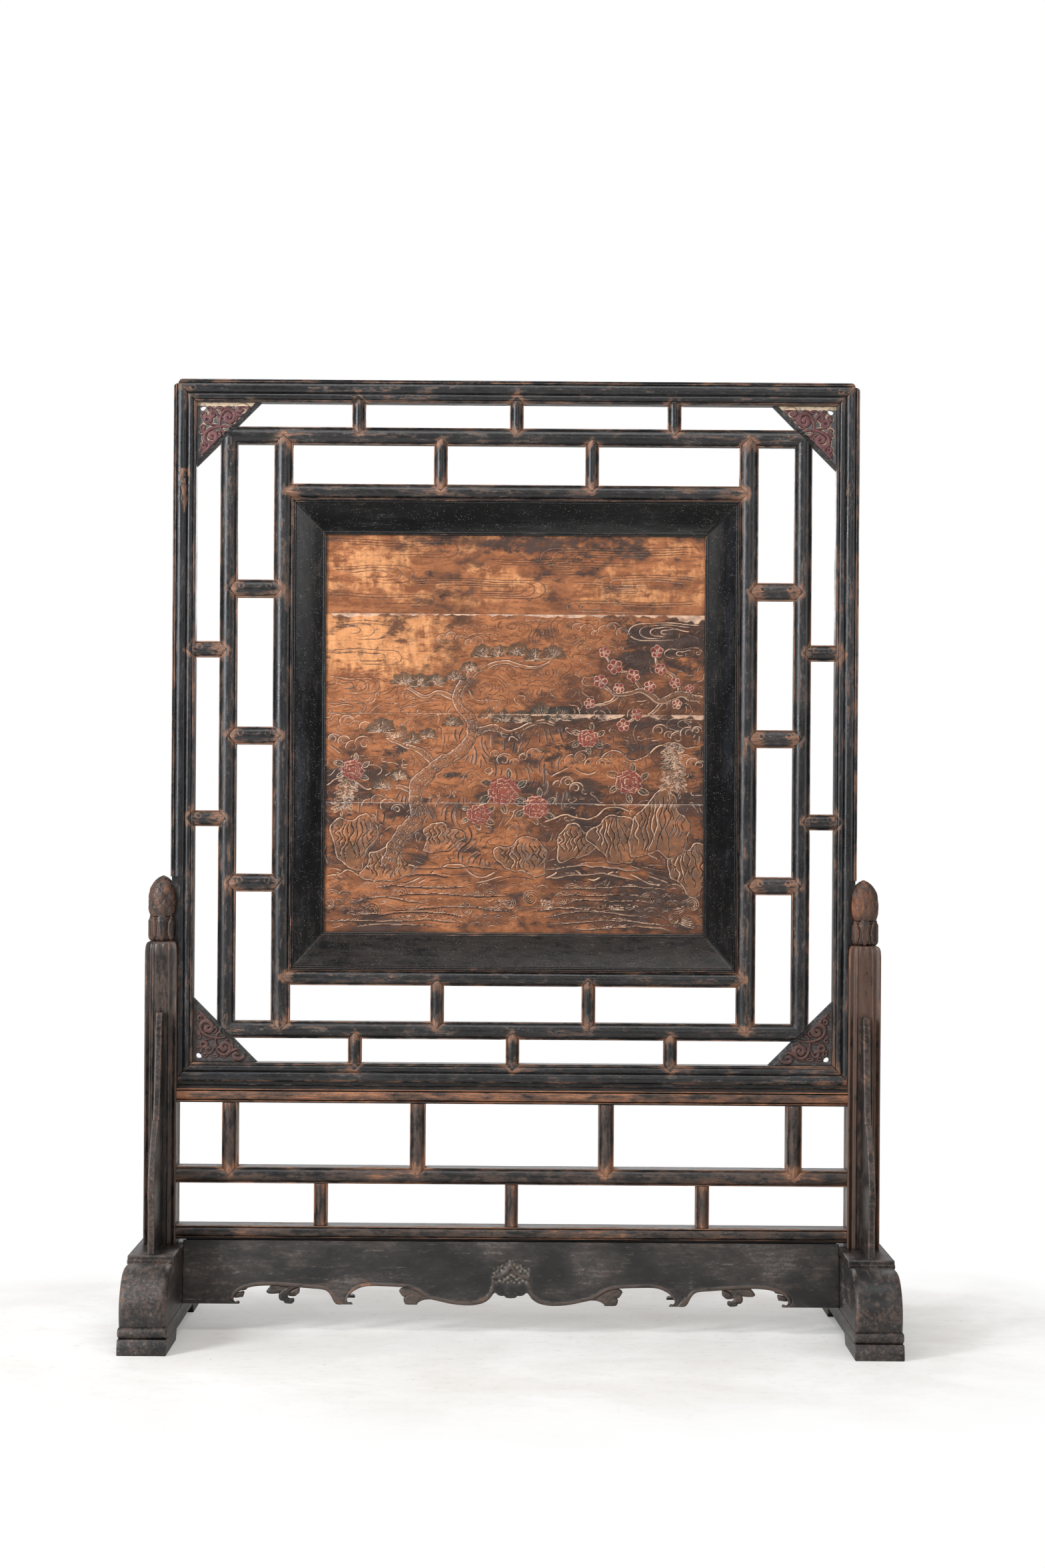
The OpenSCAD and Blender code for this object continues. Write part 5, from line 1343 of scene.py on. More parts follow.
def foot(side):
    name = "foot_" + ("left" if side < 0 else "right")
    acc = Acc()
    fx = side * 720.0
    fl = 310.0
    org = [fx, 0, 0]
    # two pads joined by the raised middle
    pad = np.array([[-fl, 1.2], [-fl + 1.2, 0], [-fl + 158, 0], [-fl + 163, 6], [-fl + 171, 19], [-fl + 174, 20], [-fl + 200, 20], [-fl + 200, 31], [-fl + 8, 31], [-fl + 6.4, 30], [-fl + 0.8, 17.5], [-fl, 15.4]])
    dirt = lambda s, u, v: (-0.25 * np.exp(-v / 6.0), 0.35 * np.exp(-((v - 31.0) / 1.3) ** 2) * (np.abs(u) > fl - 30))
    rounded_block(acc, resample(pad, 5.0), X, Y, Z, org, -48.5, 48.5, 2.6, seed=401 + side, ew=0.8, jf=dirt)
    rounded_block(acc, resample(pad[::-1] * np.array([-1.0, 1.0]), 5.0), X, Y, Z, org, -48.5, 48.5, 2.6, seed=451 + side, ew=0.8, jf=dirt)
    slab = np.array([[-fl + 186, 20.2], [fl - 186, 20.2], [fl - 186, 31], [-fl + 186, 31]])
    rounded_block(acc, resample(slab, 5.0), X, Y, Z, org, -48.2, 48.2, 1.6, seed=461 + side, wob=0.0, ew=0.5)
    # behind the moulded ends the sides are plain
    cheek = np.array([[-fl + 30, 23.0], [fl - 30, 23.0], [fl - 30, 53.0], [-fl + 30, 53.0]])
    rounded_block(acc, resample(cheek, 5.0), X, Y, Z, org, -47.9, 47.9, 0.8, seed=471 + side, wob=0.0, ew=0.4)
    # the roll above it
    th = np.linspace(-math.pi / 2, math.pi / 2, 13)
    roll = [(fl - 16 + 10.9 * math.cos(t), 42 + 11 * math.sin(t)) for t in th] + [(-(fl - 16) - 10.9 * math.cos(t), 42 - 11 * math.sin(t)) for t in th]
    roll = resample(np.array(roll), 5.0)
    rounded_block(acc, roll, X, Y, Z, org, -48.4, 48.4, 4.5, seed=411 + side, ew=0.8,
                  jf=lambda s, u, v: (0 * s, (0.6 * np.exp(-((v - 53.0) / 1.2) ** 2) + 0.6 * np.exp(-((v - 31.2) / 1.2) ** 2)) * (np.abs(u) > fl - 34)))
    # the drum
    pts = []
    c, R = (fl - 94, 78.0), 84.0
    for t in np.linspace(math.asin((50 - 78) / 84.0), math.pi / 2, 30):
        pts.append((c[0] + R * math.cos(t), c[1] + R * math.sin(t)))
    drum = [(-x, z) for x, z in pts][::-1]
    drum = np.array([(290.0, 40.0)] + pts + drum + [(-290.0, 40.0)])
    drum = resample(drum, 4.0)

    def swirl(s, u, v):
        # a scroll cut lightly into each rounded face
        out = np.zeros_like(s)
        f = np.abs(u) > 220
        arcl = R * np.arctan2(v - 78, np.abs(u) - (fl - 94))
        cx, cz = s - side * -6.0, arcl + 4.0
        r = np.sqrt(cx ** 2 + (cz * 0.92) ** 2)
        a = np.arctan2(cz, cx)
        ph = (r / 11.0 - a / (2 * math.pi)) % 1.0
        line = np.exp(-((ph - 0.5) / 0.09) ** 2) * (r < 34) * (r > 4)
        wr = np.where(f, 0.22 * np.exp(-((ph - 0.62) / 0.08) ** 2) * (r < 34), 0)
        wr = wr - 0.18 * np.exp(-((v - 58) / 14.0) ** 2) * f
        return wr, np.where(f, line * 0.24, 0) + 0.5 * np.exp(-((v - 53) / 1.5) ** 2) * (np.abs(u) > fl - 40)
    rounded_block(acc, drum, X, Y, Z, org, -47.0, 47.0, 10.0, seed=421 + side, step=4.2, wob=0.9, ew=0.9, jf=swirl)
    # the step and the plateau the post stands on
    st = resample(np.array([[-182, 158], [182, 158], [182.8, 159], [183, 161], [182.6, 165.2], [180.5, 167], [-180.5, 167], [-182.6, 165.2], [-183, 161], [-182.8, 159]]), 6.0)
    rounded_block(acc, st, X, Y, Z, org, -46.9, 46.9, 2.2, seed=431 + side, ew=0.9)
    pl = resample(np.array([[-174, 160], [174, 160], [175, 161.5], [175, 171.6], [172.8, 174], [-172.8, 174], [-175, 171.6], [-175, 161.5]]), 6.0)
    rounded_block(acc, pl, X, Y, Z, org, -47.0, 47.0, 2.4, seed=441 + side, ew=0.9, step=6.0,
                  jf=lambda s, u, v: (0.0 * s, 0.5 * np.exp(-((v - 167.5) / 1.0) ** 2)))
    make(name, acc, M_STAND, "stand", [name], sharp=42)


# ------------------------------------------------------------------ upright spandrels on the feet

def standing_spandrels():
    def ease(t):
        return (1 - math.cos(math.pi * t)) / 2
    e = [(128 - 3 * math.sin(math.pi * i / 8), 174 + i * (280 - 174) / 8) for i in range(9)]
    e += [(134 - 66 * (i / 12) ** 2.2, 280 + i * 13) for i in range(13)]
    e += [(62 - 30 * (i / 12) ** 0.75, 436 + i * 13.9) for i in range(13)]
    e += [(34, 603), (34, 617.3), (33.2, 618), (29, 618), (29, 633.3), (28.4, 634), (25, 634), (25, 649.2), (24, 650)]
    out = np.array([(0.0, 174.0)] + e + [(0.0, 650.0)])
    base = None
    for fb in (-1, 1):
        for side in (-1, 1):
            name = "standing_spandrel_%s_%s" % ("front" if fb < 0 else "back", "left" if side < 0 else "right")
            if base is None:
                base = Flat(out, 3.2, (0.7, 1.6, 2.8, 4.6, 7.0), seed=3, edge_step=2.6)
            fl = base
            P = fl.V
            d = fl.d.copy()
            # no rounding where it meets the post or the foot
            joint = np.minimum(P[:, 0], P[:, 1] - 174.0)
            de = np.where(joint < 0.3, 99, d)
            dd = np.minimum(de, 99)
            # distance to the free edge only
            A, B = out[1:-1], out[2:]
            dfree, _, _ = seg_dist(P, out[1:-1][:-1], out[1:-1][1:])
            r = 2.6
            rd = np.clip(dfree / r, 0, 1)
            h = 7.0 - (1 - np.sqrt(1 - (1 - rd) ** 2)) * 2.4
            bead = np.exp(-((dfree - 7.5) / 1.0) ** 2) * 0.9
            h = h - bead
            h = h + 0.25 * (fbm(np.column_stack([P / 30.0, np.full(len(P), side * 3.0 + fb)]), 7, 3) - 0.5)
            h = np.minimum(h, 7.0)
            rag = fbm(np.column_stack([P / 16.0, np.full(len(P), side * 5.0 + fb)]), 9, 3)
            wear = 0.55 * np.exp(-(dfree / 1.8) ** 2) * (0.5 + rag) + 0.10 * (rag - 0.5)
            cav = 0.6 * np.exp(-((dfree - 7.5) / 0.9) ** 2)
            crk = np.exp(-(np.clip(P[:, 0], 0, None) / 0.8) ** 2) * 0.4
            acc = Acc()
            U = np.array([0, float(fb), 0])
            org = np.array([side * 722.0, fb * 35.0, 0])
            zst = P[:, 1]
            # cuts between the stepped top blocks
            crk = np.maximum(crk, sum(np.exp(-((zst - z) / 0.8) ** 2) for z in (603, 618, 634)) * 0.5)
            fl.solid(acc, org, U, Z, h, h, rows=4, attrs=dict(wear=wear, cav=cav, crk=crk, tone=0.1),
                     side=dict(wear=0.16, tone=0.1), gc=None)
            make(name, acc, M_STAND, "stand", [name], sharp=40)


# ------------------------------------------------------------------ aprons

def a52(*pts):
    return [((165 + x / 4.417 - 768) * 1.365, 7.5 - (2.7 + y / 4.417) * 1.384) for x, y in pts]


def a53(*pts):
    return [((500 + x / 4.48 - 768) * 1.365, 7.5 - (12.7 + y / 4.48) * 1.384) for x, y in pts]


def apron(front):
    name = "apron_" + ("front" if front else "back")
    half = [(-673.0, -128.9)] + a52((560, 457), (700, 459), (800, 458), (838, 448), (862, 428), (866, 412), (856, 404), (840, 411), (828, 402), (826, 388), (842, 362), (876, 337), (928, 319), (990, 309), (1080, 306), (1200, 312), (1330, 322), (1410, 328), (1446, 340), (1470, 366), (1492, 406), (1514, 434), (1548, 451)) + \
        a53((0, 306), (14, 338), (36, 382), (68, 409), (108, 415), (134, 402), (138, 382), (126, 369), (108, 370), (99, 358), (102, 342), (120, 318), (154, 292), (204, 271), (262, 264), (340, 265), (430, 268), (500, 274), (560, 292), (612, 322), (650, 344), (710, 358), (800, 377), (880, 386), (950, 384), (1014, 370), (1056, 342), (1080, 308), (1094, 304), (1106, 316), (1128, 323), (1144, 322), (1158, 334), (1187, 338))
    half = np.array(half)
    mid = half[-1, 0]
    half[:, 0] -= mid * sstep(-60, 0, half[:, 0])          # close the two halves on the centre line
    half[-1, 0] = 0.0
    half[:, 1] = np.maximum(half[:, 1], -129.0)
    # the stretch counted twice between the two drawings is dropped
    keep = np.ones(len(half), bool)
    run = -1e9
    for i, p in enumerate(half):
        if 24 <= i <= 25 and p[0] < half[23, 0] + 1:
            keep[i] = False
    half = half[keep]
    body = np.concatenate([half[:1], spline(half[1:], 4)])
    right = body[::-1][1:] * np.array([-1, 1])
    outline = np.concatenate([[[-673.0, 0.0]], body, right, [[673.0, 0.0]]])
    # how far the bead runs inside the edge, and where it leaves it to make the pointed arch
    bead_a = a52((455, 446), (560, 445), (700, 447), (800, 446), (832, 437), (850, 421))
    bead_b = a52((832, 398), (817, 385), (834, 354), (872, 325), (926, 306), (990, 296), (1080, 293), (1200, 299), (1330, 309), (1414, 315), (1452, 328), (1480, 358), (1504, 398), (1530, 428), (1560, 440)) + \
        a53((22, 336), (46, 372), (74, 393), (104, 400), (122, 392))
    bead_c = a53((112, 366), (100, 350), (112, 326), (148, 285), (200, 261), (262, 253), (340, 254), (430, 257), (505, 263), (566, 280), (622, 312), (664, 334), (716, 346), (806, 364), (880, 372), (948, 370), (1004, 356), (1042, 330), (1066, 296), (1079, 250), (1079, 203)) 
    bead_d = a53((1079, 203), (1120, 192), (1156, 170), (1178, 142), (1187, 118))
    beads = []
    for b in (bead_a, bead_b, bead_c, bead_d):
        c = spline(b, 5)
        c[:, 0] -= mid * sstep(-60, 0, c[:, 0])
        w = np.full(len(c), 3.9)
        beads.append((c, w))
        beads.append((c * np.array([-1, 1]), w))
    if "apron" not in CACHE:
        fl = Flat(outline, 3.4, (0.8, 2.0, 3.3, 4.8, 6.4, 8.2), seed=9, edge_step=2.4)
        CACHE["apron"] = (fl, polyline_field(fl.V, beads))
    fl, (q, dmm, who, _) = CACHE["apron"]
    P = fl.V
    # the little hatched field under the arch
    cart = np.array([(-37.0, -54.5), (-37.5, -72.5), (-39, -92.5), (-41, -104.5), (41, -104.5), (39, -92.5), (37.5, -72.5), (37.0, -54.5), (24, -49), (11, -41.5), (0, -33), (-11, -41.5), (-24, -49)])
    incart = inside(P, cart) & (q > 1.0)
    z0 = 8.0 + 0.35 * (fbm(np.column_stack([P / 60.0, np.full(len(P), 1.0 if front else 2.0)]), 3, 3) - 0.5)
    hf = z0 - 0.9
    bead = np.sqrt(np.clip(1 - np.clip(q, 0, 1) ** 2, 0, 1))
    groove = np.exp(-((q - 1.30) / 0.26) ** 2)
    hf = hf - 1.7 * groove
    hf = np.where(q < 1.0, np.maximum(hf, 5.8 + 2.2 * bead), hf)
    lat = np.minimum(np.abs(((P[:, 0] + P[:, 1]) / 1.414) % 8.4 - 4.2), np.abs(((P[:, 0] - P[:, 1]) / 1.414) % 8.4 - 4.2))
    hatch = np.exp(-((4.2 - (4.2 - lat)) / 0.7) ** 2) * (P[:, 1] > -84.5)
    lobes = np.maximum.reduce([np.sqrt(np.clip(1 - ((P[:, 0] - cx) / 15.0) ** 2 - ((P[:, 1] + cy) / 13.0) ** 2, 0, 1)) for cx, cy in ((-26, 92.5), (0, 96.5), (26, 92.5))])
    hf = np.where(incart, 4.6 - 0.6 * hatch + 2.6 * lobes, hf)
    # rounding at the free lower edge
    rd = np.clip(fl.d / 2.0, 0, 1)
    free = P[:, 1] < -3
    hf = hf - np.where(free, (1 - np.sqrt(1 - (1 - rd) ** 2)) * 1.8, 0)
    hf = np.minimum(hf, 8.0)
    hb = np.full(len(P), 8.0) - np.where(free, (1 - np.sqrt(1 - (1 - rd) ** 2)) * 1.4, 0)
    rag = fbm(np.column_stack([P / 12.0, np.zeros(len(P))]), 19, 3)
    streak = fbm(np.column_stack([P[:, 0] / 130.0, P[:, 1] / 7.0, np.full(len(P), 3.0)]), 29, 3)
    wear = np.where(q < 1, 0.14 + 0.34 * bead * rag, 0.30 * (streak - 0.5)) + 0.10 * np.exp(-(fl.d / 2.0) ** 2)
    cav = np.clip(1.1 * groove, 0, 1) + np.where(incart, 0.5 * (1 - lobes) * (P[:, 1] < -82.5), 0)
    # painted shadow: the apron is darkened along its top edge, where the rail above shades it, through the same mask
    # that blackens cracks
    shade = np.exp(-np.clip(-P[:, 1], 0, None) / 4.0) * 0.6
    pale = np.where(incart, hatch * 0.9, 0)
    att = dict(wear=wear, cav=np.clip(cav, 0, 1), crk=shade, tone=np.where(q < 1, 0.35, 0.0), lift=pale)
    acc = Acc()
    tilt = math.radians(9.0)
    c, s = math.cos(tilt), math.sin(tilt)
    sg = -1.0 if front else 1.0
    # in the plate's own frame y runs down the slope (negative), the normal points out
    Wd = np.array([0, -sg * s, c])                 # up the slope and back toward the middle
    org = np.array([0, sg * 24.0, 182.5])
    U = X if front else -X
    # shift so that the mid plane of the 16 mm board passes through the place where the CAD has it
    fl.solid(acc, org, U, Wd, hf, hb, rows=3, attrs=att, back=dict(wear=-0.1 + 0.2 * (streak - 0.5), cav=0.0, tone=0.3), side=dict(wear=0.1, cav=0.2, tone=0.3), gc=None)
    # the upper edge is cut level, so nothing stands above it
    V = acc.V[0]
    V[:, 2] = np.minimum(V[:, 2], 182.5)
    # hanging leaves, each its own rounded body with veins
    leaves = [
        (a52((1045, 349), (1044, 340), (1060, 318), (1078, 304), (1130, 302), (1200, 306), (1185, 318), (1160, 338), (1135, 352), (1105, 358), (1062, 358)), 1.0, ((1060, 345), (1190, 308))),
        (a52((1262, 314), (1236, 322), (1210, 336), (1196, 352), (1186, 370), (1192, 382), (1206, 386), (1222, 384), (1229, 392), (1228, 408), (1212, 421), (1182, 421), (1164, 416), (1158, 405), (1140, 402), (1127, 388), (1126, 360), (1140, 336), (1166, 318), (1200, 304), (1240, 302)), 1.25, ((1230, 310), (1150, 360))),
        (a52((1262, 312), (1264, 340), (1256, 357), (1236, 363), (1208, 358), (1196, 352), (1212, 334), (1240, 320)), 0.85, ((1255, 318), (1225, 350))),
        (a53((452, 300), (450, 290), (462, 276), (490, 268), (540, 276), (600, 306), (660, 344), (600, 342), (540, 330), (486, 334), (466, 322)), 1.0, ((470, 300), (640, 335))),
        (a53((486, 334), (520, 312), (570, 308), (630, 334), (672, 348), (630, 350), (596, 360), (574, 376), (574, 388), (586, 398), (582, 412), (556, 422), (528, 416), (512, 400), (510, 384), (494, 382), (483, 366), (480, 348)), 1.25, ((500, 345), (640, 345))),
        (a52((832, 384), (838, 362), (870, 345), (896, 342), (896, 362), (884, 378), (858, 384)), 0.6, ((840, 380), (890, 350))),
    ]
    for k, (pts, th, _) in enumerate(leaves):
        for sgn in (1, -1):
            o = np.array(spline(pts, 4, closed=True))
            o[:, 1] = np.maximum(o[:, 1], -128.8)
            if sgn < 0:
                o = o * np.array([-1, 1])
            if (k, sgn) not in CACHE:
                CACHE[k, sgn] = Flat(o, 2.0, (0.5, 1.2, 2.2), seed=20 + k, edge_step=1.6)
            lf = CACHE[k, sgn]
            dd = lf.d
            R = 4.2
            rr = np.clip(dd / R, 0, 1)
            pil = np.sqrt(np.clip(1 - (1 - rr) ** 2, 0, 1))
            ctr = o.mean(0)
            ang = np.arctan2(lf.V[:, 1] - ctr[1], lf.V[:, 0] - ctr[0])
            vein = 0.35 * np.cos(ang * 7) * rr
            h = 0.4 + (4.6 + 1.2 * th) * pil * 0.92 + vein - 0.3
            hb2 = 1.0 + 4.5 * pil
            fl_w = 0.25 * np.exp(-(dd / 1.4) ** 2) + 0.12 * rr
            lf.solid(acc, org, U, Wd, np.minimum(h, 7.9), np.minimum(hb2, 7.9), rows=1, attrs=dict(wear=fl_w, cav=0.25 * np.clip(-np.cos(ang * 7), 0, 1) * rr, tone=0.5), side=dict(wear=0.15, tone=0.4))
    # end tongues
    for sgn in (1, -1):
        T = resample(np.array([[-120.0, -5.0], [-30.0, -5.0], [-30.0, 5.0], [-120.0, 5.0]]), 20)
        a, b = (672.0, 683.0) if sgn > 0 else (-683.0, -672.0)
        nrm = np.cross(U, Wd)
        sweep(acc, T, np.array([0, 0.5, 1.0]), org, U, Wd, -nrm, a, b, wob=0.01)
    make(name, acc, M_APRON, "stand", [name], sharp=40)


# ------------------------------------------------------------------ the carved panel
PSTEP = 1.35


class Canvas:
    """Height and colour masks of the carved face. Lines are gathered first and cut together."""

    def __init__(self):
        self.nx = int(round(2 * 397 / PSTEP)) + 1
        self.nz = int(round((1642 - 808) / PSTEP)) + 1
        self.x = np.linspace(-397, 397, self.nx)
        self.z = np.linspace(808, 1642, self.nz)
        self.dx = self.x[1] - self.x[0]
        self.dz = self.z[1] - self.z[0]
        z = np.zeros((self.nz, self.nx))
        self.h, self.pale, self.dark, self.red, self.green = (z.copy() for _ in range(5))
        self.block, self.taken = np.zeros(z.shape, bool), np.zeros(z.shape, bool)
        self.XX, self.ZZ = np.meshgrid(self.x, self.z)
        self.L = []

    def ij(self, x, z):
        k = np.clip(np.rint((z - 808) / self.dz).astype(int), 0, self.nz - 1)
        j = np.clip(np.rint((x + 397) / self.dx).astype(int), 0, self.nx - 1)
        return k, j

    def win(self, lo, hi):
        i0, i1 = max(0, int((lo[0] + 397) / self.dx)), min(self.nx, int((hi[0] + 397) / self.dx) + 2)
        k0, k1 = max(0, int((lo[1] - 808) / self.dz)), min(self.nz, int((hi[1] - 808) / self.dz) + 2)
        return slice(k0, k1), slice(i0, i1)

    def mark(self, grid, x, z, r):
        m = int(r / self.dx) + 1
        k, j = self.ij(x, z)
        for a in range(-m, m + 1):
            for b in range(-m, m + 1):
                if a * a + b * b <= (r / self.dx) ** 2 + 0.01:
                    grid[np.clip(k + a, 0, self.nz - 1), np.clip(j + b, 0, self.nx - 1)] = True

    def line(self, pts, w=1.2, depth=1.0, pale=0.8, dark=0.5, rel=0.5, reach=3.5, taper=(0.12, 0.12), side=1, shade=0.0, clip=True, own=3.5):
        P = np.asarray(pts, float)
        d = np.linalg.norm(np.diff(P, axis=0), axis=1)
        L = np.concatenate([[0], np.cumsum(d)])
        if L[-1] < 2.0:
            return
        n = max(3, int(L[-1] / 0.7))
        s = np.linspace(0, L[-1], n)
        x, z = np.interp(s, L, P[:, 0]), np.interp(s, L, P[:, 1])
        u = s / L[-1]
        wt = np.ones(n)
        if taper[0] > 0:
            wt = wt * np.clip(u / taper[0], 0.2, 1)
        if taper[1] > 0:
            wt = wt * np.clip((1 - u) / taper[1], 0.2, 1)
        tx, tz = np.gradient(x), np.gradient(z)
        q = np.maximum(np.hypot(tx, tz), 1e-9)
        k, j = self.ij(x, z)
        if own:
            self.mark(self.taken, x[::3], z[::3], own)
        keep = ~self.block[k, j] if clip else np.ones(n, bool)
        keep &= (np.abs(x) < 396) & (z > 809) & (z < 1641)
        if not keep.any():
            return
        one = np.ones(n)
        self.L.append(np.stack([x, z, -tz / q * side, tx / q * side, one * w, depth * wt, pale * wt, dark * wt, rel * wt, one * reach, shade * wt], 1)[keep])

    def cut(self, m=7):
        """Cuts every line gathered so far into the height and the colours."""
        A = np.concatenate(self.L)
        self.L = []
        k, j = self.ij(A[:, 0], A[:, 1])
        best = np.full(self.nz * self.nx, np.iinfo(np.int64).max)
        idx = np.arange(len(A))
        for a in range(-m, m + 1):
            for b in range(-m, m + 1):
                if a * a + b * b > m * m:
                    continue
                kk, jj = k + a, j + b
                ok = (kk >= 0) & (kk < self.nz) & (jj >= 0) & (jj < self.nx)
                kk, jj, ii = kk[ok], jj[ok], idx[ok]
                d = np.hypot(self.x[jj] - A[ii, 0], self.z[kk] - A[ii, 1])
                key = (d * 10000).astype(np.int64) * (1 << 24) + ii
                np.minimum.at(best, kk * self.nx + jj, key)
        hit = best < np.iinfo(np.int64).max
        ii = (best[hit] & ((1 << 24) - 1)).astype(int)
        f = np.nonzero(hit)[0]
        kk, jj = f // self.nx, f % self.nx
        vx, vz = self.x[jj] - A[ii, 0], self.z[kk] - A[ii, 1]
        d = np.hypot(vx, vz)
        sd = vx * A[ii, 2] + vz * A[ii, 3]
        sg = np.where(sd >= 0, d, -d)
        w, depth, pale, dark, rel, reach, shade = (A[ii, c] for c in range(4, 11))
        g = np.exp(-((sg + 0.35 * w) / (0.85 * w)) ** 2)
        crest = np.exp(-((sg - 0.9 * w) / (0.8 * w)) ** 2)
        slope = np.where(sg > 0, np.exp(-sg / reach), 0)
        h = self.h[kk, jj]
        h = h * (1 - 0.6 * g) - depth * g + rel * (0.55 * crest + 0.75 * slope * (1 - g)) - 0.35 * shade * np.where(sg < 0, np.exp(-d / reach), 0)
        self.h[kk, jj] = h
        self.pale[kk, jj] = np.maximum(self.pale[kk, jj], np.exp(-((sg - 0.48 * w) / (0.82 * w)) ** 2) * pale)
        # painted shade: dark in each cut on its low side, and, where shade is given, a painted shadow fading over reach
        # beyond it; the dark layer also holds real dark patches of old lacquer
        self.dark[kk, jj] = np.maximum(self.dark[kk, jj], np.exp(-((sg + 0.85 * w) / (0.85 * w)) ** 2) * dark * 1.15)
        self.dark[kk, jj] = np.maximum(self.dark[kk, jj], np.where(sg < 0, np.exp(-(d / reach) ** 1.2), 0) * shade)

    def fill(self, poly, layer, value, feather=2.0, edge_noise=0.0, raise_=0.0, hide=False):
        P = np.asarray(poly, float)
        ks, js = self.win(P.min(0) - feather * 2, P.max(0) + feather * 2)
        xx, zz = self.XX[ks, js], self.ZZ[ks, js]
        if xx.size == 0:
            return
        Q = np.stack([xx.ravel(), zz.ravel()], 1)
        d, _, _ = seg_dist(Q, P, np.roll(P, -1, 0))
        s = np.where(inside(Q, P), d, -d)
        free = ~self.block[ks, js]
        if hide:
            self.block[ks, js] |= (s > -0.6).reshape(xx.shape)
            self.taken[ks, js] |= (s > -3.0).reshape(xx.shape)
        if edge_noise:
            s = s + edge_noise * (fbm(np.column_stack([Q / 6.0, np.zeros(len(Q))]), 77, 3) - 0.5) * 2
        m = sstep(-feather, feather, s).reshape(xx.shape) * free
        if layer is not None:
            a = getattr(self, layer)
            a[ks, js] = np.maximum(a[ks, js], m * value) if value > 0 else a[ks, js] * (1 - m * -value)
        if raise_:
            self.h[ks, js] += raise_ * sstep(0, 6.0, np.clip(s, 0, None)).reshape(xx.shape) * free


def wig(pts, amp, seed, scale=18.0, n=6, closed=False):
    c = spline(pts, n, closed)
    q = np.column_stack([c / scale, np.full(len(c), seed * 1.7)])
    return c + np.stack([vnoise(q, seed) - 0.5, vnoise(q + 31.0, seed + 1) - 0.5], 1) * 2 * amp


def spiral(cx, cz, r, turns=1.6, start=0.0, d=1, n=26, r_in=0.18):
    t = np.linspace(0, 1, n)
    a = start + d * t * turns * 2 * math.pi
    rr = r * (1 - (1 - r_in) * t ** 0.9)
    return np.stack([cx + rr * np.cos(a), cz + rr * np.sin(a)], 1)


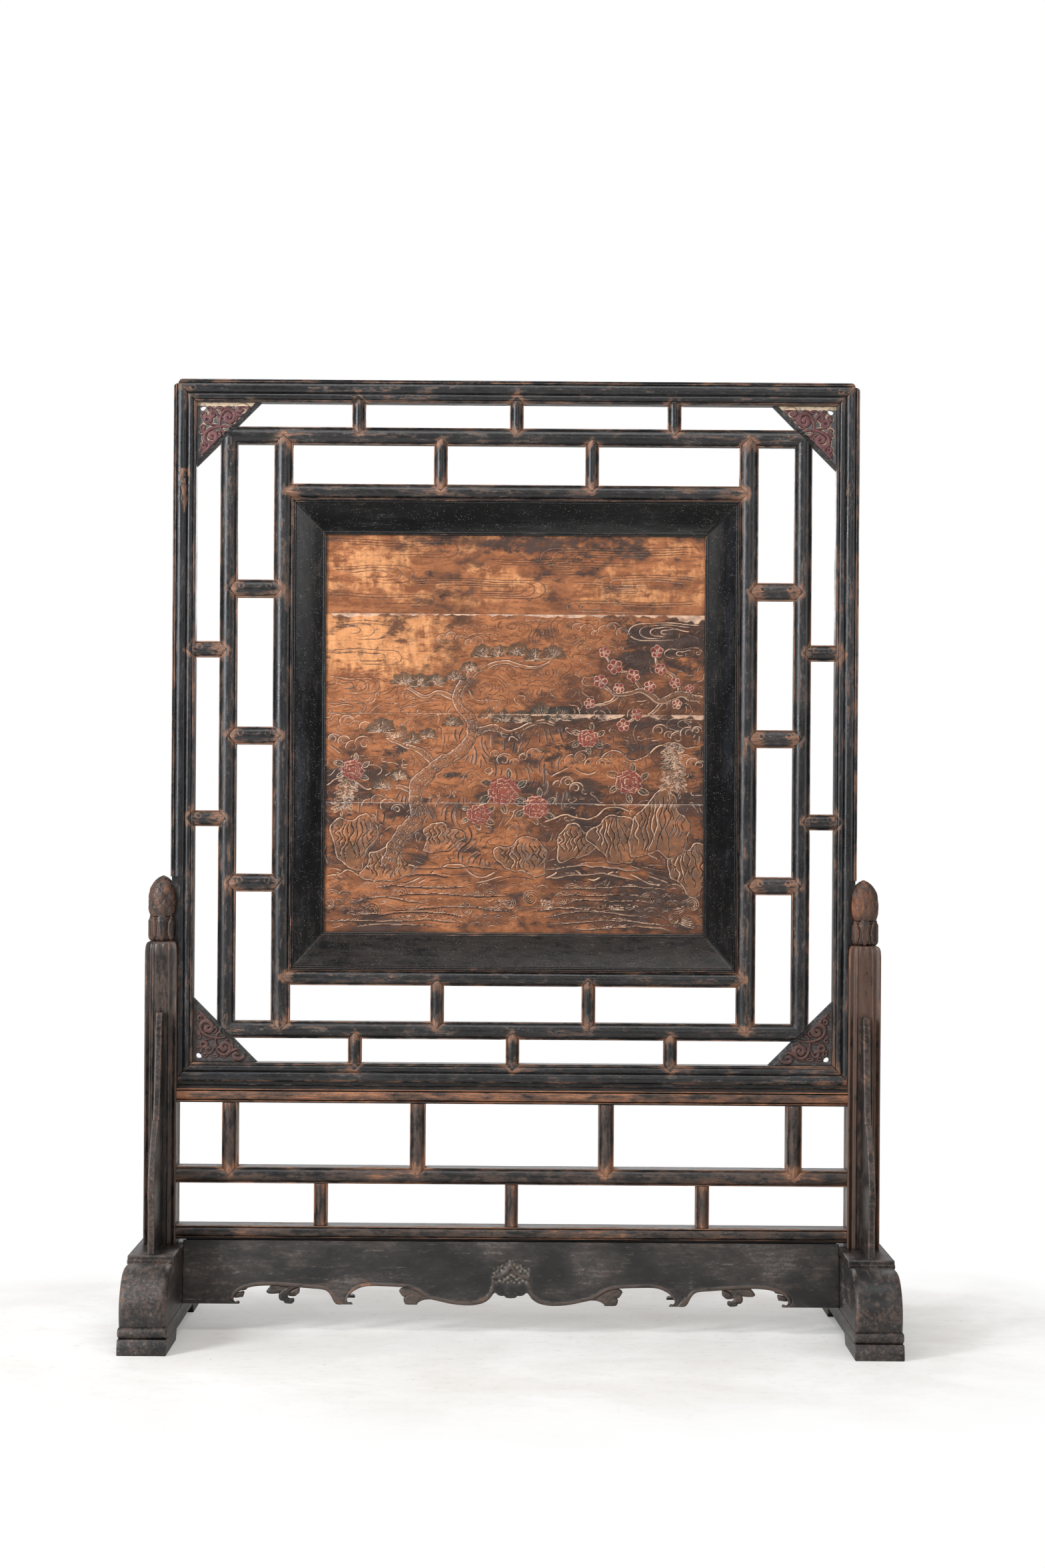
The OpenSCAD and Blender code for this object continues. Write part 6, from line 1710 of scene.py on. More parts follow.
def carve():
    c = Canvas()
    R = np.random.default_rng(23)

    def limb(pts, w0, w1, seed, bark=True, pale=0.85):
        """A bough between two cut lines, with curved bark scales."""
        p = wig(pts, 3.0, seed, 20, 10)
        t = np.linspace(0, 1, len(p))[:, None]
        T = np.gradient(p, axis=0)
        T /= np.maximum(np.linalg.norm(T, axis=1), 1e-6)[:, None]
        N = np.stack([-T[:, 1], T[:, 0]], 1)
        kn = vnoise(np.column_stack([p / 9.0, np.full(len(p), seed)]), seed)[:, None]
        hw = (w0 + (w1 - w0) * t) * (0.8 + 0.5 * kn)
        a, b = p + N * hw, p - N * hw
        c.line(a, w=1.25, depth=1.3, pale=pale, side=-1, dark=0.6, taper=(0.02, 0.05), rel=0.9, reach=4)
        c.line(b, w=1.25, depth=1.3, pale=pale * 0.8, side=1, dark=0.75, taper=(0.02, 0.05), rel=0.9, reach=4, shade=0.5)
        if bark and w0 > 4:
            for j in range(1, int(len(p) * 0.97), 2):
                for off in np.linspace(-0.6, 0.6, max(1, int(hw[j, 0] / 3.2))) + R.uniform(-0.12, 0.12):
                    q = p[j] + N[j] * hw[j] * off
                    s = min(4.6, hw[j, 0] * R.uniform(0.24, 0.42))
                    th = np.linspace(-0.6, math.pi + 0.6, 9) + math.atan2(T[j][1], T[j][0]) - math.pi / 2
                    c.line(np.stack([q[0] + s * np.cos(th), q[1] + s * np.sin(th)], 1), w=0.8, depth=0.7, pale=R.uniform(0.2, 0.7), dark=0.6, taper=(0, 0), rel=0.3)
        c.fill(np.concatenate([a, b[::-1]]), "dark", 0.38, 1.2, 2.2, raise_=1.7, hide=True)
        return p

    def fan(cx, cz, r, a0, a1, green=0.75, dense=19):
        th = np.linspace(a0, a1, 16)
        rr = r * (1 + 0.07 * np.sin(th * 9))
        arc_ = np.stack([cx + rr * np.cos(th), cz + rr * np.sin(th)], 1)
        poly = np.concatenate([[[cx, cz - 1.5]], arc_])
        for a in np.linspace(a0, a1, dense):
            k = r * R.uniform(0.8, 1.1)
            bend = R.uniform(-0.08, 0.08)
            c.line([(cx + 2.5 * math.cos(a), cz + 2.5 * math.sin(a)), (cx + k * 0.5 * math.cos(a + bend), cz + k * 0.5 * math.sin(a + bend)), (cx + k * math.cos(a), cz + k * math.sin(a))], w=0.75, depth=0.8, pale=R.uniform(0.35, 0.85), dark=0.4, taper=(0, 0.3), rel=0.25, reach=2)
        c.fill(poly, "green", green, 2.5, 3.0, raise_=0.8, hide=True)

    def blossom(cx, cz, r, red=0.9, seed=0.0):
        for i in range(5):
            a = i * 2 * math.pi / 5 + seed
            px, pz = cx + r * 0.60 * math.cos(a), cz + r * 0.60 * math.sin(a)
            th = np.linspace(0, 2 * math.pi, 13)
            ring = np.stack([px + r * 0.46 * np.cos(th), pz + r * 0.46 * np.sin(th)], 1)
            c.line(ring, w=0.9, depth=0.9, pale=0.75, taper=(0, 0), dark=0.5)
            c.fill(ring[:-1], "red", red, 1.0, 1.0, raise_=0.9)
        for i in range(5):
            a = i * 2 * math.pi / 5 + seed
            c.line([(cx, cz), (cx + r * 0.42 * math.cos(a), cz + r * 0.42 * math.sin(a))], w=0.7, depth=0.7, pale=0.7, taper=(0, 0))
        th = np.linspace(0, 2 * math.pi, 15)
        c.fill(np.stack([cx + r * np.cos(th[:-1]), cz + r * np.sin(th[:-1])], 1), None, 0, 1, hide=True)

    def leaf(lx, lz, ex, ez, fat=0.26, green=0.75):
        m = ((lx + ex) / 2, (lz + ez) / 2)
        nx_, nz_ = -(ez - lz) * fat, (ex - lx) * fat
        o = spline([(lx, lz), (m[0] + nx_, m[1] + nz_), (ex, ez), (m[0] - nx_, m[1] - nz_)], 6, True)
        c.line(np.concatenate([o, o[:1]]), w=0.95, depth=0.9, pale=0.75, taper=(0, 0))
        c.line([(lx, lz), m, (ex, ez)], w=0.8, depth=0.7, pale=0.6, taper=(0, 0.2))
        for k in (0.3, 0.5, 0.7):
            q = (lx + (ex - lx) * k, lz + (ez - lz) * k)
            for s in (-0.55, 0.55):
                c.line([q, (q[0] + s * nx_ + (ex - lx) * 0.12, q[1] + s * nz_ + (ez - lz) * 0.12)], w=0.7, depth=0.5, pale=0.45, taper=(0, 0.2), own=0)
        c.fill(o, "green", green, 1.2, 1.5, raise_=0.8, hide=True)

    def peony(cx, cz, r, red=0.85, seed=0):
        for ring, n, f in ((1.0, 8, 0.36), (0.68, 6, 0.32), (0.36, 4, 0.26)):
            off = R.uniform(0, 6)
            for i in range(n):
                a = off + i * 2 * math.pi / n + R.uniform(-0.1, 0.1)
                px, pz = cx + r * (ring - 0.24) * math.cos(a), cz + r * (ring - 0.24) * 0.82 * math.sin(a)
                th = np.linspace(a - 1.65, a + 1.65, 17)
                rf = r * f * R.uniform(0.88, 1.12)
                q = np.stack([px + rf * np.cos(th) * (1 + 0.14 * np.cos(5 * th)), pz + rf * 0.9 * np.sin(th) * (1 + 0.14 * np.cos(5 * th))], 1)
                c.line(q, w=1.0, depth=1.1, pale=0.85, dark=0.7, taper=(0.06, 0.06), rel=0.8, reach=3.5, side=1, clip=False)
                for k in (-0.5, 0.0, 0.5):
                    c.line([(px + rf * 0.45 * math.cos(a + k), pz + rf * 0.45 * math.sin(a + k)), (px + rf * 0.85 * math.cos(a + 1.1 * k), pz + rf * 0.85 * math.sin(a + 1.1 * k))], w=0.7, depth=0.5, pale=0.5, dark=0.3, own=0, clip=False)
        th = np.linspace(0, 2 * math.pi, 19)[:-1]
        o = np.stack([cx + r * (1.06 + 0.05 * np.cos(8 * th)) * np.cos(th), cz + r * 0.9 * (1.06 + 0.05 * np.cos(8 * th)) * np.sin(th)], 1)
        c.fill(o, "red", red, 2.0, 4.0, raise_=1.4, hide=True)
        for a in (0.3, 1.2, 2.5, 3.5, 4.6, 5.5):
            s = R.uniform(0.8, 1.15)
            leaf(cx + r * 0.98 * math.cos(a), cz + r * 0.86 * math.sin(a), cx + r * (0.98 + 0.85 * s) * math.cos(a + 0.2), cz + r * (0.86 + 0.7 * s) * math.sin(a + 0.2))

    def rock(cx, cz, sx, sz, seed, dark=0.5, lean=0.0):
        """A tall rock: a broken outline, and folds that fall from its crest with deep shade beside them."""
        th = np.linspace(0, 2 * math.pi, 17)[:-1]
        rr = 1 + 0.17 * np.sin(3 * th + seed) + 0.12 * np.sin(5 * th + 2.3 * seed)
        o = wig(np.stack([cx + sx * rr * np.cos(th) + lean * sz * np.sin(th), cz + sz * rr * np.sin(th)], 1), 4.0, seed, 15, 7, True)
        for k in range(int(sx / 4.6)):
            f = -0.9 + 1.8 * (k + 0.5) / int(sx / 4.6)
            h = sz * math.sqrt(max(0.05, 1 - f * f))
            n = 8
            y0, y1 = R.uniform(0.78, 1.02), R.uniform(-1.0, -0.2)
            q = [(cx + sx * f * (1 - 0.10 * j / n) + lean * h * (y0 + (y1 - y0) * j / n) + 3.6 * math.sin(j * 1.5 + k * 0.7 + seed), cz + h * (y0 + (y1 - y0) * j / n)) for j in range(n + 1)]
            q = wig(q, 2.6, seed + k, 12, 6)
            q = q[inside(q, o)]
            if len(q) > 6:
                c.line(q, w=R.uniform(0.8, 1.35), depth=1.6, pale=R.uniform(0.35, 0.95), rel=1.7, reach=7.0, shade=R.uniform(0.5, 0.95), side=1 if f < 0 else -1, dark=0.8)
        c.line(np.concatenate([o, o[:1]]), w=1.2, depth=1.7, pale=0.72, taper=(0, 0), dark=0.85, side=1, rel=1.0)
        c.fill(o, "dark", dark * 0.22, 4.0, 9.0, raise_=2.0, hide=True)

    def bamboo(x, z, L, lean, seed):
        for k in range(3, 11):
            t = k / 10
            bx, bz = x + lean * L * t, z + L * t
            for s in (-1, 1):
                for q in range(2):
                    l = R.uniform(17, 27)
                    an = 0.3 + 0.55 * q + R.uniform(-0.15, 0.15)
                    leaf(bx, bz, bx + s * l * math.cos(an), bz - l * math.sin(an) * 0.9, 0.11, 0.7)
        for o in (-1.8, 1.8):
            c.line(wig([(x + o, z), (x + o + lean * L * 0.5, z + L * 0.5), (x + lean * L + o * 0.4, z + L)], 0.6, seed, 30, 8), w=0.9, depth=0.9, pale=0.75, dark=0.4, taper=(0, 0.1))

    def cloud(centres, r, seed, pale=0.8, curl=True, squash=0.82):
        """A bank of rolling cloud: the outline of many rounds, each with its own curl."""
        C = [(x, z, r * R.uniform(0.72, 1.3)) for x, z in centres]
        for i, (x, z, q) in enumerate(C):
            th = np.linspace(0, 2 * math.pi, 40)
            e = np.stack([x + q * np.cos(th), z + squash * q * np.sin(th)], 1)
            ok = np.ones(len(e), bool)
            for k, (x2, z2, q2) in enumerate(C):
                if k > i:
                    ok &= np.hypot(e[:, 0] - x2, (e[:, 1] - z2) / squash) > q2
            ok &= np.sin(th) > -0.55 + 0.25 * math.sin(i * 2.1 + seed)
            run = []
            for a in range(len(e)):
                if ok[a]:
                    run.append(e[a])
                if (not ok[a] or a == len(e) - 1) and run:
                    if len(run) > 3:
                        c.line(np.array(run), w=1.1, depth=1.2, pale=pale * R.uniform(0.75, 1.1), dark=0.6, rel=0.8, reach=3.5, side=1, taper=(0.1, 0.1))
                    run = []
            if curl:
                d = 1 if (i + seed) % 2 else -1
                f = R.uniform(0.55, 0.7)
                c.line(spiral(x + d * q * 0.12, z - q * 0.05, q * f, R.uniform(0.95, 1.35), (0.1 if d > 0 else math.pi - 0.1) + R.uniform(-0.5, 0.5), d, 24, 0.2), w=0.95, depth=1.0, pale=pale * R.uniform(0.5, 1.0), dark=0.5, rel=0.6, reach=2.5, side=-d, clip=True, taper=(0.05, 0.2))
        for x, z, q in C:
            th = np.linspace(0, 2 * math.pi, 15)[:-1]
            c.fill(np.stack([x + q * np.cos(th), z + squash * q * np.sin(th)], 1), None, 0, 1.0, raise_=0.5, hide=True)

    def streams(ang, ok, sep, tries, style, longest=60, least=4, step=2.4, curl=0.0, box=(-388, 388, 816, 1472)):
        """Lines that follow a field of directions and keep apart from each other and from all that is drawn."""
        xs, zs = R.uniform(box[0], box[1], tries), R.uniform(box[2], box[3], tries)
        rnd = R.uniform(0, 1, (tries, 4))

        def at(a, x, z):
            k = min(max(int(round((z - 808) / c.dz)), 0), c.nz - 1)
            j = min(max(int(round((x + 397) / c.dx)), 0), c.nx - 1)
            return a[k, j]
        for i in range(tries):
            if at(c.taken, xs[i], zs[i]) or at(ok, xs[i], zs[i]) < rnd[i, 0]:
                continue
            arms = []
            for sgn in (1, -1):
                px, pz, out, turned, last = xs[i], zs[i], [], 0.0, None
                top = int(longest * (0.3 + 0.7 * rnd[i, 1]) * 0.5)
                for s in range(top):
                    a = at(ang, px, pz)
                    if last is not None:
                        turned += abs(math.atan2(math.sin(a - last), math.cos(a - last)))
                        if turned > 5.2:
                            break
                    last = a
                    px, pz = px + sgn * step * math.cos(a), pz + sgn * step * math.sin(a)
                    if abs(px) > 391 or pz < box[2] or pz > box[3] or at(c.taken, px, pz) or at(ok, px, pz) <= 0.02:
                        break
                    out.append((px, pz))
                arms.append(out)
            pts = arms[1][::-1] + [(xs[i], zs[i])] + arms[0]
            if len(pts) < least:
                continue
            if rnd[i, 2] < curl and len(pts) > 3:
                (x1, z1), (x0, z0) = pts[-1], pts[-3]
                a = math.atan2(z1 - z0, x1 - x0)
                tn = 1 if rnd[i, 3] < 0.5 else -1
                for s in range(9):
                    a += tn * (0.42 + 0.06 * s)
                    x1, z1 = x1 + (2.6 - 0.13 * s) * math.cos(a), z1 + (2.6 - 0.13 * s) * math.sin(a)
                    pts.append((x1, z1))
            c.line(np.array(pts), own=sep, **style(xs[i], zs[i], rnd[i]))

    gx, gz = c.XX.ravel(), c.ZZ.ravel()

    def grid_noise(sx, sz, seed, o=3):
        return fbm(np.column_stack([gx / sx, gz / sz, np.zeros(gx.size) + seed]), seed, o).reshape(c.XX.shape)

    # ---- in front: an old pine, flowers, a blossoming branch, bamboo
    peony(-22, 1108, 30, 0.9, 1)
    peony(44, 1076, 25, 0.75, 2)
    peony(-74, 1060, 22, 0.85, 3)
    peony(236, 1128, 26, 0.85, 4)
    peony(-334, 1150, 22, 0.7, 5)
    peony(152, 1218, 20, 0.8, 6)
    for k, (x, z, r) in enumerate(((-276, 1228, 31), (-244, 1216, 28), (-212, 1206, 24), (92, 1254, 30), (56, 1264, 28), (18, 1250, 26), (-22, 1250, 25), (-54, 1258, 22), (-230, 1326, 28), (-196, 1322, 27), (-164, 1324, 26), (78, 1382, 28), (42, 1378, 26), (6, 1388, 27), (-32, 1386, 25), (-66, 1384, 27), (-270, 1112, 26), (-238, 1130, 24), (-128, 1242, 22), (-122, 1336, 23), (-94, 1354, 22), (-180, 1216, 22))):
        fan(x, z, r, 0.0, math.pi, green=(0.9, 0.6, 0.75)[k % 3])
    limb([(-262, 946), (-236, 1010), (-198, 1056), (-206, 1112), (-162, 1160), (-106, 1196), (-88, 1246), (-118, 1290), (-102, 1338), (-58, 1368)], 17, 6, 301)
    limb([(-162, 1162), (-200, 1192), (-236, 1202), (-276, 1226)], 6.5, 2.4, 311)
    limb([(-96, 1222), (-48, 1238), (-6, 1230), (44, 1252), (88, 1246)], 7, 2.4, 321)
    limb([(-112, 1290), (-150, 1310), (-190, 1304), (-226, 1322)], 5, 2, 331, False)
    limb([(-60, 1364), (-14, 1374), (34, 1362), (74, 1376)], 4.6, 1.8, 341, False)
    limb([(-202, 1106), (-236, 1116), (-268, 1106)], 4.6, 1.8, 351, False)
    for k, (x, z, r, rd) in enumerate(((176, 1336, 14, .9), (206, 1366, 15, .8), (184, 1396, 11, .7), (244, 1348, 13, .95), (292, 1398, 13, .8), (300, 1362, 12, .9), (224, 1246, 13, .75), (252, 1268, 12, .9), (154, 1290, 11, .8), (278, 1326, 12, .7), (330, 1334, 11, .8), (334, 1290, 10, .6), (214, 1322, 11, .8), (360, 1322, 9, .7))):
        blossom(x, z, r, rd, k * 0.7)
    limb([(388, 1296), (342, 1310), (300, 1296), (262, 1318), (214, 1308), (176, 1330)], 7.5, 2.2, 401, True)
    for q in ([(304, 1296), (282, 1270), (246, 1262), (220, 1240)], [(264, 1316), (240, 1350), (206, 1362), (186, 1388)], [(342, 1310), (330, 1346), (296, 1366), (288, 1392)], [(214, 1308), (190, 1290), (156, 1286)]):
        limb(q, 3.6, 1.5, 411 + int(q[0][0]), False)
    bamboo(342, 1096, 104, -0.16, 501)
    bamboo(318, 1090, 120, 0.06, 503)
    bamboo(-356, 1054, 76, 0.14, 505)

    # ---- rocks in the middle ground
    rock(300, 1034, 60, 66, 3, 0.6, 0.1)
    rock(206, 1012, 44, 50, 5, 0.45, -0.1)
    rock(126, 1002, 42, 36, 8, 0.4, 0.15)
    rock(362, 952, 44, 50, 12, 0.55, -0.05)
    rock(-330, 1006, 46, 54, 6, 0.4, 0.12)
    rock(-262, 952, 50, 34, 9, 0.35, 0.1)
    rock(20, 972, 54, 36, 11, 0.4, -0.12)
    rock(-150, 1010, 40, 30, 14, 0.3, 0.1)

    # ---- cloud banks
    cloud([(-384 + k * 19, 1246 + 8 * math.sin(k * 1.3)) for k in range(5)], 14, 1)
    cloud([(-372 + k * 20, 1206 + 9 * math.sin(k * 1.7 + 1)) for k in range(4)], 15, 2)
    cloud([(120 + k * 21, 1170 + 9 * math.sin(k * 1.9)) for k in range(4)], 15, 3, 0.7)
    cloud([(300 + k * 19, 1228 + 8 * math.sin(k * 1.5 + 2)) for k in range(5)], 14, 4, 0.8)
    cloud([(-150 + k * 18, 1420 + 7 * math.sin(k * 1.4)) for k in range(5)], 11, 5, 0.5)
    cloud([(130 + k * 18, 1440 + 6 * math.sin(k * 1.8 + 1)) for k in range(6)], 12, 6, 0.6)
    cloud([(-300 + k * 20, 1078 + 9 * math.sin(k * 1.6)) for k in range(4)], 14, 7, 0.8)
    cloud([(90 + k * 19, 1122 + 7 * math.sin(k * 2.1)) for k in range(3)], 13, 8, 0.8)
    cloud([(-40 + k * 20, 1176 + 9 * math.sin(k * 1.5 + 2)) for k in range(5)], 14, 9, 0.8)
    cloud([(352 + k * 16, 1170 + 6 * math.sin(k * 1.5 + 2)) for k in range(3)], 13, 10, 0.8)

    # ---- long low banks that lie across the water, lit above and dark beneath
    for k, z in enumerate((822, 834, 847, 860, 874, 889, 905, 926, 944)):
        for m in range(2):
            x0 = -392 + m * 400 + R.uniform(0, 120)
            x1 = min(392, x0 + R.uniform(170, 330))
            t = np.linspace(0, 1, 9)
            lift = R.uniform(5, 13)
            zz = z + lift * np.sin(t * math.pi) ** 0.8 + 2.2 * np.sin(t * 9 + k + 2 * m)
            b = wig(np.stack([x0 + (x1 - x0) * t, zz], 1), 2.2, 1200 + 7 * k + m, 18, 6)
            b = b[(np.abs(b[:, 0]) < 394) & (b[:, 1] > 812)]
            if len(b) < 8:
                continue
            c.line(b, w=R.uniform(1.0, 1.4), depth=1.6, pale=R.uniform(0.45, 0.95), rel=1.6, reach=R.uniform(5.0, 9.0), side=1, taper=(0.15, 0.15), dark=0.8, shade=R.uniform(0.5, 0.95))
            c.fill(np.concatenate([b, b[::-1] - np.array([0.0, 6.5])]), None, 0, 1.0, hide=True)

    # ---- water along the foot: rolling crests, and nested arcs behind them
    for k in range(17):
        x, z = -380 + k * 47 + R.uniform(-8, 8), R.uniform(838, 894)
        r = R.uniform(12, 20)
        d = 1 if R.uniform() < 0.75 else -1
        for f in (1.0, 0.68, 0.38):
            c.line(spiral(x, z, r * f, 0.75 + 0.3 * f, (math.pi * 0.95 if d > 0 else 0.15), -d, 22, 0.5), w=0.95, depth=1.3, pale=0.62, rel=1.2, reach=3.5, side=d, dark=0.8)
        for j in range(4):
            c.line(wig([(x - d * r, z - 3 * j), (x - d * (r + 14), z - 4 * j - 5), (x - d * (r + 36), z - 5 * j - 6)], 1.4, 700 + 9 * k + j, 14, 6), w=1.0, depth=1.0, pale=0.7, taper=(0.1, 0.5), dark=0.5)
        th = np.linspace(0, 6.1, 16)
        c.fill(np.stack([x + r * np.cos(th), z + r * np.sin(th)], 1), None, 0, 1.0, raise_=0.9, hide=True)
    rows = [(905 - row * 16, row) for row in range(6)]
    for z, row in rows[::-1]:
        for k in range(-13, 14):
            x = k * 30 + (row % 2) * 15 + R.uniform(-1.5, 1.5)
            if abs(x) > 390:
                continue
            for j, r in enumerate((16.5, 12.0, 7.6)):
                r *= R.uniform(0.94, 1.04)
                th = np.linspace(0.1, math.pi - 0.1, 14)
                c.line(np.stack([x + r * np.cos(th), z + 0.78 * r * np.sin(th)], 1), w=0.8, depth=1.0, pale=R.uniform(0.1, 0.65), dark=R.uniform(0.3, 0.8), taper=(0.15, 0.15), rel=0.5, reach=3, side=-1)
            th = np.linspace(0, 2 * math.pi, 15)[:-1]
            c.fill(np.stack([x + 17 * np.cos(th), z - 1.5 + 0.78 * 17 * np.sin(th)], 1), None, 0, 1.0, hide=True)

    # ---- long mist lines across the upper boards, doubled back in narrow loops
    def mist(x, z, L, n, gap, flip, seed, pale, w=1.15):
        for i in range(n):
            r = gap * (n - i) * 0.5
            xe, xs = x + flip * (L - i * gap * 1.6), x + flip * i * R.uniform(4, 22)
            k = np.linspace(0, 1, 12)
            up = np.stack([xs + (xe - xs) * k, z - i * gap * 0.5 + 3.0 * np.sin(k * 4.4 + seed) * (1 - k ** 3)], 1)
            yc = up[-1, 1] - r
            th = np.linspace(math.pi / 2, -math.pi / 2, 16)[1:-1]
            turn = np.stack([xe + flip * r * 1.7 * np.cos(th), yc + r * np.sin(th)], 1)
            back = R.uniform(0.35, 0.85)
            lo = np.stack([xe - (xe - xs) * k * back, yc - r + 2.0 * np.sin(k * 4 + seed) * k], 1)
            c.line(spline(np.concatenate([up, turn, lo]), 3), w=w, depth=1.05, pale=pale * R.uniform(0.6, 1.1), dark=0.6, taper=(0.05, 0.2), rel=0.6, reach=4, side=-flip)
    for x, z, L, n, gap, fl_, sd, pl in ((-388, 1622, 240, 3, 11, 1, 1, 0.3), (384, 1610, 300, 4, 10, -1, 2, 0.4), (-70, 1586, 210, 3, 10, 1, 3, 0.3), (-388, 1570, 150, 3, 11, 1, 4, 0.35),
                                         (384, 1552, 190, 3, 10, -1, 5, 0.5), (-230, 1542, 260, 4, 9, 1, 6, 0.4), (110, 1536, 150, 2, 12, 1, 7, 0.35), (-388, 1512, 200, 2, 12, 1, 8, 0.35),
                                         (384, 1500, 260, 2, 11, -1, 9, 0.45), (-388, 1456, 96, 3, 12, 1, 10, 0.3), (384, 1456, 120, 4, 9, -1, 11, 0.75), (-388, 1396, 130, 2, 14, 1, 12, 0.3),
                                         (384, 1404, 60, 2, 10, -1, 13, 0.7), (-388, 1340, 80, 3, 11, 1, 14, 0.45), (386, 1262, 50, 3, 9, -1, 15, 0.6), (-388, 1290, 62, 2, 11, 1, 16, 0.5)):
        mist(x, z, L, n, gap, fl_, sd, pl)

    # ---- behind: far ridges, their folds, and the drift of cloud between
    def ridge(pts, seed, amp=5.0, pale=0.8):
        p = wig(pts, amp, seed, 20, 12)
        c.line(p, w=1.4, depth=1.5, pale=pale, rel=1.6, reach=7.0, side=-1, taper=(0.04, 0.04), dark=0.7, shade=0.4)
    ridge([(-390, 1118), (-352, 1140), (-300, 1112), (-250, 1150), (-214, 1128)], 51)
    ridge([(72, 1138), (112, 1160), (160, 1144), (196, 1196), (250, 1176), (300, 1204), (352, 1200), (390, 1206)], 61)
    ridge([(60, 1046), (104, 1060), (150, 1050), (196, 1076), (240, 1070)], 81)
    ridge([(-390, 930), (-340, 942), (-290, 918), (-236, 914), (-180, 934), (-120, 958), (-70, 934), (-30, 944)], 91)
    ridge([(60, 930), (110, 950), (160, 926), (220, 944), (280, 920), (330, 908)], 101)
    pot = grid_noise(62, 44, 31, 2) * 60 + grid_noise(24, 18, 33, 2) * 9
    gzp, gxp = np.gradient(pot, c.dz, c.dx)
    swirl = np.arctan2(gxp, -gzp)
    fall = math.pi / 2 + 0.9 * (grid_noise(46, 70, 37, 2) - 0.5) * 2 + 0.5 * np.sin(c.ZZ / 13 + c.XX / 40)
    low = 0.7 * (grid_noise(70, 30, 39, 2) - 0.5) * 2 + 0.45 * np.sin(c.XX / 34 + c.ZZ / 20)
    where = grid_noise(95, 60, 41, 2)
    lower = sstep(985, 945, c.ZZ) * (c.ZZ > 868)
    steep = ((where > 0.56) & (c.ZZ < 1240) & (c.ZZ > 950)).astype(float)
    drift = sstep(1360, 1290, c.ZZ) + 0.9 * sstep(-130, -60, c.XX) * sstep(1476, 1440, c.ZZ)
    streams(fall, steep, 6.2, 2600, lambda x, z, r: dict(w=1.0 + 0.5 * r[1], depth=1.5, pale=0.25 + 0.65 * r[3] ** 2, dark=0.85, rel=1.3, reach=4.0, shade=0.9 * r[2], side=1), 52, 5)
    streams(low, lower, 6.0, 2200, lambda x, z, r: dict(w=0.85 + 0.5 * r[1], depth=1.2, pale=0.2 + 0.6 * r[3] ** 2, dark=0.7, rel=1.0, reach=3.5, shade=0.5 * r[2], side=-1), 90, 6)
    streams(swirl, np.clip(drift, 0, 1), 4.9, 9000, lambda x, z, r: dict(w=0.75 + 0.4 * r[1] ** 2, depth=1.0, pale=(0.15 + 0.6 * r[3] ** 2) * (1.0 if z < 1310 else 0.8), dark=0.65, rel=0.7, reach=2.6, shade=0.35 * r[2], side=1 if r[3] < 0.6 else -1), 46, 4, 2.4, 0.55)
    streams(low, 0.5 * sstep(1300, 1220, c.ZZ) + 0.35, 4.4, 2500, lambda x, z, r: dict(w=0.75, depth=0.8, pale=0.1 + 0.4 * r[3], dark=0.5, rel=0.4, reach=2.2, side=1), 14, 3, 2.2, 0.4, (-388, 388, 816, 1420))
    c.cut()
    return c


JOINTS = (871.0, 1083.0, 1268.0, 1473.0)
RED_SPOTS = ((-22, 1108, 24, 20), (236, 1128, 22, 18), (-334, 1150, 19, 16), (152, 1218, 17, 14), (44, 1076, 20, 16), (-74, 1060, 17, 14))


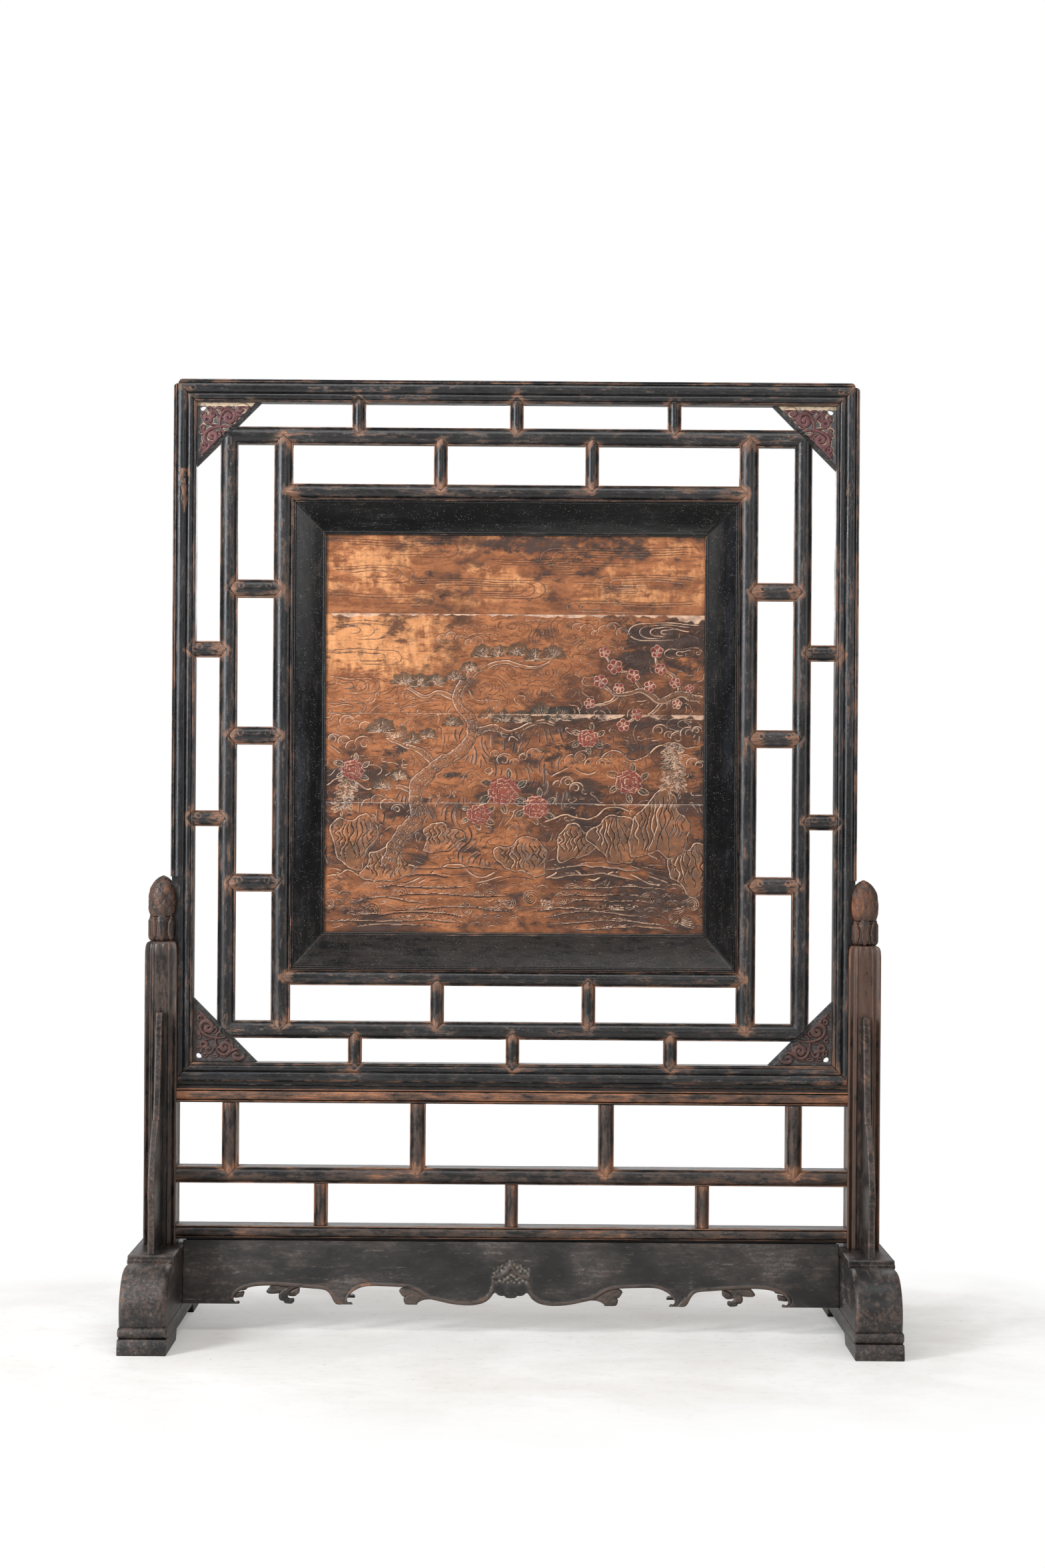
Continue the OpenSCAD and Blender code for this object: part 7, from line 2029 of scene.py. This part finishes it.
def panel():
    c = carve()
    XX, ZZ = c.XX, c.ZZ
    for k, (x, z, rx, rz) in enumerate(RED_SPOTS):
        c.red = np.maximum(c.red, 0.8 * np.exp(-(((XX - x) / rx) ** 2 + ((ZZ - z) / rz) ** 2) ** 1.5))
    n0 = np.zeros(XX.size)
    Q = np.column_stack([XX.ravel(), ZZ.ravel(), n0])
    sh = XX.shape
    big = fbm(Q / np.array([150.0, 90.0, 1]), 601, 3).reshape(sh)
    med = fbm(Q / np.array([50.0, 26.0, 1]), 611, 4).reshape(sh)
    fine = fbm(Q / np.array([15.0, 8.0, 1]), 621, 4).reshape(sh)
    tiny = fbm(Q / np.array([4.5, 3.2, 1]), 631, 3).reshape(sh)
    # where the old surface is left: soft patches at the top, upper right and over the lower half
    e = 1.3 * (med - 0.5) + 0.7 * (fine - 0.5) + 0.35 * (tiny - 0.5)
    zone = 0.55 * sstep(1560, 1632, ZZ) * (0.5 + 0.6 * sstep(-200, 0, XX) * sstep(380, 250, XX))
    zone = np.maximum(zone, 0.20 * sstep(1476, 1520, ZZ) * sstep(-100, 20, XX) * sstep(330, 200, XX) * sstep(1560, 1530, ZZ))
    zone = np.maximum(zone, 0.95 * sstep(170, 270, XX) * sstep(1330, 1385, ZZ) * sstep(1474, 1456, ZZ))
    zone = np.maximum(zone, 0.45 * sstep(270, 392, XX) * sstep(1440, 1330, ZZ))
    zone = np.maximum(zone, 0.34 * sstep(1330, 1150, ZZ) + (1.6 * (big - 0.5) + 0.8 * (med - 0.5)) * np.where(ZZ > 1473, 0.45, 1.0))
    zone = np.maximum(zone, 0.55 * np.exp(-((XX - 80) / 150) ** 2 - ((ZZ - 1200) / 60) ** 2))
    zone = np.maximum(zone, 0.50 * np.exp(-((XX + 60) / 170) ** 2 - ((ZZ - 985) / 60) ** 2))
    dk = 0.74 * sstep(0.22, 0.75, zone + e * 1.1)
    dk = dk * (1 - 0.9 * sstep(-20, -190, XX) * sstep(1300, 1370, ZZ) * sstep(1474, 1468, ZZ))
    c.dark = np.clip(np.maximum(c.dark, dk), 0, 1)
    clean = np.clip(0.95 * sstep(1275, 1400, ZZ) * sstep(-40, -260, XX) * sstep(1474, 1466, ZZ) + 0.55 * sstep(1478, 1500, ZZ) * sstep(0.62, 0.40, med) + 0.45 * (big - 0.45) + 0.30 * sstep(60, 140, XX) * sstep(250, 180, XX) * sstep(1300, 1380, ZZ) * sstep(1474, 1466, ZZ), 0, 1)
    xg, xr = sstep(-260, 60, XX), sstep(40, 240, XX)
    brown = np.select([ZZ > 1473, ZZ > 1268, ZZ > 1083, ZZ > 871], [0.34 + 0.12 * xr + 0.30 * sstep(1590, 1640, ZZ), 0.30 + 0.34 * xg + 0.22 * xr, 0.50 + 0.42 * xg + 0.04 * xr, 0.66 + 0.24 * xg - 0.08 * xr], 0.94)
    brown = np.clip(brown + (1.9 * (big - 0.5) + 1.3 * (med - 0.5) + 0.8 * (fine - 0.5)) * np.where(ZZ > 1473, 0.7, 1.0), 0, 1.15)
    # chipped pale wood just under the joints
    chip = np.zeros(sh)
    for zj, reach, amp, xm in ((1473.0, 11.0, 1.0, None), (1268.0, 9.0, 0.95, 20.0), (1083.0, 5.0, 0.6, 170.0), (871.0, 4.0, 0.3, None)):
        t = vnoise(np.column_stack([c.x / 40.0, np.full(c.nx, zj), np.zeros(c.nx)]), 7) * 0.6 + vnoise(np.column_stack([c.x / 11.0, np.full(c.nx, zj), np.zeros(c.nx)]), 8) * 0.5
        thick = reach * np.clip(t * 1.9 - 0.45, 0.04, 1.2)
        if zj > 1400:
            thick = thick * (0.50 + 0.8 * sstep(100, 380, c.x) + 0.2 * sstep(-80, -380, c.x))
        if xm is not None:
            thick = thick * (0.15 + 0.95 * sstep(xm - 60, xm + 120, c.x))
        d = zj - ZZ + 3.0 * (tiny - 0.5)
        m = sstep(-1.2, 0.2, d) * sstep(thick[None, :] + 2.2, thick[None, :] - 1.6, d) * amp
        chip = np.maximum(chip, m)
    chip = chip * np.clip(0.35 + 1.3 * (fine - 0.25), 0.2, 1)
    c.h -= chip * 0.9
    c.pale = np.clip(c.pale * np.clip(0.45 + 1.6 * (fine - 0.22), 0.2, 1.3) * (0.85 + 0.6 * big) * np.where(ZZ > 1480, 0.8, 1.15), 0, 1)
    c.pale = np.maximum(c.pale, chip)
    c.red = np.clip(c.red * (0.75 + 0.9 * fine), 0, 1)
    c.green *= 0.5 + 0.7 * med
    c.h += 0.5 * (fine - 0.5) + 0.8 * (big - 0.5) + 0.25 * (tiny - 0.5)
    h = np.clip(c.h, -2.4, 2.8)
    names = ["panel_board_5", "panel_board_4", "panel_board_3", "panel_board_2", "panel_board_1"]
    cuts = [808.0] + list(JOINTS) + [1642.0]
    offs = [0.0, 0.35, -0.15, 0.5, 0.0]
    for b, name in enumerate(names):
        z0, z1 = cuts[b], cuts[b + 1]
        rows = np.nonzero((c.z > z0 + 0.9) & (c.z < z1 - 0.9))[0]
        zr = np.concatenate([[z0 + 0.15], c.z[rows], [z1 - 0.15]])
        src = np.concatenate([[rows[0]], rows, [rows[-1]]])
        H = h[src] + offs[b]
        # rounded edges at the joints
        de = np.minimum(zr - z0, z1 - zr)
        inner = np.minimum(np.where(z0 > 810, zr - z0, 99), np.where(z1 < 1640, z1 - zr, 99))
        H = H - (1.0 * np.exp(-inner / 1.3))[:, None]
        yy = -4.0 - H
        nz, nx = len(zr), c.nx
        V = np.column_stack([np.tile(c.x, nz), yy.ravel(), np.repeat(zr, nx)])
        idx = np.arange(nz * nx).reshape(nz, nx)
        quads = np.stack([idx[:-1, :-1], idx[:-1, 1:], idx[1:, 1:], idx[1:, :-1]], -1).reshape(-1, 4)
        # rim and plain back
        rim = np.concatenate([idx[0, :], idx[1:, -1], idx[-1, -2::-1], idx[-2:0:-1, 0]])
        nr = len(rim)
        Vm = V[rim].copy()
        Vm[:, 1] = 6.8
        Vb = Vm.copy()
        Vb[:, 1] = 8.0
        Vb[:, 2] = np.clip(Vb[:, 2], z0 + 1.3, z1 - 1.3)
        V2 = np.concatenate([V, Vm, Vb])
        im = np.arange(nr) + len(V)
        ib = im + nr
        walls = np.concatenate([np.stack([rim, im, np.roll(im, -1), np.roll(rim, -1)], 1), np.stack([im, ib, np.roll(ib, -1), np.roll(im, -1)], 1)])
        # the back, a hair inside the rim, is made by one big face
        acc = Acc()
        pads = np.zeros(2 * nr)

        def at(a):
            return np.concatenate([a[src].ravel(), pads])
        gc = np.column_stack([V2[:, 0], V2[:, 2], V2[:, 1]])
        acc.add(V2, [quads, walls, ib[::-1][None, :]], gc=gc, wear=at(clean), cav=at(np.clip(-c.h * 0.5, 0, 1)), crk=0.0, tone=at(brown), lift=at(np.clip(c.h * 0.5, 0, 1)))
        make(name, acc, M_PANEL, "screen", [name], sharp=60,
             extra=dict(pale=at(np.clip(c.pale, 0, 1)), dark=at(np.clip(c.dark, 0, 1)), red=at(np.clip(c.red, 0, 1)), green=at(np.clip(c.green, 0, 1)), isfront=np.concatenate([np.ones(nz * nx), pads])))
    for s in (-1, 1):
        name = "panel_batten_" + ("left" if s < 0 else "right")
        acc = Acc()
        th = [(-20, 8.0), (20, 8.0), (20, 18.5), (19.2, 20.6), (17.2, 22.0), (-17.2, 22.0), (-19.2, 20.6), (-20, 18.5)]
        B = resample(np.array(th, float), 4.0)
        sweep(acc, B, stations(838.0, coarse=16, ends=6), [s * 200.0, 0, 0], Z, X, Y, 806.0, 1644.0, wob=0.35, seed=701 + s, ew=0.5)
        make(name, acc, M_BATTEN, "screen", [name])

# ------------------------------------------------------------------ the outer frame

STILE_LEAF = [(1772, 9), (1767, 17), (1774, 27), (1770, 35), (1758, 36), (1750, 31), (1741, 26), (1733, 29), (1716, 27), (1704, 30), (1690, 25), (1676, 23), (1688, 20), (1706, 21), (1724, 17), (1740, 15), (1756, 12)]
STILE_LINES = []
for cz, cu, r, d in ((1764, 14, 4.0, 1), (1764, 32, 4.0, -1), (1742, 21, 3.6, 1)):
    th = np.linspace(0, 5.0, 20)
    rr = r * (1 - 0.5 * th / 5.0)
    STILE_LINES.append((np.stack([cz + rr * np.cos(th * d), cu + rr * np.sin(th * d)], 1), 0.8))
STILE_LINES.append((np.array([(1758, 16), (1738, 13), (1722, 20), (1704, 17), (1690, 24), (1676, 23)], float), 0.9))
STILE_LINES.append((np.array([(1758, 32), (1744, 34), (1728, 26), (1712, 30), (1694, 27), (1676, 23)], float), 0.9))


def frame_stile(side):
    name = "frame_stile_" + ("left" if side < 0 else "right")
    acc = Acc()
    U = np.array([-side * 1.0, 0, 0])
    org = np.array([side * HW, 0, 0])
    u = FRAME_P[:, 0]

    def jf(s, uu, v):
        w, c = joint_fn(94.0, [(z, 1, RW / 2, 1.0) for z in OUT_ROWS], (), 11)(s, uu, v)
        # mitres at the corners
        dt = np.abs((TOP - s) - uu) / 1.414
        db = np.abs((s - SEAT) - uu) / 1.414
        rag = fbm(np.stack([s, uu, v], 1) / 9.0, 21, 3)
        w = w + 0.38 * np.exp(-(db / (4 + 12 * rag)) ** 2) + 0.22 * np.exp(-(dt / (3 + 8 * rag)) ** 2)
        c = np.maximum(c, np.exp(-(np.minimum(dt, db) / 0.6) ** 2))
        w2, c2 = engraved(s, uu, v, polys=[STILE_LEAF] if side < 0 else [], lines=STILE_LINES)
        return w + w2, np.maximum(c, c2)
    # above the finials: the whole section
    top = TOP - u
    band = u < 9.2
    rnd = 7.5 * (1 - np.sqrt(np.clip(1 - ((9.2 - u) / 9.2) ** 2, 0, None)))
    top = np.where(band, TOP - 9.6 - rnd, top)
    L = TOP - STEPZ
    t = stations(L, [z - STEPZ for z in OUT_ROWS if z > STEPZ] + [1690.0 - STEPZ, 1725.0 - STEPZ, 1760.0 - STEPZ, L - 20.0], ends=10)
    sweep(acc, FRAME_P, t, org, Z, U, Y, STEPZ, top, jf=jf, seed=31 + (side > 0), tone=lambda s, a, b: 0.0 * s)
    # between the posts: cut back to a flat with a tongue
    us = FRAME_US[FRAME_US >= 18.0]
    us = np.concatenate([[18.0], us[us > 18.3]])
    P2 = loop_of(us, face_frame, side=7)
    P2 = P2.copy()
    low = SEAT + P2[:, 0]
    t = stations(STEPZ - SEAT, [20.0, STEPZ - SEAT - 5], ends=6)

    def jf2(s, uu, v):
        w, c = jf(s, uu, v)
        return w + 0.12 * np.exp(-((uu - 18.0) / 2.5) ** 2), c
    sweep(acc, P2, t, org, Z, U, Y, low, STEPZ + 2.0, jf=jf2, seed=41 + (side > 0))
    tong = np.array([[2.0, -11.0], [19.0, -11.0], [19.0, 11.0], [2.0, 11.0]])
    tong = resample(tong, 2.0)
    sweep(acc, tong, stations(STEPZ - SEAT, coarse=20), org, Z, U, Y, SEAT + tong[:, 0], STEPZ + 1.0, wob=0.1, seed=51)
    make(name, acc, M_FRAME, "screen", [name])


def resample(P, step, closed=True):
    """A polyline with points at most step apart."""
    P = np.asarray(P, float)
    Q = np.concatenate([P, P[:1]]) if closed else P
    out = []
    for a, b in zip(Q[:-1], Q[1:]):
        k = max(1, int(math.ceil(np.linalg.norm(b - a) / step)))
        out += [a + (b - a) * i / k for i in range(k)]
    if not closed:
        out.append(Q[-1])
    return np.array(out)


TOP_CURLS = []
for sx in (-1, 1):
    for cx, cu, r, d in ((665.0, 17.0, 7.5, 1), (640.0, 16.0, 5.0, -1)):
        th = np.linspace(0, 4.4, 22)
        rr = r * (1 - 0.62 * th / 4.4)
        TOP_CURLS.append((np.stack([sx * (cx + rr * np.cos(th * d)), cu + rr * np.sin(th * d)], 1), 0.9))


def frame_rail(top):
    name = "frame_rail_top" if top else "frame_rail_bottom"
    acc = Acc()
    u = FRAME_P[:, 0]
    U = np.array([0, 0, -1.0 if top else 1.0])
    org = np.array([0, 0, TOP if top else SEAT])

    def jf(s, uu, v):
        w, c = joint_fn(94.0, [(x, 1, SW / 2, 1.0) for x in OUT_COLS], (), 13)(s, uu, v)
        d = np.abs((HW - np.abs(s)) - uu) / 1.414
        rag = fbm(np.stack([s, uu, v], 1) / 9.0, 23, 3)
        w = w + (0.3 if top else 0.42) * np.exp(-(d / (4 + 12 * rag)) ** 2)
        c = np.maximum(c, np.exp(-(d / 0.6) ** 2))
        if top:
            w = w - 0.30 * np.exp(-(uu / 1.6) ** 2)
            w2, c2 = engraved(s, uu, v, lines=TOP_CURLS)
            w, c = w + w2, np.maximum(c, c2)
        else:
            w = w + 0.30 * np.exp(-((uu - 9.5) / 3.0) ** 2)
        return w, c
    if top:
        end = HW - u
        rnd = 9.2 - np.sqrt(np.clip(9.2 ** 2 - (9.2 - u) ** 2, 0, None))
        end = np.where(u < 9.2, HW - 9.6 - rnd, end)
        P = FRAME_P
    else:
        us = FRAME_US[FRAME_US >= 8.0]
        us = np.concatenate([[8.0], us[us > 8.3]])
        P = loop_of(us, face_frame, side=7)
        end = np.minimum(HW - P[:, 0], HW - 18.0 + 0.0 * P[:, 0])
    L = 2 * HW
    t = stations(L, [x + HW for x in OUT_COLS] + [20.0, 60.0, L - 60.0, L - 20.0], ends=10)
    sweep(acc, P, t, org, X, U, Y, -end, end, jf=jf, seed=61 + top)
    if not top:
        tong = resample(np.array([[0.0, -11.0], [9.0, -11.0], [9.0, 11.0], [0.0, 11.0]]), 2.0)
        e = HW - 2.0 - tong[:, 0]
        sweep(acc, tong, stations(L, coarse=24), org, X, U, Y, -e, e, wob=0.1, seed=71)
    else:
        for s in (-1, 1):     # the small curled bead ends at the notched corners
            for q in (0, 1):
                th = np.linspace(0, 2 * math.pi, 25)[:-1]
                for k, (r, y0, y1) in enumerate(((5.6, -18.0, -13.0), (2.8, -19.6, -15.0))):
                    ring = np.stack([np.cos(th) * r, np.sin(th) * r], 1)
                    sgn = -1 if q else 1
                    cx, cz = s * (HW - 13.5), TOP - 13.5
                    sweep(acc, ring, np.array([0, .3, .7, 1.0]), [cx, 0, cz], Y, X, Z, min(sgn * y0, sgn * y1), max(sgn * y0, sgn * y1), wob=0.05, base=0.25)
    make(name, acc, M_FRAME, "screen", [name])


frame_stile(-1)
frame_stile(1)
frame_rail(True)
frame_rail(False)

# ------------------------------------------------------------------ lattice members
SEC = {}


def section(w, d):
    if (w, d) not in SEC:
        SEC[(w, d)] = lattice_section(w, d)
    return SEC[(w, d)]


def bar(acc, w, d, a, b, at, vertical, ends=(None, None), got=(), seed=1, base=0.0, st=1.0, tone=0.0, s0=None, s1=None, hard=1.0, rings=()):
    """A half-round bar from a to b along X or Z, its middle line at `at`. ends: 'v' runs to a point in the neighbour, None is cut square.
    got: (place, side, half width) of the bars that enter it."""
    P = section(w, d)
    hw = w / 2
    lo, hi = a, b
    e = []
    if ends[0] == "v":
        lo = a - hw
        e.append((a, -1, hw, st))
    if ends[1] == "v":
        hi = b + hw
        e.append((b, 1, hw, st))
    jf = joint_fn(w, [(g[0], g[1], g[2], g[3] if len(g) > 3 else 1.0) for g in got], e, seed + 5, hard, rings)
    marks = [g[0] - lo for g in got] + [g[0] - lo for g in rings]
    if ends[0] == "v":
        marks.append(8.0)
    if ends[1] == "v":
        marks.append(hi - lo - 8.0)
    t = stations(hi - lo, marks)
    A, U = (Z, X) if vertical else (X, -Z)
    org = np.array([at, 0, 0]) if vertical else np.array([0, 0, at])
    L0 = lo if s0 is None else s0(P[:, 0])
    L1 = hi if s1 is None else s1(P[:, 0])
    sweep(acc, P, t, org, A, U, Y, L0, L1, jf=jf, seed=seed, base=base, tone=tone)


def lattice_rectangle():
    c = LX - LW / 2
    hyp = INX + INT - LEG
    for top in (True, False):
        name = "lattice_rail_" + ("top" if top else "bottom")
        acc = Acc()
        z = (LT if top else LB) + (-LW / 2 if top else LW / 2)
        out = 1 if not top else -1                      # U is -Z, so u = -16 is the upper edge
        sgn_out = -1 if top else 1
        got = [(x, sgn_out, SW / 2) for x in OUT_COLS] + [(x, -sgn_out, SW / 2) for x in IN_COLS] + [(s * (NX - IW / 2), -sgn_out, IW / 2, 1.1) for s in (-1, 1)]

        def end(u, top=top, z=z):
            zz = z - u if top else 2 * MID - (z - u)     # as if it were the upper rail
            mit = LX - (LT - zz)
            h = hyp - zz
            return np.minimum(mit, h)
        r = [(s * (LX - 44.0), -5.0 if top else 5.0, 6.4) for s in (-1, 1)]
        bar(acc, LW, LD, -LX, LX, z, False, got=got, seed=81 + top, s0=lambda u: -end(u), s1=end, base=-0.02, rings=r)
        make(name, acc, M_LATT, "screen", [name])
    for side in (-1, 1):
        name = "lattice_stile_" + ("left" if side < 0 else "right")
        acc = Acc()
        got = [(z, side, RW / 2) for z in OUT_ROWS] + [(z, -side, QW / 2) for z in IN_ROWS]

        def endz(u, side=side):
            x = np.abs(side * c + u)
            return np.minimum(LT - (LX - x), hyp - x)
        r = [(LT - 44.0, -side * 4.0, 6.0), (LB + 44.0, -side * 4.0, 6.0)]
        bar(acc, LW, LD, LB, LT, side * c, True, got=got, seed=91 + side, s0=lambda u: 2 * MID - endz(u), s1=endz, rings=r)
        make(name, acc, M_LATT, "screen", [name])


lattice_rectangle()

for side in (-1, 1):
    name = "inner_stile_" + ("left" if side < 0 else "right")
    acc = Acc()
    got = [(z, side, QW / 2) for z in IN_ROWS] + [(NTZ - NW / 2, -side, NW / 2, 1.25), (NBZ + NW / 2, -side, NW / 2, 1.25)]
    bar(acc, IW, LD, LB + LW, LT - LW, side * (NX - IW / 2), True, ends=("v", "v"), got=got, seed=101 + side, base=0.03)
    make(name, acc, M_LATT, "screen", [name])
for top in (True, False):
    name = "inner_rail_" + ("top" if top else "bottom")
    acc = Acc()
    z = (NTZ - NW / 2) if top else (NBZ + NW / 2)
    got = [(x, -1 if top else 1, SW / 2) for x in IN_COLS]
    bar(acc, NW, LD, -PX, PX, z, False, ends=("v", "v"), got=got, seed=111 + top, base=0.05, st=1.35)
    make(name, acc, M_LATT, "screen", [name])


def struts(name, items, w, d, body="screen", mat=None, ends=("v", "v"), base=0.06, st=1.1):
    acc = Acc()
    for k, (vertical, at, a, b) in enumerate(items):
        r = () if vertical else ((a + 9.0, -5.5, 5.6), (b - 9.0, -5.5, 5.6))
        bar(acc, w, d, a, b, at, vertical, ends=ends, seed=hash_name(name) % 1000 + 7 * k, base=base, st=st, rings=r)
    make(name, acc, mat or M_LATT, body, [name])


struts("outer_struts_top", [(True, x, LT, INT) for x in OUT_COLS], SW, SD)
struts("outer_struts_bottom", [(True, x, INB, LB) for x in OUT_COLS], SW, SD)
struts("outer_struts_left", [(False, z, -INX, -LX) for z in OUT_ROWS], RW, SD)
struts("outer_struts_right", [(False, z, LX, INX) for z in OUT_ROWS], RW, SD)
struts("inner_struts_top", [(True, x, NTZ, LT - LW) for x in IN_COLS], SW, SD)
struts("inner_struts_bottom", [(True, x, LB + LW, NBZ) for x in IN_COLS], SW, SD)
struts("inner_struts_left", [(False, z, -LX + LW, -NX) for z in IN_ROWS], QW, SD)
struts("inner_struts_right", [(False, z, NX, LX - LW) for z in IN_ROWS], QW, SD)

for top in (True, False):
    for sx in (-1, 1):
        corner_board("corner_spandrel_%s_%s" % ("top" if top else "bottom", "left" if sx < 0 else "right"), sx, top, 0.0 if top else 1.0)
panel_frame()
stand_rails()
post(-1)
post(1)
finial(-1)
finial(1)
foot(-1)
foot(1)
standing_spandrels()
apron(True)
apron(False)
panel()

# ------------------------------------------------------------------ stage, light and camera

def stage():
    n, ring = 96, [0.0, 0.6, 1.2, 2.0, 3.0, 4.5, 7.0, 11.0, 18.0, 30.0]
    V, F = [(0, 0, 0)], []
    for r in ring[1:]:
        for i in range(n):
            a = 2 * math.pi * i / n
            V.append((r * math.cos(a), r * math.sin(a), 0))
    for i in range(n):
        F.append((0, 1 + i, 1 + (i + 1) % n))
    for k in range(len(ring) - 2):
        for i in range(n):
            a, b = 1 + k * n + i, 1 + k * n + (i + 1) % n
            F.append((a, a + n, b + n, b))
    me = bpy.data.meshes.new("floor")
    me.from_pydata(V, [], F)
    me.update()
    ob = bpy.data.objects.new("floor", me)
    bpy.context.scene.collection.objects.link(ob)
    m = NT("floor_pale")
    pos = m.node("ShaderNodeNewGeometry").outputs["Position"]
    dist = m.node("ShaderNodeVectorMath", operation="LENGTH")
    m.put(dist.inputs[0], m.vmath("MULTIPLY", m.vmath("ADD", pos, (0.0, 0.05, 0.0)), (0.62, 1.0, 1.0)))
    d = dist.outputs["Value"]
    n1 = m.noise(pos, 2.6, 6.0, 0.6, 0.3)
    n2 = m.noise(pos, 46.0, 6.0, 0.75)
    n3 = m.noise(m.vmath("MULTIPLY", pos, (1.0, 3.0, 1.0)), 9.0, 5.0, 0.65)
    c = m.mix(m.mr(n1, 0.3, 0.7), lin(226, 220, 213), lin(243, 240, 236))
    c = m.mix(m.math("MULTIPLY", m.mr(n3, 0.5, 0.75), 0.35), c, lin(206, 198, 189))
    c = m.mix(m.math("MULTIPLY", m.mr(n2, 0.54, 0.76), 0.6), c, lin(172, 161, 150))
    sp = m.math("MULTIPLY", m.mr(m.voro(pos, 26.0), 0.09, 0.04), m.mr(m.noise(pos, 7.0, 2.0), 0.58, 0.64))
    c = m.mix(m.math("MULTIPLY", sp, 0.7), c, lin(120, 108, 98))
    p = m.node("ShaderNodeBsdfPrincipled")
    m.put(p.inputs["Base Color"], c)
    m.put(p.inputs["Roughness"], 0.8)
    p.inputs["Specular IOR Level"].default_value = 0.2
    m.put(p.inputs["Normal"], m.bump(m.math("ADD", n2, n1), 0.25, 0.002))
    glow = m.node("ShaderNodeEmission")
    glow.inputs[0].default_value = (1, 1, 1, 1)
    glow.inputs[1].default_value = 1.0
    fade = m.mr(m.math("ADD", d, m.math("MULTIPLY", m.math("SUBTRACT", n1, 0.5), 0.5)), 0.42, 1.02)
    fade = m.math("ADD", m.math("MULTIPLY", fade, 0.78), 0.22)
    fade = m.math("MAXIMUM", fade, m.mr(d, 0.9, 1.2))
    lpn = m.node("ShaderNodeLightPath")
    sh = m.node("ShaderNodeMixShader")
    m.put(sh.inputs[0], m.math("MULTIPLY", fade, lpn.outputs["Is Camera Ray"]))
    m.t.links.new(p.outputs[0], sh.inputs[1])
    m.t.links.new(glow.outputs[0], sh.inputs[2])
    m.t.links.new(sh.outputs[0], m.out.inputs[0])
    me.materials.append(m.mat)

    w = bpy.data.worlds.new("studio")
    bpy.context.scene.world = w
    w.use_nodes = True
    nt = w.node_tree
    bg = nt.nodes["Background"]
    bg.inputs[0].default_value = (1, 1, 1, 1)
    lp = nt.nodes.new("ShaderNodeLightPath")
    tc = nt.nodes.new("ShaderNodeTexCoord")
    dot = nt.nodes.new("ShaderNodeVectorMath")
    dot.operation = "DOT_PRODUCT"
    dot.inputs[1].default_value = (-0.62, 0.30, 0.72)
    nt.links.new(tc.outputs["Generated"], dot.inputs[0])
    amb = nt.nodes.new("ShaderNodeMapRange")
    amb.interpolation_type = "SMOOTHSTEP"
    for k, v in (("From Min", -0.45), ("From Max", 0.85), ("To Min", 0.13), ("To Max", 0.62)):
        amb.inputs[k].default_value = v
    nt.links.new(dot.outputs["Value"], amb.inputs["Value"])
    st = nt.nodes.new("ShaderNodeMapRange")
    st.inputs["To Max"].default_value = 1.0
    nt.links.new(amb.outputs[0], st.inputs["To Min"])
    nt.links.new(lp.outputs["Is Camera Ray"], st.inputs["Value"])
    nt.links.new(st.outputs[0], bg.inputs[1])

    def area(name, loc, to, size, power, col=(1, 1, 1)):
        li = bpy.data.lights.new(name, "AREA")
        li.shape = "RECTANGLE"
        li.size, li.size_y = size
        li.energy = power
        li.color = col
        o = bpy.data.objects.new(name, li)
        o.location = loc
        o.rotation_euler = (Vector(to) - Vector(loc)).to_track_quat("-Z", "Y").to_euler()
        bpy.context.scene.collection.objects.link(o)
    area("key", (-3.2, -2.6, 2.3), (0, 0, 1.0), (0.9, 2.8), 175, (0.88, 0.94, 1.0))
    area("front", (1.2, -4.8, 2.6), (0, 0, 0.9), (2.6, 1.6), 34, (1.0, 0.98, 0.95))
    area("right", (3.4, -1.8, 1.6), (0, 0, 0.9), (0.8, 2.4), 24, (0.96, 0.98, 1.0))
    area("top", (0, -1.2, 4.0), (0, 0, 0.4), (2.6, 1.2), 40)
    area("behind", (0, 3.6, 2.6), (0, 0, 0.9), (2.6, 2.0), 45)


def camera():
    cd = bpy.data.cameras.new("camera")
    cd.lens, cd.sensor_width, cd.sensor_fit = 61.6, 36.0, "AUTO"
    cd.shift_x, cd.shift_y = 0.0072, 0.0187
    cd.clip_end = 60
    cam = bpy.data.objects.new("camera", cd)
    cam.location = (-0.006, -5.535, 1.0625)
    cam.rotation_euler = (math.radians(90), math.radians(-0.40), 0)
    bpy.context.scene.collection.objects.link(cam)
    bpy.context.scene.camera = cam
    bpy.context.scene.view_settings.view_transform = "Standard"
    bpy.context.scene.view_settings.look = "None"


stage()
camera()
